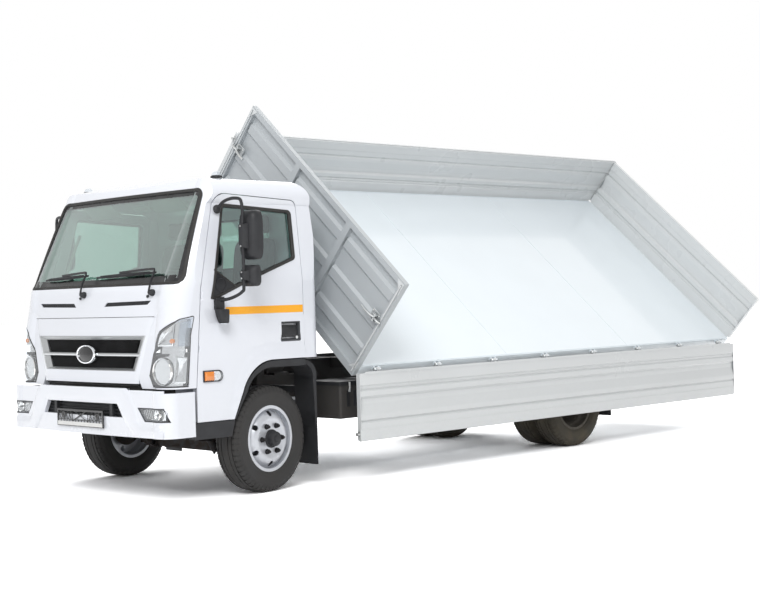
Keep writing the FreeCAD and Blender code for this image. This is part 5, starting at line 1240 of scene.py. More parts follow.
@dataclass
class CabFront:
    """Front panel, cowl, grille, windscreen seal and wipers."""

    truck: Stations
    panel_foot: float = 0.893
    seam: float = 1.392
    bulge: float = 0.009
    bar_z: float = 1.11
    wiper_z: float = 1.572

    def home(self, slot: str) -> Home:
        """A home on the cab."""
        return self.truck.home("cab", slot)

    def panel(self) -> None:
        """Pressed front panel with its raised middle, its foot turned in over the bumper."""
        right = [(0.66, self.panel_foot), (0.66, 0.93), (0.765, 1.225), (0.833, self.seam - 0.001)]
        loop = resampled(both(right), 0.05)
        opening = [(-0.633, 0.987), (0.633, 0.987), (0.751, 1.253), (-0.751, 1.253)]
        shape = Shape()
        creases = flanks([(y - 0.03, z) for y, z in right])
        shape.skin(loop, CabForm.front, 0.034, 0, holes=[resampled(opening, 0.05)], lines=creases,
                   relief=raised(flanks(right), self.bulge, 0.004, 0.032),
                   lip=((0.0, 0.003), (-0.001, 0.012), (-0.001, 0.022)))
        piece("front_panel_pressing", shape, [CAB_WHITE], self.home("cab_paint"), sharp=26,
              replaces=["front_panel"])
        dark = Shape()
        foot = rect(-0.66, 0.84, 0.66, 0.9)
        dark.skin(resampled(foot, 0.06), lambda y, z, d: CabForm.front(y, z, d + 0.03), 0.06, 0)
        dark.tube([CabForm.front(-0.64 + 0.08 * k, 0.88, 0.012) for k in range(17)], 0.006, 0, 6)
        piece("front_panel_foot_seal", dark, [SEAL_BLACK], self.home("black_plastic"), sharp=35)

    def cowl(self) -> None:
        """Raised cowl under the windscreen with its two air slots and the seam below it."""
        right = [(0.834, 1.3955), (0.9, 1.435), (0.965, 1.5), (1.012, 1.6), (1.018, 1.626)]
        loop = resampled(both(right), 0.05)
        slots = [mirrored([(0.2, 1.476), (0.742, 1.484), (0.782, 1.514), (0.232, 1.507)], s) for s in Side]
        shape = Shape()
        shape.skin(loop, CabForm.front, 0.036, 0, holes=[resampled(s, 0.04) for s in slots],
                   relief=raised(flanks(right), self.bulge, 0.004, 0.032),
                   lip=((0.0, 0.003), (-0.001, 0.0005)))
        piece("cowl_pressing", shape, [CAB_WHITE], self.home("cab_paint"), sharp=26)
        black = Shape()
        for slot in slots:
            black.skin(resampled(offset(slot, -0.002), 0.05), lambda y, z, d: CabForm.front(y, z, d - 0.0012),
                       0.04, 0, lip=((0.0, 0.0), (0.0, 0.0)))
            low, high = slot[0][0], slot[1][0]
            for k in range(15):
                y = low + (high - low) * (k + 0.5) / 15
                bar = [CabForm.front(y, 1.478, -0.003),
                       CabForm.front(y + 0.03 * math.copysign(1, y), 1.509, -0.003)]
                black.tube(bar, 0.0022, 0, 5)
        line = [(-0.834 + 0.0417 * k, self.seam + 0.0015) for k in range(41)]
        black.rows([[CabForm.front(y, z - 0.0016, -self.bulge - 0.0004) for y, z in line],
                    [CabForm.front(y, z + 0.0016, -self.bulge - 0.0004) for y, z in line]], 1)
        piece("cowl_slots", black, [BLACK_PP, SEAL_BLACK], self.home("black_plastic"), sharp=35)

    def seal(self) -> None:
        """Rubber seal round the windscreen, with the black band printed on the glass inside it."""
        right = [(0.0, 1.64), (0.4, 1.64), (0.7, 1.64), (1.0, 1.64), (1.022, 1.645), (1.036, 1.662),
                 (1.04, 1.69)]
        right += [(1.04 - 0.067 * k / 8, 1.69 + 0.58 * k / 8) for k in range(1, 9)]
        right += arc_points((0.973, 2.27), (0.951, 2.328), (0.893, 2.35), 6) + [(0.5, 2.35), (0.0, 2.35)]
        loop = resampled(right + mirrored(right[-2:0:-1], Side.RIGHT), 0.045)
        shape = Shape()
        shape.band(loop, [(-0.011, 0.004), (-0.01, -0.002), (-0.004, -0.006), (0.006, -0.006),
                          (0.012, -0.002), (0.013, 0.0085), (-0.011, 0.0085)], CabForm.front, 0)
        shape.band(loop, [(0.012, 0.0082), (0.04, 0.0086), (0.04, 0.0094), (0.012, 0.0094)], CabForm.front, 1)
        foot = [(-0.99, 1.652), (0.99, 1.652), (0.985, 1.706), (0.6, 1.694), (-0.6, 1.694), (-0.985, 1.706)]
        shape.skin(resampled(foot, 0.06), lambda y, z, d: CabForm.front(y, z, d + 0.009), 0.06, 1,
                   lip=((0.0, 0.0003), (0.0, 0.0005)))
        piece("windscreen_seal", shape, [SEAL_BLACK, FRIT_BLACK], self.home("window_glass"), sharp=30)

    def wipers(self) -> None:
        """Two parked wipers with their pivots, arms, springs, blades and the washer jets."""
        shape = Shape()
        for pivot, reach in ((-0.085, 0.66), (0.795, 0.74)):
            base = CabForm.front(pivot, self.wiper_z, -self.bulge)
            way = (CabForm.front(pivot, self.wiper_z, -0.1) - base).normalized()
            shape.turned([(0.0, -0.01), (0.026, -0.01), (0.026, 0.012), (0.021, 0.026), (0.016, 0.04),
                          (0.01, 0.045), (0.0, 0.045)], base, way, 18, 0)
            arm = [CabForm.front(pivot - back, z, -proud) for back, z,
                   proud in ((0.0, self.wiper_z, 0.052), (0.0, 1.64, 0.056), (0.002, 1.694, 0.052),
                             (0.014, 1.722, 0.048), (0.045, 1.733, 0.044), (reach * 0.3, 1.732, 0.036),
                             (reach * 0.62, 1.724, 0.028))]
            shape.tube(smooth_path(arm, 4), [0.0115] * 17 + [0.0095] * 8, 0, 8, 0.7)
            spine = [0.004, 0.006, 0.0075, 0.009, 0.01]
            sag = [1.716 - 0.0016 * k + 0.0008 * (k - 6) ** 2 / 6 for k in range(13)]
            ends = [CabForm.front(pivot - 0.035 - reach * k / 12, z, -0.012) for k, z in enumerate(sag)]
            shape.tube(ends, 0.0065, 0, 6, 1.6)
            shape.tube([p + Vector((0.006, 0, 0.01)) for p in ends[1:12]], [*spine, 0.011, *spine[::-1]], 0,
                       6)
            for k in (2, 6, 10):
                shape.tube([ends[k], ends[k] + Vector((0.008, 0, 0.014))], 0.006, 0, 6)
            jet = CabForm.front(pivot - 0.055, 1.546, -self.bulge)
            shape.turned([(0.0, 0.0), (0.012, 0.0), (0.011, 0.008), (0.006, 0.013), (0.0, 0.014)], jet, way,
                         12, 0)
            shape.tube([jet + way * 0.01, jet + way * 0.012 + Vector((0, 0.028, 0.012))], 0.004, 0, 6)
        piece("wipers", shape, [BLACK_PP], self.home("black_plastic"), sharp=35)

    def grille(self) -> None:
        """Grille: two black meshes between satin wings, a satin bar and a blank oval ring."""
        wing = Shape()
        outer = [(-0.632, 0.988), (0.632, 0.988), (0.75, 1.252), (-0.75, 1.252)]
        inner = [(-0.572, 1.006), (0.572, 1.006), (0.668, 1.224), (-0.668, 1.224)]
        rings = []
        for share, depth in ((0.0, 0.016), (0.0, -0.004), (0.05, -0.006), (0.14, -0.006), (0.16, -0.002),
                             (1.0, 0.02), (1.0, 0.034)):
            ring = []
            for i in range(4):
                a, b = (Vector(outer[i]) * (1 - share) + Vector(inner[i]) * share,
                        Vector(outer[(i + 1) % 4]) * (1 - share) + Vector(inner[(i + 1) % 4]) * share)
                for k in range(14):
                    spot = a + (b - a) * k / 14
                    ring.append(CabForm.front(spot.x, spot.y, depth - self.bulge * 0.6))
            rings.append(ring)
        wing.rows(rings, 0, around=True)
        piece("grille_frame", wing, [SATIN_ALLOY], self.home("grille_black"), sharp=24, replaces=["grille"])
        mesh = Shape()

        def wide(z: float) -> float:
            return 0.572 + (z - 1.006) * 0.44
        for low, high in ((1.008, 1.096), (1.124, 1.222)):
            loop = [(-wide(low), low), (wide(low), low), (wide(high), high), (-wide(high), high)]
            mesh.skin(resampled(loop, 0.08), lambda y, z, d: CabForm.front(y, z, d + 0.034), 0.09, 1,
                      lip=((0.0, 0.001), (0.0, 0.002)))
            rise = high - low
            for lean in (1, -1):
                for k in range(-2, 62):
                    start = -0.76 + 0.0255 * k
                    run = [(start + lean * rise * 1.55 * (t / 4 - 0.5), low + rise * t / 4) for t in range(5)]
                    run = [(y, z) for y, z in run if abs(y) < wide(z) - 0.003]
                    if len(run) > 1:
                        mesh.tube([CabForm.front(y, z, 0.02) for y, z in run], 0.0034, 0, 5)
            for z in (low, high):
                edge = wide(z)
                mesh.tube([CabForm.front(-edge + 2 * edge * k / 20, z, 0.02) for k in range(21)], 0.005, 0, 6)
        piece("grille_meshes", mesh, [MESH_BLACK, MESH_BLACK], self.home("grille_black"), sharp=30)
        bar = Shape()
        section = [(-0.0135, 0.03), (-0.0135, 0.006), (-0.01, -0.002), (0.0, -0.006), (0.01, -0.002),
                   (0.0135, 0.006), (0.0135, 0.03)]
        edge = 0.69
        rows = [[CabForm.front(-edge + 2 * edge * k / 24, self.bar_z + a, d - self.bulge * 0.6)
                 for k in range(25)] for a, d in section]
        bar.rows(rows, 2)
        ring = [(1.06, -0.02), (1.06, 0.012), (1.03, 0.019), (0.97, 0.021), (0.91, 0.017), (0.9, 0.01)]
        disc = [(0.905, 0.01), (0.8, 0.013), (0.5, 0.017), (0.2, 0.0185), (0.0, 0.019)]
        for kind, profile in enumerate((ring, disc)):
            bar.rows([[CabForm.front(r * 0.12 * math.cos(turn), self.bar_z + r * 0.069 * math.sin(turn),
                                     -self.bulge - 0.004 - d) for turn in turns(48)] for r, d in profile],
                     kind, around=True)
        piece("grille_bar", bar, [CHROME, BLACK_ABS, SATIN_ALLOY], self.home("grille_black"), sharp=24)

    def build(self) -> None:
        """Builds the cab's front."""
        self.panel()
        self.cowl()
        self.seal()
        self.wipers()
        self.grille()


@dataclass
class Door:
    """One door's outside: pressed skin, seals, quarter panel, handle, marker lamp, stripe and mirrors."""

    truck: Stations
    side: Side

    def home(self, slot: str) -> Home:
        """A home on this door."""
        return self.truck.home(f"{self.side.word}_door", slot)

    @staticmethod
    def edge(gap: float = 3.0) -> list[Point2]:
        """The door's edge as (x, z)."""
        return outline([(663 - gap, 602), (661 - gap, 850), (600 - gap, 1600), (438 - gap, 2200 - gap),
                        ("arc", (400 - gap, 2278 - gap), (318 - gap, 2312 - gap)), (-330 + gap, 2278 - gap),
                        ("arc", (-385 + gap, 2256 - gap), (-404 + gap, 2200 - gap)), (-404 + gap, 1030 + gap),
                        (-86, 1030 + gap), ("arc", (-16, 1025 + gap), (42 + gap, 1008 + gap)),
                        ("arc", (158 + gap, 925 + gap), (232 + gap, 800 + gap)), (322 + gap, 602)])

    @staticmethod
    def window(gap: float = 0.0) -> list[Point2]:
        """The window's edge as (x, z)."""
        loop = outline([(505, 1518), (345, 2196), ("arc", (332, 2222), (304, 2232)), (-312, 2196),
                        ("arc", (-334, 2186), (-344, 2164)), (-344, 1840),
                        ("arc", (-338, 1818), (-318, 1804)), (80, 1665), (470, 1512)])
        return offset(loop, gap) if gap else loop

    def skin(self) -> None:
        """Pressed skin with its shoulder crease and the swelling that follows the wheel arch."""
        shoulder = [(0.62, 1.25), (0.405, 1.289), (-0.012, 1.367), (-0.4, 1.366)]
        arch = [(0.345, 0.64), (0.3, 0.86), (0.22, 1.01), (0.13, 1.105), (0.0, 1.142), (-0.4, 1.14)]
        lines = [np.array(resampled(arch, 0.03, False)), np.array(resampled(shoulder, 0.03, False))]

        def relief(spots: np.ndarray) -> np.ndarray:
            below = np.interp(-spots[:, 0], [-p[0] for p in shoulder], [p[1] for p in shoulder]) - spots[:, 1]
            step = 0.009 * ramp(below, -0.008, 0.01) * (1 - ramp(below, 0.1, 0.3))
            step *= 1 - ramp(spots[:, 0], 0.15, 0.55)
            near = away(spots, lines[0], False)
            inner = np.interp(spots[:, 0], [p[0] for p in reversed(arch)], [p[1] for p in reversed(arch)])
            within = (spots[:, 1] < inner) & (spots[:, 0] < 0.345)
            swell = 0.012 * np.where(within, ramp(near, 0.0, 0.03), 0.0)
            return 0.0008 + np.maximum(step, swell)
        shape = Shape()
        recess = outline(rect(-358, 1172, -165, 1322))
        shape.skin(resampled(self.edge(3.0), 0.04), CabForm.flank(self.side), 0.034, 0, relief=relief,
                   holes=[resampled(self.window(), 0.05), resampled(recess, 0.03)],
                   lines=[resampled(line, 0.03, False)
                          for line in ([(x, z) for x, z in arch[1:-1]], shoulder[1:-1])],
                   lip=((0.0, 0.004), (-0.0006, 0.006)))
        piece(f"{self.side.word}_door_skin", shape, [CAB_WHITE], self.home("cab_paint"), sharp=30)

    def seals(self) -> None:
        """Black window channel, the quarter panel with its round ring, and the rubber of the shut line."""
        place = CabForm.flank(self.side)
        shape = Shape()
        shape.band(resampled(self.window(-0.004), 0.05),
                   [(0.0, 0.001), (0.0, -0.004), (0.004, -0.007), (0.018, -0.007), (0.024, 0.0),
                    (0.025, 0.02), (0.003, 0.02)], place, 0)
        panel = [(0.497, 1.525), (0.452, 1.72), (0.275, 1.604), (0.468, 1.522)]
        shape.skin(resampled(panel, 0.04), lambda x, z, d: place(x, z, d - 0.001), 0.04, 1,
                   lip=((0.0, 0.008),))
        shape.tube([place(x, z, -0.001) for x, z in ((0.462, 1.735), (0.27, 1.606))], 0.007, 0, 8)
        ring = [(0.405 + 0.052 * math.cos(t), 1.618 + 0.052 * math.sin(t)) for t in turns(32)]
        shape.band(ring, [(-0.004, 0.0), (-0.004, -0.007), (0.004, -0.008), (0.008, 0.0)], place, 1)
        shape.tube([place(x, z, 0.012) for x, z in resampled(self.edge(0.2), 0.1, False)], 0.0024, 0, 5)
        piece(f"{self.side.word}_door_seals", shape, [SEAL_BLACK, BLACK_PP], self.home("black_plastic"),
              sharp=35)

    def handle(self) -> None:
        """Recessed handle: ring, dark pocket, pull flap and lock, with the marker lamp in front."""
        place = CabForm.flank(self.side)
        shape = Shape()
        loop = outline([(-352, 1166), (-171, 1166), ("arc", (-161, 1170), (-157, 1180)), (-157, 1314),
                        ("arc", (-161, 1324), (-171, 1328)), (-352, 1328),
                        ("arc", (-362, 1324), (-366, 1314)), (-366, 1180),
                        ("arc", (-362, 1170), (-352, 1166))])[:-1]
        shape.band(loop, [(0.0, 0.001), (0.001, -0.0065), (0.006, -0.009), (0.013, -0.006), (0.018, 0.006),
                          (0.022, 0.026), (0.006, 0.026)], place, 0)
        flap = outline([(-340, 1200), (-200, 1200), ("arc", (-186, 1205), (-182, 1218)), (-182, 1278),
                        ("arc", (-186, 1291), (-200, 1296)), (-340, 1290)])
        shape.domed(flap, (-0.26, 1.248), place, 1,
                    ((0.0, 0.024), (0.0, 0.006), (0.12, 0.001), (0.5, -0.003), (1.0, -0.003)))
        shape.turned([(0.0, 0.0), (0.013, 0.0), (0.012, 0.004), (0.0, 0.005)], place(-0.33, 1.196, 0.004),
                     self.side.way, 16, 2)
        piece(f"{self.side.word}_door_handle", shape, [GREY_ABS, BLACK_PP, ZINC], self.home("black_plastic"),
              sharp=32)
        lamp = Shape()
        x0, x1, low, high = 0.595, 0.425, 0.902, 0.976
        turn = arc_points((x1 + 0.034, low), (x1, (low + high) / 2), (x1 + 0.034, high), 10)
        whole = [(x0, high), (x0, low), (x1 + 0.034, low)] + turn
        lamp.band(whole, [(-0.006, 0.0), (-0.006, -0.01), (0.001, -0.012), (0.002, 0.0)], place, 0)
        amber = [(x0 - 0.003, high - 0.003), (x0 - 0.003, low + 0.003), (0.506, low + 0.003),
                 (0.506, high - 0.003)]
        clear = [(0.504, high - 0.003), (0.504, low + 0.003)] + [(a + 0.002, low + (b - low) * 0.92 + 0.003)
                                                                 for a, b in [(x1 + 0.034, low)] + turn]
        for loop, kind in ((amber, 1), (clear, 2)):
            lamp.domed(loop, np.mean(np.array(loop), axis=0), place, kind,
                       ((0.0, -0.002), (0.0, -0.013), (0.1, -0.02), (0.4, -0.026), (1.0, -0.0285)))
        lamp.skin(whole, lambda a, b, d: place(a, b, d - 0.0015), 0.05, 3, lip=((0.0, 0.001),))
        piece(f"{self.side.word}_door_marker_lamp", lamp, [BLACK_PP, AMBER_LENS, CLEAR_LENS, REFLECTOR],
              self.home("lamp_lens"), sharp=32)

    def stripe(self) -> None:
        """Amber marking film along the belt of the door."""
        shape = Shape()
        place = CabForm.flank(self.side)
        loop = rect(0.372, 1.392, -0.398, 1.45)
        shape.skin(resampled(loop, 0.06), lambda x, z, d: place(x, z, d - 0.0012), 0.07, 0,
                   lip=((0.0, 0.001),))
        piece(f"{self.side.word}_door_marking_film", shape, [STRIPE_FILM], self.home("cab_paint"))

    def head(self, shape: Shape, low: Sequence[float], high: Sequence[float], crown: float) -> None:
        """Adds a mirror head: a domed back, a rounded rim and a silvered pane behind."""
        (x0, y0, z0), (x1, y1, z1) = low, high
        middle = Vector(((x0 + x1) / 2, (y0 + y1) / 2, (z0 + z1) / 2))
        a, b = (y1 - y0) / 2, (z1 - z0) / 2
        rows = []
        for inwards, x in ((0.012, x0 + 0.004), (0.004, x0), (0.0, x0 + 0.006), (0.0, x0 + 0.045),
                           (0.006, x1 - 0.028), (0.022, x1 - 0.008), (0.045, x1), (0.08, x1 + crown)):
            ring = []
            for t in turns(40):
                c, s = math.cos(t), math.sin(t)
                bend = (abs(c) ** 5 + abs(s) ** 5) ** -0.2
                ring.append(Vector((x, middle.y + self.flip(max(a - inwards, 0.004) * c * bend),
                                    middle.z + max(b - inwards, 0.004) * s * bend)))
            rows.append(ring)
        shape.solid(rows)
        pane = [Vector((x0 - 0.0005, middle.y + (p.y - middle.y) * 0.965, middle.z + (p.z - middle.z) * 0.98))
                for p in rows[0]]
        shape.solid([pane, [p + Vector((0.004, 0, 0)) for p in pane]], 1)

    def flip(self, value: float) -> float:
        """The value with the door's side as its sign."""
        return value * self.side.value

    def mirrors(self) -> None:
        """Tube arm with the main mirror, the wide one, the fender mirror and their clamps."""
        shape = Shape()
        path = [(0.395, 1.048, 2.19), (0.385, 1.12, 2.245), (0.365, 1.23, 2.262), (0.352, 1.29, 2.215),
                (0.352, 1.29, 1.95), (0.352, 1.29, 1.62), (0.36, 1.275, 1.56), (0.4, 1.19, 1.515),
                (0.44, 1.095, 1.502)]
        shape.tube(smooth_path([(x, self.flip(y), z) for x, y, z in path], 5), 0.0125, 0, 12)
        ys = sorted((self.flip(1.195), self.flip(1.39)))
        self.head(shape, (0.232, ys[0], 1.8), (0.33, ys[1], 2.17), 0.004)
        ys = sorted((self.flip(1.202), self.flip(1.375)))
        self.head(shape, (0.25, ys[0], 1.6), (0.332, ys[1], 1.76), 0.004)
        for low, high in ((1.88, 2.07), (1.64, 1.72)):
            a, b = sorted((self.flip(1.255), self.flip(1.335)))
            c, d = sorted((self.flip(1.268), self.flip(1.312)))
            shape.solid([[(x, y, z) for y, z in ((a, low + 0.03), (b, low), (b, high), (a, high))]
                         for x in (0.316, 0.34)]
                        + [[(0.372, y, z) for y, z in ((c, low + 0.035), (d, low + 0.01), (d, high - 0.01),
                                                       (c, high - 0.01))]])
        a, b = sorted((self.flip(1.0856), self.flip(1.112)))
        shape.solid([[(x, a, z), (x, b, z), (x, b, w), (x, a, w)]
                    for x, z, w in ((0.4, 1.42, 1.528), (0.47, 1.42, 1.52), (0.482, 1.44, 1.5))])
        rings = []
        for z, size, x in ((1.33, 0.03, 0.44), (1.336, 0.038, 0.442), (1.38, 0.047, 0.45),
                           (1.425, 0.052, 0.455), (1.434, 0.047, 0.455), (1.436, 0.03, 0.455)):
            rings.append([Vector((x + size * bent(math.cos(t), 0.6), self.flip(1.15) + 0.82 * size
                                  * bent(math.sin(t), 0.6), z)) for t in turns(32)])
        shape.solid(rings)
        shape.turned([(0.0, 0.0), (0.034, 0.0), (0.033, 0.002), (0.0, 0.003)],
                     (0.452, self.flip(1.15), 1.3295), DOWN, 24, 1)
        shape.turned([(0.0, -0.004), (0.034, -0.004), (0.034, 0.004), (0.026, 0.012), (0.018, 0.02),
                      (0.0, 0.022)], (0.395, self.flip(1.046), 2.19), (0, self.side.value, 0.1), 20, 0)
        for z in (1.9, 2.05, 1.66, 1.705):
            shape.turned([(0.0, 0.0), (0.007, 0.0), (0.006, 0.004), (0.0, 0.005)],
                         (0.372, self.flip(1.29), z), AHEAD, 6, 2)
        piece(f"{self.side.word}_mirror_set", shape, [BLACK_PP, MIRROR_GLASS, ZINC],
              self.home("black_plastic"), sharp=38, replaces=[f"{self.side.word}_mirrors"])

    def build(self) -> None:
        """Builds the door's details."""
        self.skin()
        self.seals()
        self.handle()
        self.stripe()
        self.mirrors()


@dataclass
class CabRoof:
    """Marker domes, rear window seal and the back wall's pressings."""

    truck: Stations
    back: float = -0.57

    def build(self) -> None:
        """Builds the roof's and back wall's details."""
        home = self.truck.home("cab", "lamp_lens")
        domes = Shape()
        for side in Side:
            base = Vector((0.272, side.value * 0.891, 2.448))
            domes.turned([(0.0, -0.004), (0.046, -0.004), (0.046, 0.006), (0.04, 0.012), (0.037, 0.014)],
                         base, UP, 24, 0)
            domes.turned([(0.036, 0.012), (0.036, 0.024), (0.028, 0.038), (0.014, 0.045), (0.0, 0.046)], base,
                         UP, 24, 1)
        piece("roof_marker_lamps", domes, [BLACK_PP, CLEAR_LENS], home, sharp=40)
        seal = Shape()

        def wall(y: float, z: float, depth: float) -> Vector:
            return Vector((self.back + depth, y, z))
        loop = outline([(-500, 1760), (500, 1760), ("arc", (542, 1778), (560, 1820)), (560, 2120),
                        ("arc", (542, 2162), (500, 2180)), (-500, 2180), ("arc", (-542, 2162), (-560, 2120)),
                        (-560, 1820), ("arc", (-542, 1778), (-500, 1760))])[:-1]
        seal.band(loop, [(-0.016, 0.001), (-0.014, -0.006), (-0.004, -0.009), (0.012, -0.006), (0.014, 0.01)],
                  wall, 0)
        piece("rear_window_seal", seal, [SEAL_BLACK], self.truck.home("cab", "black_plastic"), sharp=38)
        ribs = Shape()
        for y in (-0.85, -0.52, -0.18, 0.18, 0.52, 0.85):
            ribs.pushed(rect(y - 0.07, 1.12, y + 0.07, 1.66), wall, -0.008, 0.0, 0)
        piece("cab_back_pressings", ribs, [CAB_WHITE], self.truck.home("cab", "cab_paint"), bevel=0.005)


@dataclass
class Seats:
    """Driver's seat and double passenger seat: crowned cushions with stitched panels and piping."""

    truck: Stations

    @staticmethod
    def pad(shape: Shape, low: Sequence[float], high: Sequence[float], lean: float = 0.0,
            crown: float = 0.022, seams: int = 3, face: int = 0) -> None:
        """Adds a stuffed pad.

        Args:
            shape: Gets the pad.
            low: Lowest corner.
            high: Highest corner.
            lean: How far the top stands behind the foot.
            crown: How far the middle of the faces stands out.
            seams: Stitched channels across its width.
            face: Axis of the sat-on face, 0 for x and 2 for z.
        """
        mid = (Vector(low) + Vector(high)) / 2
        half = (Vector(high) - Vector(low)) / 2
        wide, tall, deep = half.y, (half.z if face == 0 else half.x), (half.x if face == 0 else half.z)
        rows = []
        for i in range(25):
            polar = math.pi * (i / 24 - 0.5)
            level, reach = math.sin(polar), max(math.cos(polar), 0.0)
            row = []
            for turn in turns(44):
                u = bent(math.cos(turn), 0.3) * reach ** 0.34
                v = bent(math.sin(turn), 0.3) * reach ** 0.34
                w = bent(level, 0.42)
                swell = crown * (1 - u * u) * (1 - v * v) * w
                seam = sum(math.exp(-((u - s) / 0.035) ** 2) for s in
                           [(j + 1) * 2 / (seams + 1) - 1 for j in range(seams)])
                seam += math.exp(-((abs(u) - 0.86) / 0.03) ** 2) + math.exp(-((abs(v) - 0.84) / 0.03) ** 2)
                depth = w * (deep - 0.01) + swell - 0.009 * min(seam,
                                                                1.2) * math.copysign(1.0, w) * (abs(w) > 0.8)
                y, along = mid.y + u * wide * 0.985, v * tall * 0.985
                if face == 0:
                    row.append(Vector((mid.x + depth - lean * (v + 1) / 2, y, mid.z + along)))
                else:
                    row.append(Vector((mid.x + along, y, mid.z + depth)))
            rows.append(row)
        shape.solid(rows)

    def build(self) -> None:
        """Builds both seats."""
        home = self.truck.home("cab", "seat_fabric")
        frame_home = self.truck.home("cab", "black_plastic")
        for word, low_y, high_y, heads in (("driver", 0.23, 0.74, (0.485,)),
                                           ("passenger", -0.8, 0.06, (-0.59, -0.15))):
            soft = Shape()
            self.pad(soft, (-0.4, low_y, 1.29), (0.11, high_y, 1.44), face=2)
            self.pad(soft, (-0.425, low_y + 0.01, 1.45), (-0.315, high_y - 0.01, 2.005), lean=0.06)
            for y in heads:
                self.pad(soft, (-0.5, y - 0.13, 2.04), (-0.405, y + 0.13, 2.19), seams=0, crown=0.012)
            made = piece(f"{word}_seat_pads", soft, [SEAT_CLOTH], home, sharp=60,
                         replaces=["seats"] if word == "driver" else [])
            hard = Shape()
            rows = []
            for z, grow in ((1.0705, 0.0), (1.1, 0.0), (1.18, -0.03), (1.25, -0.02), (1.284, 0.006),
                            (1.292, 0.0)):
                rows.append([Vector((x, y, z)) for x, y in
                             rect(-0.4 - grow, low_y + 0.03 - grow, 0.05 + grow, high_y - 0.03 + grow)])
            hard.solid(rows)
            for y in heads:
                for post in (-0.045, 0.045):
                    hard.tube([(-0.442, y + post, 1.99), (-0.45, y + post, 2.06)], 0.006, 1, 8)
            hard.tube([(-0.36, low_y + 0.01, 1.4), (-0.3, low_y + 0.004, 1.43), (-0.24, low_y + 0.004, 1.44)],
                      0.012, 0, 8)
            piece(f"{word}_seat_base", hard, [BLACK_PP, CHROME], frame_home, bevel=0.004)


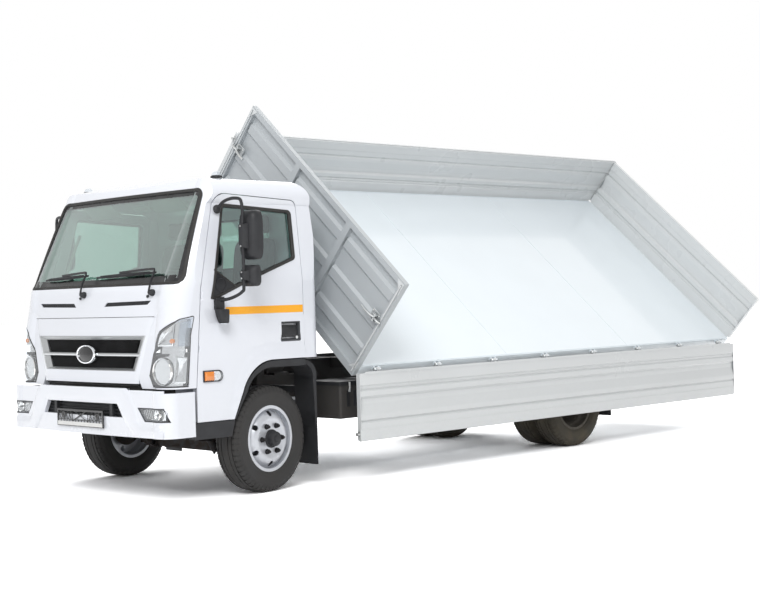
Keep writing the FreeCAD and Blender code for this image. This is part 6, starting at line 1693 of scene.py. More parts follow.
@dataclass
class CabInside:
    """Steering wheel, instruments, vents, visors, mirror, lining and grab handles."""

    truck: Stations

    def wheel(self) -> None:
        """Steering wheel with a thick rim, three spokes and a padded boss, on its column."""
        shape = Shape()
        lean = Vector((-0.5, 0.0, 0.866))
        hub = Vector((0.232, 0.48, 1.64))
        across, up = Vector((0, 1, 0)), Vector((0.866, 0, 0.5))
        rings = []
        for t in turns(56):
            out = across * math.cos(t) + up * math.sin(t)
            grip = 0.0165 - 0.0012 * (1 + math.cos(t * 14)) * (math.sin(t) < 0.2)
            rings.append([hub + lean * 0.02 + out * (0.205 + grip * math.cos(a)) + lean * (grip * math.sin(a))
                          for a in turns(12)])
        shape.rows([*rings, rings[0]], 0, around=True)
        for angle in (0.15, math.pi - 0.15, -math.pi / 2):
            out = across * math.cos(angle) + up * math.sin(angle)
            shape.tube([hub + out * 0.04, hub + out * 0.12 + lean * 0.004, hub + out * 0.2 + lean * 0.02],
                       [0.03, 0.021, 0.017], 0, 12, 0.55)
        shape.turned([(0.0, -0.03), (0.05, -0.024), (0.072, 0.0), (0.07, 0.016), (0.05, 0.026), (0.0, 0.031)],
                     hub, lean, 32, 0)
        shape.turned([(0.0, -0.2), (0.044, -0.2), (0.04, -0.06), (0.034, -0.022), (0.0, -0.022)], hub, lean,
                     20, 0)
        for y in (-0.13, 0.13):
            shape.tube([hub - lean * 0.06, hub - lean * 0.05 + Vector((0, y * 0.6, 0.0)), hub - lean * 0.035
                        + Vector((0, y, 0))], [0.01, 0.008, 0.009], 0, 8)
        piece("steering_wheel", shape, [BLACK_PP], self.truck.home("cab", "dash_plastic"), sharp=40)

    def cockpit(self) -> None:
        """Instrument hood with dials, centre stack, vents, door cards, visors and roof lining."""
        home = self.truck.home("cab", "dash_plastic")
        dash = Shape()
        hood = []
        for y in (0.26, 0.3, 0.48, 0.66, 0.7):
            rise = 0.0 if y in (0.26, 0.7) else 0.05
            hood.append([Vector((x, y, z))
                         for x, z in ((0.44, 1.555), (0.446, 1.57 + rise), (0.5, 1.596 + rise),
                                      (0.6, 1.602 + rise * 0.3), (0.64, 1.592))])
        dash.rows(hood, 0)
        for y, size in ((0.41, 0.052), (0.55, 0.052), (0.48, 0.026)):
            dash.turned([(size, 0.0), (size, 0.01), (size * 0.9, 0.01), (size * 0.88, 0.002), (0.0, 0.002)],
                        (0.439, y, 1.52), (-1, 0, 0.25), 28, 1)
        for k in range(12):
            row, col = divmod(k, 4)
            dash.block((0.404, -0.125 + col * 0.065, 1.395 + row * 0.03),
                       (0.412, -0.075 + col * 0.065, 1.418 + row * 0.03), 1)
        for y in (-0.86, -0.34, 0.14, 0.86):
            dash.band(rect(y - 0.06, 1.488, y + 0.06, 1.548),
                      [(0.0, 0.004), (0.0, -0.008), (0.008, -0.008), (0.009, 0.004)],
                      lambda a, b, d: Vector((0.445 + d, a, b)), 1)
            for k in range(4):
                dash.block((0.44, y - 0.05, 1.499 + 0.011 * k), (0.448, y + 0.05, 1.503 + 0.011 * k), 1)
        piece("dashboard_fittings", dash, [GREY_ABS, BLACK_ABS], home, sharp=30)
        pale = Shape()
        roof = [[Vector((x, y, 2.395 - 0.03 * (y / 0.95) ** 4 - 0.35 * max(0.0, x - 0.22)))
                 for y in np.linspace(-0.95, 0.95, 13)] for x in (-0.5, -0.3, -0.05, 0.22, 0.3, 0.345)]
        pale.rows(roof, 0)
        for y in (-0.5, 0.42):
            pale.tube([(0.395, y - 0.21, 2.262), (0.395, y + 0.21, 2.262)], 0.075, 0, 18, 0.14)
        for side in Side:
            pale.tube(smooth_path([(0.515, side.value * 0.968, 1.74), (0.47, side.value * 0.945, 1.78),
                                   (0.415, side.value * 0.935, 1.93), (0.33, side.value * 0.958, 2.09)], 5),
                      0.013, 0, 10)
            card = [(0.5, 1.12), (0.1, 1.12), (-0.02, 1.16), (-0.36, 1.16), (-0.36, 1.77), (0.08, 1.63),
                    (0.46, 1.5)]
            place = CabForm.flank(side)
            door = Shape()
            door.skin(resampled(card, 0.08), lambda x, z, d, p=place: p(x, z, 0.058 - d), 0.08, 0,
                      lip=((0.0, -0.004),))
            door.pushed([(-0.3, 1.4), (0.3, 1.4), (0.3, 1.45), (-0.3, 1.47)], place, 0.06, 0.105, 1)
            door.pushed([(-0.3, 1.18), (0.26, 1.16), (0.26, 1.27), (-0.3, 1.27)], place, 0.058, 0.095, 1)
            piece(f"{side.word}_door_card", door, [GREY_ABS, BLACK_PP],
                  self.truck.home(f"{side.word}_door", "black_plastic"), bevel=0.003)
        pale.tube([(0.36, 0.0, 2.35), (0.345, 0.0, 2.29)], 0.008, 0, 8)
        pale.tube([(0.335, -0.11, 2.255), (0.335, 0.11, 2.255)], 0.032, 0, 16, 0.35)
        piece("cab_lining", pale, [PALE_LINING], home, sharp=35)

    def build(self) -> None:
        """Builds the inside."""
        self.wheel()
        self.cockpit()


def onto(reach: Callable[[float, float], Vector], step: float = 0.002) -> Place:
    """Makes a place from a surface's points: two coordinates along it, and a depth below it."""
    def place(a: float, b: float, depth: float) -> Vector:
        along = reach(a + step, b) - reach(a - step, b)
        up = reach(a, b + step) - reach(a, b - step)
        return reach(a, b) - along.cross(up).normalized() * depth
    return place


@dataclass
class Headlamps:
    """Clear lamps wrapped round the cab's corners: bowl, ring, divider, turn lamp and fluted side."""

    truck: Stations
    root: float = 0.785
    length: float = 0.42

    def wrap(self, side: Side) -> Place:
        """Maps (distance round the corner from the lamp's inner edge, z, depth) onto the cab."""
        ys = [self.root + (CabForm.half - self.root) * (1 - (1 - k / 80) ** 2) for k in range(81)]
        spots = [(CabForm.plan(y, CabForm.fill), y) for y in ys]
        runs = [0.0]
        for a, b in zip(spots, spots[1:]):
            runs.append(runs[-1] + math.hypot(b[0] - a[0], b[1] - a[1]))

        def reach(run: float, z: float) -> Vector:
            y = float(np.interp(run, runs, ys)) if run > 0 else self.root + run
            return Vector((CabForm.reach(y, z) - max(0.0, run - runs[-1]), side.value * y, z))
        flat = onto(reach)
        return flat if side is Side.LEFT else lambda a, b, d: flat(a, b, -d)

    def rim(self, grown: float) -> list[Point2]:
        """The lamp's outline as (distance round the corner, z), made smaller by grown."""
        run = [(0.0, 0.955), (0.047, 0.871), (0.2, 0.871), (0.369, 0.871), (0.388, 0.9), (0.406, 1.12),
               (0.42, 1.375), ("arc", (0.414, 1.391), (0.398, 1.394)), (0.3, 1.376), (0.147, 1.287),
               (0.048, 1.12)]
        return resampled(offset(outline(run, 1.0), grown), 0.035)

    def build_side(self, side: Side) -> None:
        """Builds one lamp."""
        place = self.wrap(side)
        home = self.truck.home("cab", "lamp_lens")
        body = Shape()
        body.band(self.rim(0.0), [(0.0008, -0.001), (0.0075, -0.002), (0.0085, 0.006), (0.0085, 0.04),
                                  (0.0008, 0.042)], place, 0)
        body.skin(self.rim(0.008), lambda a, b, d: place(a, b, d + 0.038), 0.045, 1,
                  lip=((0.0, 0.001), (0.0, 0.002)))
        body.pushed(offset([(0.045, 1.122), (0.415, 1.122), (0.417, 1.154), (0.062, 1.154)], 0.004),
                    place, 0.007, 0.037, 1)
        body.pushed([(0.1, 1.09), (0.2, 1.1), (0.22, 1.118), (0.1, 1.118)], place, 0.01, 0.03, 0)
        # Reflector pockets: a faceted wing beside the bowl and one over the divider.
        for loop in ([(0.275, 0.9), (0.375, 0.9), (0.392, 1.09), (0.3, 1.1)],
                     [(0.1, 1.175), (0.27, 1.175), (0.27, 1.345), (0.16, 1.275)]):
            middle = Vector(loop[0]).lerp(Vector(loop[2]), 0.5)
            rings = []
            for share, depth in ((0.0, 0.012), (0.1, 0.01), (0.55, 0.034), (1.0, 0.037)):
                ring = [Vector(p).lerp(middle, share) for p in resampled(loop, 0.03)]
                rings.append([place(p.x, p.y, depth) for p in ring])
            body.rows(rings, 1, around=True)
        for k in range(9):
            a = 0.318 + 0.0108 * k
            body.tube([place(a, 1.172, 0.012), place(a, 1.25, 0.01), place(a, 1.352 + 0.0012 * k, 0.012)],
                      0.0048, 2, 8)
        hub = Vector((place(0.168, 0.985, 0.0).x - 0.026, side.value * 0.936, 0.985))
        ahead = Vector((1.0, side.value * 0.1, 0.0)).normalized()
        body.turned([(0.106, -0.004), (0.106, 0.006), (0.1, 0.011), (0.094, 0.008), (0.092, -0.004)], hub,
                    ahead, 48, 1, closed=True)
        bowl = [(0.092, -0.002), (0.086, -0.016), (0.074, -0.03), (0.058, -0.041), (0.038, -0.049),
                (0.02, -0.052), (0.0, -0.052)]
        body.turned(bowl, hub, ahead, 12, 1)
        body.turned([(0.0, -0.052), (0.012, -0.05), (0.012, -0.022), (0.008, -0.012), (0.0, -0.01)], hub,
                    ahead, 16, 1)
        for lean in (-0.5, 0.5):
            across = Vector((0.0, math.cos(lean), math.sin(lean)))
            body.tube([hub + across * -0.088 + ahead * -0.008, hub + across * 0.088 + ahead * -0.008], 0.0035,
                      1, 6, 0.5)
        turn = place(0.262, 1.212, 0.018)
        body.turned([(0.0, -0.01), (0.017, -0.008), (0.019, 0.006), (0.013, 0.016), (0.0, 0.02)], turn, ahead,
                    18, 3)
        piece(f"{side.word}_headlamp_body", body, [SEAL_BLACK, REFLECTOR, CLEAR_LENS, AMBER_LENS], home,
              sharp=24, replaces=["headlamps"] if side is Side.LEFT else [])
        lens = Shape()
        lens.skin(self.rim(0.007), lambda a, b, d: place(a, b, d - 0.004), 0.05, 0, lip=((0.0, 0.006),))
        piece(f"{side.word}_headlamp_lens", lens, [CLEAR_LENS], home, sharp=30)

    def build(self) -> None:
        """Builds both lamps."""
        for side in Side:
            self.build_side(side)


@dataclass
class Bumper:
    """The bumper's raised frame, its dark mouth, the fog lamps and the empty plate carrier."""

    truck: Stations
    nose: float = 0.975
    half: float = 1.097
    tail_plate_x: float = -6.2345

    def reach(self, y: float, z: float) -> Vector:
        """A point of the bumper's outside at a width and a height."""
        return Vector((bowed(y, self.nose, (0.945, 0.92), (0.925, 1.055), (0.84, self.half)), y, z))

    def raised_frame(self) -> None:
        """Raised frame round the mouth, running down and out into the bumper's lower lip."""
        place = onto(self.reach)
        right = [(0.0, 0.64), (0.0, 0.864), (0.606, 0.864), (0.655, 0.838), (0.712, 0.735), (0.762, 0.622),
                 (0.79, 0.6), (1.03, 0.6), (1.04, 0.56), (1.04, 0.503), (0.69, 0.503), (0.557, 0.643),
                 (0.49, 0.745), (0.0, 0.745)]
        lines = flanks(right[2:9], 0.02) + flanks(right[10:14], 0.02)
        loop = right[2:14] + mirrored(right[12:1:-1], Side.RIGHT)
        shape = Shape()
        shape.skin(resampled(loop, 0.04), place, 0.03, 0, relief=raised(lines, 0.0125, 0.0, 0.022, 0.0006),
                   lip=((0.0, 0.004), (-0.001, 0.006)),
                   lines=flanks([(0.59, 0.835), (0.628, 0.82), (0.69, 0.725), (0.735, 0.625)], 0.02))
        lip = [-0.606 + 0.0505 * k for k in range(25)]
        shape.rows([[place(y, z, d) for y in lip] for z, d in
                    ((0.864, 0.004), (0.8645, 0.006), (0.861, 0.034), (0.834, 0.036))], 0)
        for s in (1, -1):
            edge = [s * (0.64 + 0.0254 * k) for k in range(17)]
            shape.rows([[place(y, z, d) for y in edge]
                        for z, d in ((0.8322, 0.001), (0.848, 0.001), (0.851, 0.004), (0.851, 0.014),
                                     (0.8322, 0.016))], 0)
        piece("bumper_raised_frame", shape, [CAB_WHITE], self.truck.home("chassis", "cab_paint"), sharp=28)
        dark = Shape()
        dark.pushed([(-0.62, 0.64), (0.62, 0.64), (0.56, 0.752), (-0.56, 0.752)], place, 0.046, 0.05, 0)
        for z in (0.668, 0.694, 0.72):
            dark.tube([place(-0.53 + 0.053 * k, z, 0.04) for k in range(21)], 0.005, 0, 6)
        for y in (-0.394, 0.394):
            dark.pushed(rect(y - 0.017, 0.6445, y + 0.017, 0.7435), place, 0.012, 0.048, 0)
        dark.tube([place(-0.5, 0.836, 0.03), place(0.0, 0.836, 0.03), place(0.5, 0.836, 0.03)], 0.004, 0, 6)
        piece("bumper_mouth_grid", dark, [BLACK_PP], self.truck.home("chassis", "black_plastic"), sharp=35)

    def plate_carrier(self) -> None:
        """Openwork plate carrier with a blank pale strip and no plate in it, and the blank rear plate."""
        shape = Shape()
        x, half, low, high = 0.984, 0.325, 0.552, 0.686

        def flat(y: float, z: float, depth: float) -> Vector:
            return Vector((x - depth, y, z))
        shape.band(rect(-half, low, half, high),
                   [(0.0, 0.004), (0.0, -0.003), (0.003, -0.0048), (0.016, -0.004), (0.018, 0.004)], flat, 0)
        shape.pushed(rect(-half + 0.01, low + 0.006, half - 0.01, low + 0.036), flat, -0.0046, 0.004, 1)
        bars = [(-0.11, 0.59, -0.11, 0.68), (0.11, 0.59, 0.11, 0.68), (-0.11, 0.592, 0.0, 0.636),
                (0.11, 0.592, 0.0, 0.636), (-0.1, 0.68, 0.0, 0.636), (0.1, 0.68, 0.0, 0.636),
                (0.0, 0.636, 0.0, 0.68), (-0.31, 0.603, 0.31, 0.603)]
        for s in (-1, 1):
            for k in range(4):
                a = s * (0.125 + 0.048 * k)
                bars += [(a, 0.604, a + s * 0.046, 0.672), (a + s * 0.046, 0.604, a, 0.672)]
            for k in range(7):
                bars.append((s * (0.02 + 0.042 * k), 0.588, s * (0.02 + 0.042 * k), 0.604))
        for a, b, c, d in bars:
            shape.tube([flat(a, b, 0.0), flat(c, d, 0.0)], 0.0052, 0, 6, 0.5)
        for a in (-0.24, 0.24):
            shape.turned([(0.0, 0.0), (0.026, 0.0), (0.024, 0.003), (0.01, 0.004), (0.009, 0.001),
                          (0.0, 0.001)], flat(a, 0.64, 0.001), AHEAD, 20, 0)
        home = self.truck.home("chassis", "plate_blank")
        piece("front_plate_carrier", shape, [BLACK_ABS, PLATE_WHITE], home, sharp=30,
              replaces=["number_plates"])
        tail = Shape()
        tail.pushed(rect(-0.262, 0.602, 0.262, 0.71),
                    lambda y, z, d: Vector((self.tail_plate_x + d, y, z)), -0.003, 0.0015, 0)
        tail.band(rect(-0.265, 0.6, 0.265, 0.712), [(0.0, 0.0), (0.0, -0.007), (0.007, -0.007), (0.009, 0.0)],
                  lambda y, z, d: Vector((self.tail_plate_x + d, y, z)), 1)
        for y in (-0.18, 0.18):
            tail.turned([(0.0, 0.0), (0.007, 0.0), (0.006, 0.004), (0.0, 0.005)], (-6.2375, y, 0.656),
                        BACK, 12, 1)
        piece("rear_plate_blank", tail, [PLATE_WHITE, BLACK_ABS], home, bevel=0.0005)

    def fog_lamp(self, side: Side) -> None:
        """A fog lamp: surround, round bowl, side pocket and clear lens."""
        base = onto(self.reach)
        place = base if side is Side.LEFT else (lambda a, b, d: base(-a, b, d))
        loop = outline([(825, 620), (1066, 620), (1066, 690), (1040, 724), (742, 724)])
        home = self.truck.home("chassis", "lamp_lens")
        body = Shape()
        body.band(resampled(offset(loop, 0.001), 0.03),
                  [(0.0, 0.006), (0.0, -0.001), (0.01, 0.004), (0.014, 0.034), (0.008, 0.036)], place, 0)
        body.skin(resampled(offset(loop, 0.01), 0.04), lambda a, b, d: place(a, b, d + 0.032), 0.04, 1,
                  lip=((0.0, 0.001),))
        hub = place(0.968, 0.672, 0.02)
        ahead = (place(0.95, 0.672, -0.1) - place(0.95, 0.672, 0.0)).normalized()
        body.turned([(0.046, -0.014), (0.046, 0.004), (0.042, 0.008), (0.039, 0.004), (0.034, -0.006),
                     (0.02, -0.012), (0.0, -0.013)], hub, ahead, 28, 1)
        body.turned([(0.0, -0.012), (0.009, -0.011), (0.009, 0.002), (0.0, 0.005)], hub, ahead, 14, 2)
        for k in range(6):
            a = 0.8 + 0.021 * k
            body.tube([place(a + 0.012, 0.64, 0.024), place(a - 0.006, 0.706, 0.024)], 0.006, 1, 6)
        piece(f"{side.word}_fog_lamp_body", body, [GREY_ABS, REFLECTOR, BLACK_ABS], home, sharp=28,
              replaces=["fog_lamps"] if side is Side.LEFT else [])
        lens = Shape()
        lens.skin(resampled(offset(loop, 0.009), 0.04), lambda a, b, d: place(a, b, d + 0.004), 0.05, 0,
                  lip=((0.0, 0.005),))
        piece(f"{side.word}_fog_lamp_lens", lens, [CLEAR_LENS], home, sharp=30)

    def build(self) -> None:
        """Builds the bumper's details."""
        self.raised_frame()
        self.plate_carrier()
        for side in Side:
            self.fog_lamp(side)


@dataclass
class BedFittings:
    """Hinge pins and straps, latches, foot strips and weld seams of the bed."""

    truck: Stations
    front: float = -0.926
    rear: float = -6.383
    first: float = 0.174
    last: float = 0.2031
    count: int = 8
    board_mid: float = 1.234
    board_face: float = 1.2542
    head_face: float = -0.8795
    gate_face: float = -6.4285
    plate: float = 0.004

    def hinge_xs(self) -> list[float]:
        """Stations of the side hinges."""
        step = (self.front - self.rear - self.first - self.last) / (self.count - 1)
        return [self.front - self.first - k * step for k in range(self.count)]

    def board_home(self, side: Side) -> Home:
        """A home on a side board."""
        return self.truck.home(f"{side.word}_board", "bed_paint")

    @staticmethod
    def bolt(shape: Shape, base: Vector, way: Vector, size: float = 0.009, kind: int = 0) -> None:
        """Adds a washer and a hexagon head."""
        shape.turned(rect(0.0, 0.0, size * 1.5, size * 0.25), base, way, 16, kind)
        shape.turned([(size, size * 0.25), (size, size * 0.8), (size * 0.8, size), (0.0, size)], base, way, 6,
                     kind)

    def hinges(self) -> None:
        """Pin heads and washers of the hinges, and the strap and bolts on each board over them."""
        pins = Shape()
        boards = {Side.LEFT: Shape(), Side.RIGHT: Shape()}
        for x in self.hinge_xs():
            for side in Side:
                y, z = side.value * BOARD_HINGE.x, BOARD_HINGE.y
                for end in (-1, 1):
                    base = Vector((x + end * 0.033, y, z))
                    pins.turned([(0.0, 0.0), (0.015, 0.0), (0.015, 0.003), (0.011, 0.007), (0.0, 0.008)],
                                base, (end, 0, 0), 16, 0)
                    pins.tube([base + Vector((end * 0.004, 0, 0.01)),
                               base + Vector((end * 0.004, 0, -0.016))], 0.002, 0, 5)
                strap = boards[side]
                strap.pushed([(x - 0.022, 1.146), (x + 0.022, 1.146), (x + 0.018, 1.232), (x - 0.018, 1.232)],
                             lambda a, b, d, s=side: Vector((a, s.value * (self.board_face + d), b)), -0.003,
                             0.0036, 0)
                for level in (1.172, 1.212):
                    self.bolt(strap, Vector((x, side.value * (self.board_face + 0.0036), level)), side.way,
                              0.0085, 1)
        piece("bed_hinge_pin_heads", pins, [ZINC], self.truck.home("bed", "bed_paint"), sharp=35)
        for side, strap in boards.items():
            piece(f"{side.word}_board_hinge_straps", strap, [BED_GREY, ZINC], self.board_home(side),
                  bevel=0.0012)

    def board_ends(self) -> None:
        """Striker pin and plate at the front end of each side board, and its rolled top edge."""
        for side in Side:
            shape = Shape()
            y = side.value * self.board_mid
            x = self.front + 0.046
            shape.turned([(0.0, 0.0), (0.017, 0.0), (0.017, 0.004), (0.01, 0.006), (0.01, 0.024),
                          (0.014, 0.026), (0.014, 0.031), (0.0, 0.033)], (x, y, 1.64), AHEAD, 18, 1)
            shape.solid([[(x + d, y + s * 0.017, z) for s, z in rect(-1, 1.6, 1, 1.68)]
                        for d in (0.0, 0.0035)])
            top = [Vector((self.rear - 0.052 + (self.front + 0.042 - self.rear + 0.052) * k / 30, y, 1.6955))
                   for k in range(31)]
            shape.tube(top, 0.0085, 0, 8, 0.45)
            piece(f"{side.word}_board_end_fittings", shape, [BED_GREY, ZINC], self.board_home(side), sharp=32)

    @staticmethod
    def local(spot: Vector, out: Vector, along: Vector) -> Place:
        """Maps (distance along, distance across, height) from a fitting's base into space."""
        up = out.cross(along)
        return lambda a, b, c: spot + along * a + up * b + out * c

    def latch(self, shape: Shape, spot: Vector, out: Vector, along: Vector) -> None:
        """Adds a lever latch.

        Args:
            shape: Gets the latch.
            spot: Middle of its base.
            out: Direction away from the sheet.
            along: Direction towards the board it holds.
        """
        at = self.local(spot, out, along)
        plate = [(-0.05, -0.045), (0.04, -0.045), (0.055, -0.02), (0.055, 0.02), (0.04, 0.045),
                 (-0.05, 0.045)]
        shape.pushed(plate, at, 0.0, 0.006, 0)
        for b in (-0.026, 0.026):
            shape.solid([[at(a, b + s, c) for a, c in ((-0.02, 0.005), (0.034, 0.005), (0.03, 0.034),
                                                       (0.0, 0.04))] for s in (-0.003, 0.003)])
        shape.tube([at(0.012, -0.036, 0.026), at(0.012, 0.036, 0.026)], 0.008, 1, 12)
        shape.tube([at(0.012, 0, 0.026), at(0.045, 0, 0.036), at(0.075, 0, 0.03), at(0.09, 0, 0.016)],
                   [0.011, 0.01, 0.009, 0.008], 1, 10)
        shape.tube([at(0.012, 0, 0.026), at(-0.02, 0, 0.046), at(-0.075, 0, 0.058), at(-0.135, 0, 0.052)],
                   [0.011, 0.01, 0.009, 0.011], 1, 10)
        for a, b in ((-0.038, -0.032), (-0.038, 0.032), (0.04, -0.03), (0.04, 0.03)):
            self.bolt(shape, at(a, b, 0.006), out, 0.006, 1)

    def slide_bolt(self, shape: Shape, spot: Vector, out: Vector, along: Vector) -> None:
        """Adds a flat slide bolt that stands off the sheet by 10 mm.

        Args:
            shape: Gets the slide bolt.
            spot: Middle of its base.
            out: Direction away from the sheet.
            along: Direction towards the board it holds.
        """
        at = self.local(spot, out, along)
        shape.pushed(rect(-0.075, -0.03, 0.075, 0.03), at, 0.0, 0.003, 0)
        for a in (-0.048, 0.048):
            for b in (-0.01, 0.01):
                shape.solid([[at(a + t, b + s, c)
                              for s, c in ((-0.004, 0.003), (0.004, 0.003), (0.002, 0.0095),
                                           (-0.002, 0.0095))] for t in (-0.01, 0.01)])
        shape.tube([at(-0.07, 0, 0.0064), at(0.105, 0, 0.0064)], 0.0034, 1, 10)
        shape.tube([at(0.0, 0, 0.0064), at(-0.003, 0.018, 0.0066), at(-0.012, 0.06, 0.0066)], 0.0034, 1, 10)
        for a, b in ((-0.064, -0.021), (-0.064, 0.021), (0.064, -0.021), (0.064, 0.021)):
            self.bolt(shape, at(a, b, 0.003), out, 0.006, 1)

    def latches(self) -> None:
        """Lever latches on the headboard, one on each side, and slide bolts at the tailgate's corners."""
        shape = Shape()
        for side in Side:
            self.latch(shape, Vector((self.head_face, side.value * 1.11, 1.6)), AHEAD, side.way)
            shape.tube([(-0.874, side.value * 1.184, 1.075), (-0.874, side.value * 1.184, 1.98)], 0.006, 0, 8)
            for z in (1.1, 1.98):
                shape.solid([[(self.head_face + d, side.value * y, z + s)
                              for y, s in ((1.205, 0.02), (1.205, -0.09 if z > 1.5 else 0.09),
                                           (1.12, 0.02 if z > 1.5 else -0.02))] for d in (0.0, self.plate)])
        piece("headboard_latches", shape, [BED_GREY, ZINC], self.truck.home("bed", "bed_paint"), sharp=34)
        tail = Shape()
        for side in Side:
            self.slide_bolt(tail, Vector((self.gate_face, side.value * 1.105, 1.6)), BACK, side.way)
        for y in (-0.9, 0.0, 0.9):
            tail.solid([[(self.gate_face - d, y + a, z)
                         for a, z in ((-0.022, 1.155), (0.022, 1.155), (0.018, 1.24), (-0.018, 1.24))]
                        for d in (0.0, self.plate)])
            for z in (1.178, 1.216):
                self.bolt(tail, Vector((self.gate_face - self.plate, y, z)), BACK, 0.006, 1)
        piece("tailgate_latches", tail, [BED_GREY, ZINC], self.truck.home("tailgate", "bed_paint"), sharp=34)

    def floor_details(self) -> None:
        """Weld seams across the floor and along its edges."""
        shape = Shape()
        for x in (-2.75, -4.57):
            shape.tube([(x, -1.19 + 0.119 * k, 1.14) for k in range(21)], 0.0032, 0, 6, 0.6)
        for side in Side:
            y = side.value * 1.196
            shape.tube([(self.front - 0.01 + (self.rear - self.front + 0.02) * k / 40, y, 1.1405)
                        for k in range(41)], 0.005, 0, 6, 0.6)
        piece("bed_floor_weld_seams", shape, [FLOOR_WHITE], self.truck.home("bed", "floor_paint"), sharp=50)

    def foot_strips(self) -> None:
        """Pressed strips on the boards' feet that close the slit over the floor's edge."""
        for side in Side:
            shape = Shape()
            ends = [self.front - 0.012, self.rear + 0.012]
            shape.solid([[(x, side.value * y, z)
                          for y, z in ((1.2106, 1.1385), (1.2136, 1.1375), (1.2136, 1.156), (1.2106, 1.16))]
                         for x in ends])
            piece(f"{side.word}_board_foot_strip", shape, [BED_GREY], self.board_home(side), bevel=0.0005)
        gate = Shape()
        gate.solid([[(x, y, z) for x, z in ((-6.3846, 1.1385), (-6.3876, 1.1375), (-6.3876, 1.156),
                                            (-6.3846, 1.16))] for y in (-1.19, 1.19)])
        piece("tailgate_foot_strip", gate, [BED_GREY], self.truck.home("tailgate", "bed_paint"), bevel=0.0005)

    def build(self) -> None:
        """Builds the bed's fittings."""
        self.foot_strips()
        self.hinges()
        self.board_ends()
        self.latches()
        self.floor_details()


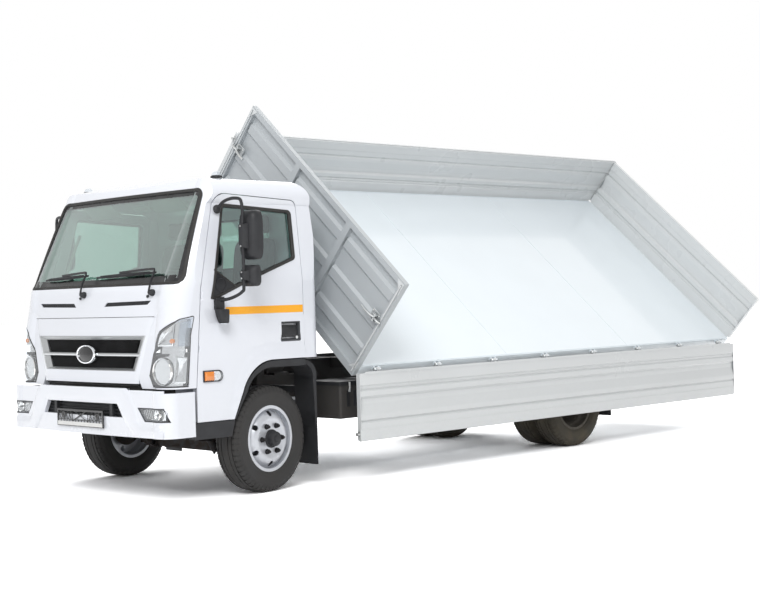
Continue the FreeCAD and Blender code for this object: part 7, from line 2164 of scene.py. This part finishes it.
@dataclass
class Underbody:
    """Brake chambers, spring clamps, dampers, shaft joints, straps, caps, pipes and lamps of the chassis."""

    truck: Stations
    axle: float = AXLE_Z
    rear_x: float = REAR_AXLE_X
    lamp_x: float = -6.232
    filler: Vector = Vector((-1.6, -0.9, 0.858))

    def home(self, slot: str) -> Home:
        """A home on the chassis."""
        return self.truck.home("chassis", slot)

    @staticmethod
    def chamber(shape: Shape, base: Vector, way: Vector, size: float = 1.0) -> None:
        """Adds a diaphragm brake chamber with its clamp ring and push rod."""
        profile = [(0.0, 0.0), (0.04, 0.0), (0.066, 0.012), (0.074, 0.03), (0.082, 0.034), (0.082, 0.048),
                   (0.074, 0.052), (0.068, 0.08), (0.05, 0.098), (0.0, 0.1)]
        shape.turned([(r * size, d * size) for r, d in profile], base, way, 26, 0)
        shape.turned(rect(0.0, -0.07 * size, 0.009, 0.0), base, way, 10, 1)

    def axles(self) -> None:
        """Brakes, U-bolts, dampers and shaft joints."""
        iron = Shape()
        steel = Shape()
        for side in Side:
            s = side.value
            for x, seat, low in ((FRONT_AXLE_X, 0.433, 0.285), (self.rear_x, 0.539, 0.345)):
                for dx in (-0.048, 0.048):
                    for y in (0.398, 0.476):
                        steel.tube([(x + dx, s * y, low - 0.02), (x + dx, s * y, seat - 0.002)], 0.0075, 0, 8)
                        steel.turned([(0.013, 0.0), (0.013, 0.012), (0.0, 0.012)],
                                     (x + dx, s * y, low - 0.012), UP, 6, 1)
                steel.solid([[(x + a, s * b, z) for a, b in rect(-0.065, 0.388, 0.065, 0.486)]
                            for z in (low, low + 0.014)])
                lean = 1 if x == FRONT_AXLE_X else -1
                foot = Vector((x + lean * 0.075, s * 0.44, low + 0.03))
                head = Vector((x + lean * 0.3, s * 0.392, 0.76))
                way = (head - foot).normalized()
                steel.turned([(0.0, 0.0), (0.03, 0.0), (0.03, 0.24), (0.022, 0.244), (0.0, 0.244)], foot, way,
                             18, 0)
                steel.turned([(0.0, 0.22), (0.035, 0.22), (0.035, (head - foot).length),
                              (0.0, (head - foot).length)], foot, way, 18, 0)
                for end in (foot, head):
                    steel.tube([end - Vector((0, 0.022, 0)), end + Vector((0, 0.022, 0))], 0.02, 1, 12)
            self.chamber(iron, Vector((self.rear_x + 0.16, s * 0.335, self.axle + 0.13)),
                         Vector((0.92, 0.0, 0.38)).normalized())
            iron.solid([[(self.rear_x + a, s * y, z)
                         for a, z in ((0.02, self.axle + 0.03), (0.17, self.axle + 0.1),
                                      (0.15, self.axle + 0.15), (0.0, self.axle + 0.055))]
                        for y in (0.325, 0.345)])
            iron.turned([(0.0, 0.0), (0.15, 0.0), (0.158, 0.008), (0.158, 0.03), (0.0, 0.03)],
                        (self.rear_x, s * 0.545, self.axle), (0, s, 0), 36, 0)
        for t in turns(10):
            BedFittings.bolt(iron,
                             Vector((self.rear_x - 0.118, 0.13 * math.cos(t),
                                     self.axle + 0.13 * math.sin(t))), BACK, 0.009, 1)
        for base, way in ((Vector((-0.952, 0.0, 0.585)), Vector((-1, 0, -0.055))),
                          (Vector((-3.614, 0.0, 0.436)), Vector((1, 0, 0.055)))):
            iron.turned([(0.0, 0.0), (0.062, 0.0), (0.062, 0.012), (0.04, 0.016), (0.038, 0.05), (0.0, 0.05)],
                        base, way, 24, 0)
            for a, b in ((0, 1), (1, 0)):
                spot = base + way * 0.062
                across = Vector((0, a, b)) * 0.052
                iron.tube([spot - across, spot + across], 0.017, 0, 12)
            iron.turned([(0.0, 0.07), (0.038, 0.07), (0.044, 0.1), (0.04, 0.13), (0.0, 0.13)], base, way, 24,
                        0)
        piece("axle_brakes_and_joints", iron, [AXLE_IRON, SPRING_STEEL], self.home("axle_iron"), sharp=34)
        piece("spring_clamps_and_dampers", steel, [SPRING_STEEL, AXLE_IRON], self.home("spring_steel"),
              sharp=34)

    def tanks(self) -> None:
        """Straps, caps, drains and lids of the tanks and boxes."""
        alloy = Shape()
        dark = Shape()
        for x in (-2.3, -1.7):
            loop = outline([(-1000, 500), ("arc", (-985, 465), (-950, 450)), (-530, 450),
                            ("arc", (-495, 465), (-480, 500)), (-480, 810), ("arc", (-495, 845), (-530, 860)),
                            (-950, 860), ("arc", (-985, 845), (-1000, 810))])
            dark.rows([[(x + d, y, z) for y, z in offset(loop, g)] for d, g in
                       ((-0.022, 0.0), (-0.022, -0.004), (0.022, -0.004), (0.022, 0.0))], 0, around=True)
            BedFittings.bolt(dark, Vector((x, -1.004, 0.64)), Vector((0, -1, 0)), 0.012, 1)
        dark.turned([(0.0, 0.0), (0.048, 0.0), (0.048, 0.012), (0.041, 0.014), (0.041, 0.036), (0.034, 0.042),
                     (0.0, 0.044)], self.filler, UP, 12, 0)
        for x in (-2.6, -2.0):
            for dx in (0.11, 0.41):
                dark.turned(rect(0.1052, -0.012, 0.108, 0.012), (x + dx, 0.52, 0.61),
                            AHEAD, 36, 0, closed=True)
            alloy.turned([(0.0, 0.0), (0.012, 0.0), (0.012, 0.014), (0.006, 0.018), (0.0, 0.028)],
                         (x + 0.26, 0.52, 0.506), DOWN, 10, 0)
        for k in range(6):
            dark.block((-1.33 + 0.075 * k, 0.9995, 0.6), (-1.3 + 0.075 * k, 1.0035, 0.73), 0)
        dark.solid([[(x, y, z) for x, y in rect(-1.405, 0.555, -0.845, 1.005)]
                   for z in (0.775, 0.802, 0.806)])
        for x in (-1.3, -0.95):
            dark.tube([(x, 1.005, 0.72), (x, 1.012, 0.76), (x, 1.009, 0.802)], 0.009, 1, 8)
        for z in (0.96, 1.1):
            dark.rows([[(x, y, z + s) for x, y in rect(-0.862, -0.302, -0.658, 0.302)]
                       for s in (-0.011, 0.011)], 0, around=True)
        dark.tube([(-0.76, 0.1, 1.178), (-0.76, 0.1, 1.205), (-0.76, 0.1, 1.21)], 0.028, 0, 14)
        for x in (-1.38, -0.92):
            dark.turned(rect(0.1205, -0.012, 0.1235, 0.012), (x, -0.56, 0.59), AHEAD, 32, 0, closed=True)
        piece("tank_straps_and_caps", dark, [BLACK_PP, ZINC], self.home("black_plastic"), sharp=34)
        piece("air_tank_drains", alloy, [ZINC], self.home("tank_aluminium"), sharp=34)

    def lines(self) -> None:
        """Brake hoses, air pipes, wiring and the tipping hose."""
        shape = Shape()
        stations = (-0.7, -1.6, -2.8, -3.6, -4.6, -6.0)
        runs = [*[[(x, y, z - 0.01 * (k % 2)) for k, x in enumerate(stations)]
                  for y, z in ((0.33, 0.8), (0.312, 0.77))],
                [(-0.8, -0.16, 0.9), (-0.92, -0.26, 0.83), (-1.5, -0.322, 0.79), (-2.5, -0.32, 0.78),
                 (-2.85, -0.24, 0.72), (-2.93, -0.1, 0.62)],
                [(-2.34, 0.42, 0.61), (-2.9, 0.4, 0.66), (-3.4, 0.36, 0.68), (-3.66, 0.335, 0.6)],
                [(-3.3, -0.3, 0.76), (-3.5, -0.31, 0.7), (-3.62, -0.32, 0.64), (-3.68, -0.335, 0.6)]]
        for run in runs:
            shape.tube(smooth_path(run, 6), 0.009, 0, 8)
        for x in (-1.1, -1.8, -2.5, -3.2, -4.2, -5.0, -5.8):
            shape.block((x - 0.008, 0.3, 0.75), (x + 0.008, 0.342, 0.812), 1)
        piece("hoses_and_pipes", shape, [SEAL_BLACK, ZINC], self.home("black_plastic"), sharp=60)

    def lamps(self) -> None:
        """Tail lamps with stop, turn and reversing lenses, and round reflectors."""
        shape = Shape()
        x = self.lamp_x
        for side in Side:
            s = side.value
            for a, b, kind in ((0.715, 0.835, 1), (0.839, 0.945, 2), (0.949, 1.045, 3)):
                rings = []
                for inset, depth in ((0.0, 0.0), (0.0, -0.012), (0.006, -0.02), (0.02, -0.023),
                                     (0.05, -0.024)):
                    rings.append([Vector((x + depth, s * y, z)) for y, z in
                                  offset(rect(a, 0.606, b, 0.708), inset)])
                shape.solid(rings, kind)
            shape.band(rect(s * 0.706, 0.598, s * 1.054, 0.716),
                       [(0.0, 0.0), (0.0, -0.008), (0.007, -0.008), (0.008, 0.0)],
                       lambda a, b, d: Vector((x + d, a, b)), 0)
            shape.turned([(0.0, 0.0), (0.042, 0.0), (0.042, 0.006), (0.0, 0.009)], (-6.2335, s * 0.55, 0.53),
                         BACK, 24, 1)
        piece("tail_lamp_lenses", shape, [BLACK_PP, RED_LENS, AMBER_LENS, CLEAR_LENS], self.home("tail_lens"),
              sharp=30)

    def build(self) -> None:
        """Builds the chassis' details."""
        self.axles()
        self.tanks()
        self.lines()
        self.lamps()


def main() -> None:
    """Builds the studio and every sub-assembly, in order."""
    logging.basicConfig(level=logging.INFO, format="%(name)s %(message)s")
    truck = Stations.read()
    Studio(truck).build()
    Wheels(truck).build()
    CabFront(truck).build()
    Headlamps(truck).build()
    Bumper(truck).build()
    for side in Side:
        Door(truck, side).build()
    CabRoof(truck).build()
    Seats(truck).build()
    CabInside(truck).build()
    BedFittings(truck).build()
    Underbody(truck).build()
    dress(FRAME_BLACK, "chassis_frame", "subframe", "battery_box", "hydraulic_tank", "rear_bar",
          "cylinder_barrel")
    dress(AXLE_IRON, "front_axle", "rear_axle", "left_knuckle", "right_knuckle", "tie_rod")
    dress(SPRING_STEEL, "leaf_springs")
    dress(ENGINE_IRON, "engine")
    dress(TANK_ALLOY, "fuel_tank", "air_tanks")
    dress(EXHAUST_STEEL, "exhaust")
    dress(CAB_WHITE, "cab_body", "left_door", "right_door", "bumper")
    dress(BED_GREY, "left_board", "right_board", "tailgate")
    # The headboard's darker enamel is painted shade.
    dress(HEAD_SHADED_GREY, "headboard")
    dress(FLOOR_WHITE, "bed_floor")
    dress(BLACK_PP, "cab_trim", "side_steps", "mudguards", "left_mirrors", "right_mirrors")
    dress(GREY_ABS, "dashboard")
    dress(SEAT_CLOTH, "seats")
    dress(SCREEN_GLASS, "cab_glass")
    dress(SIDE_GLASS, "left_door_glass", "right_door_glass")
    dress(CLEAR_LENS, "headlamps", "fog_lamps")
    dress(RED_LENS, "tail_lamps")
    dress(PLATE_WHITE, "number_plates")
    dress(CHROME, "cylinder_stage", "cylinder_rod")


if __name__ == "__main__":
    main()
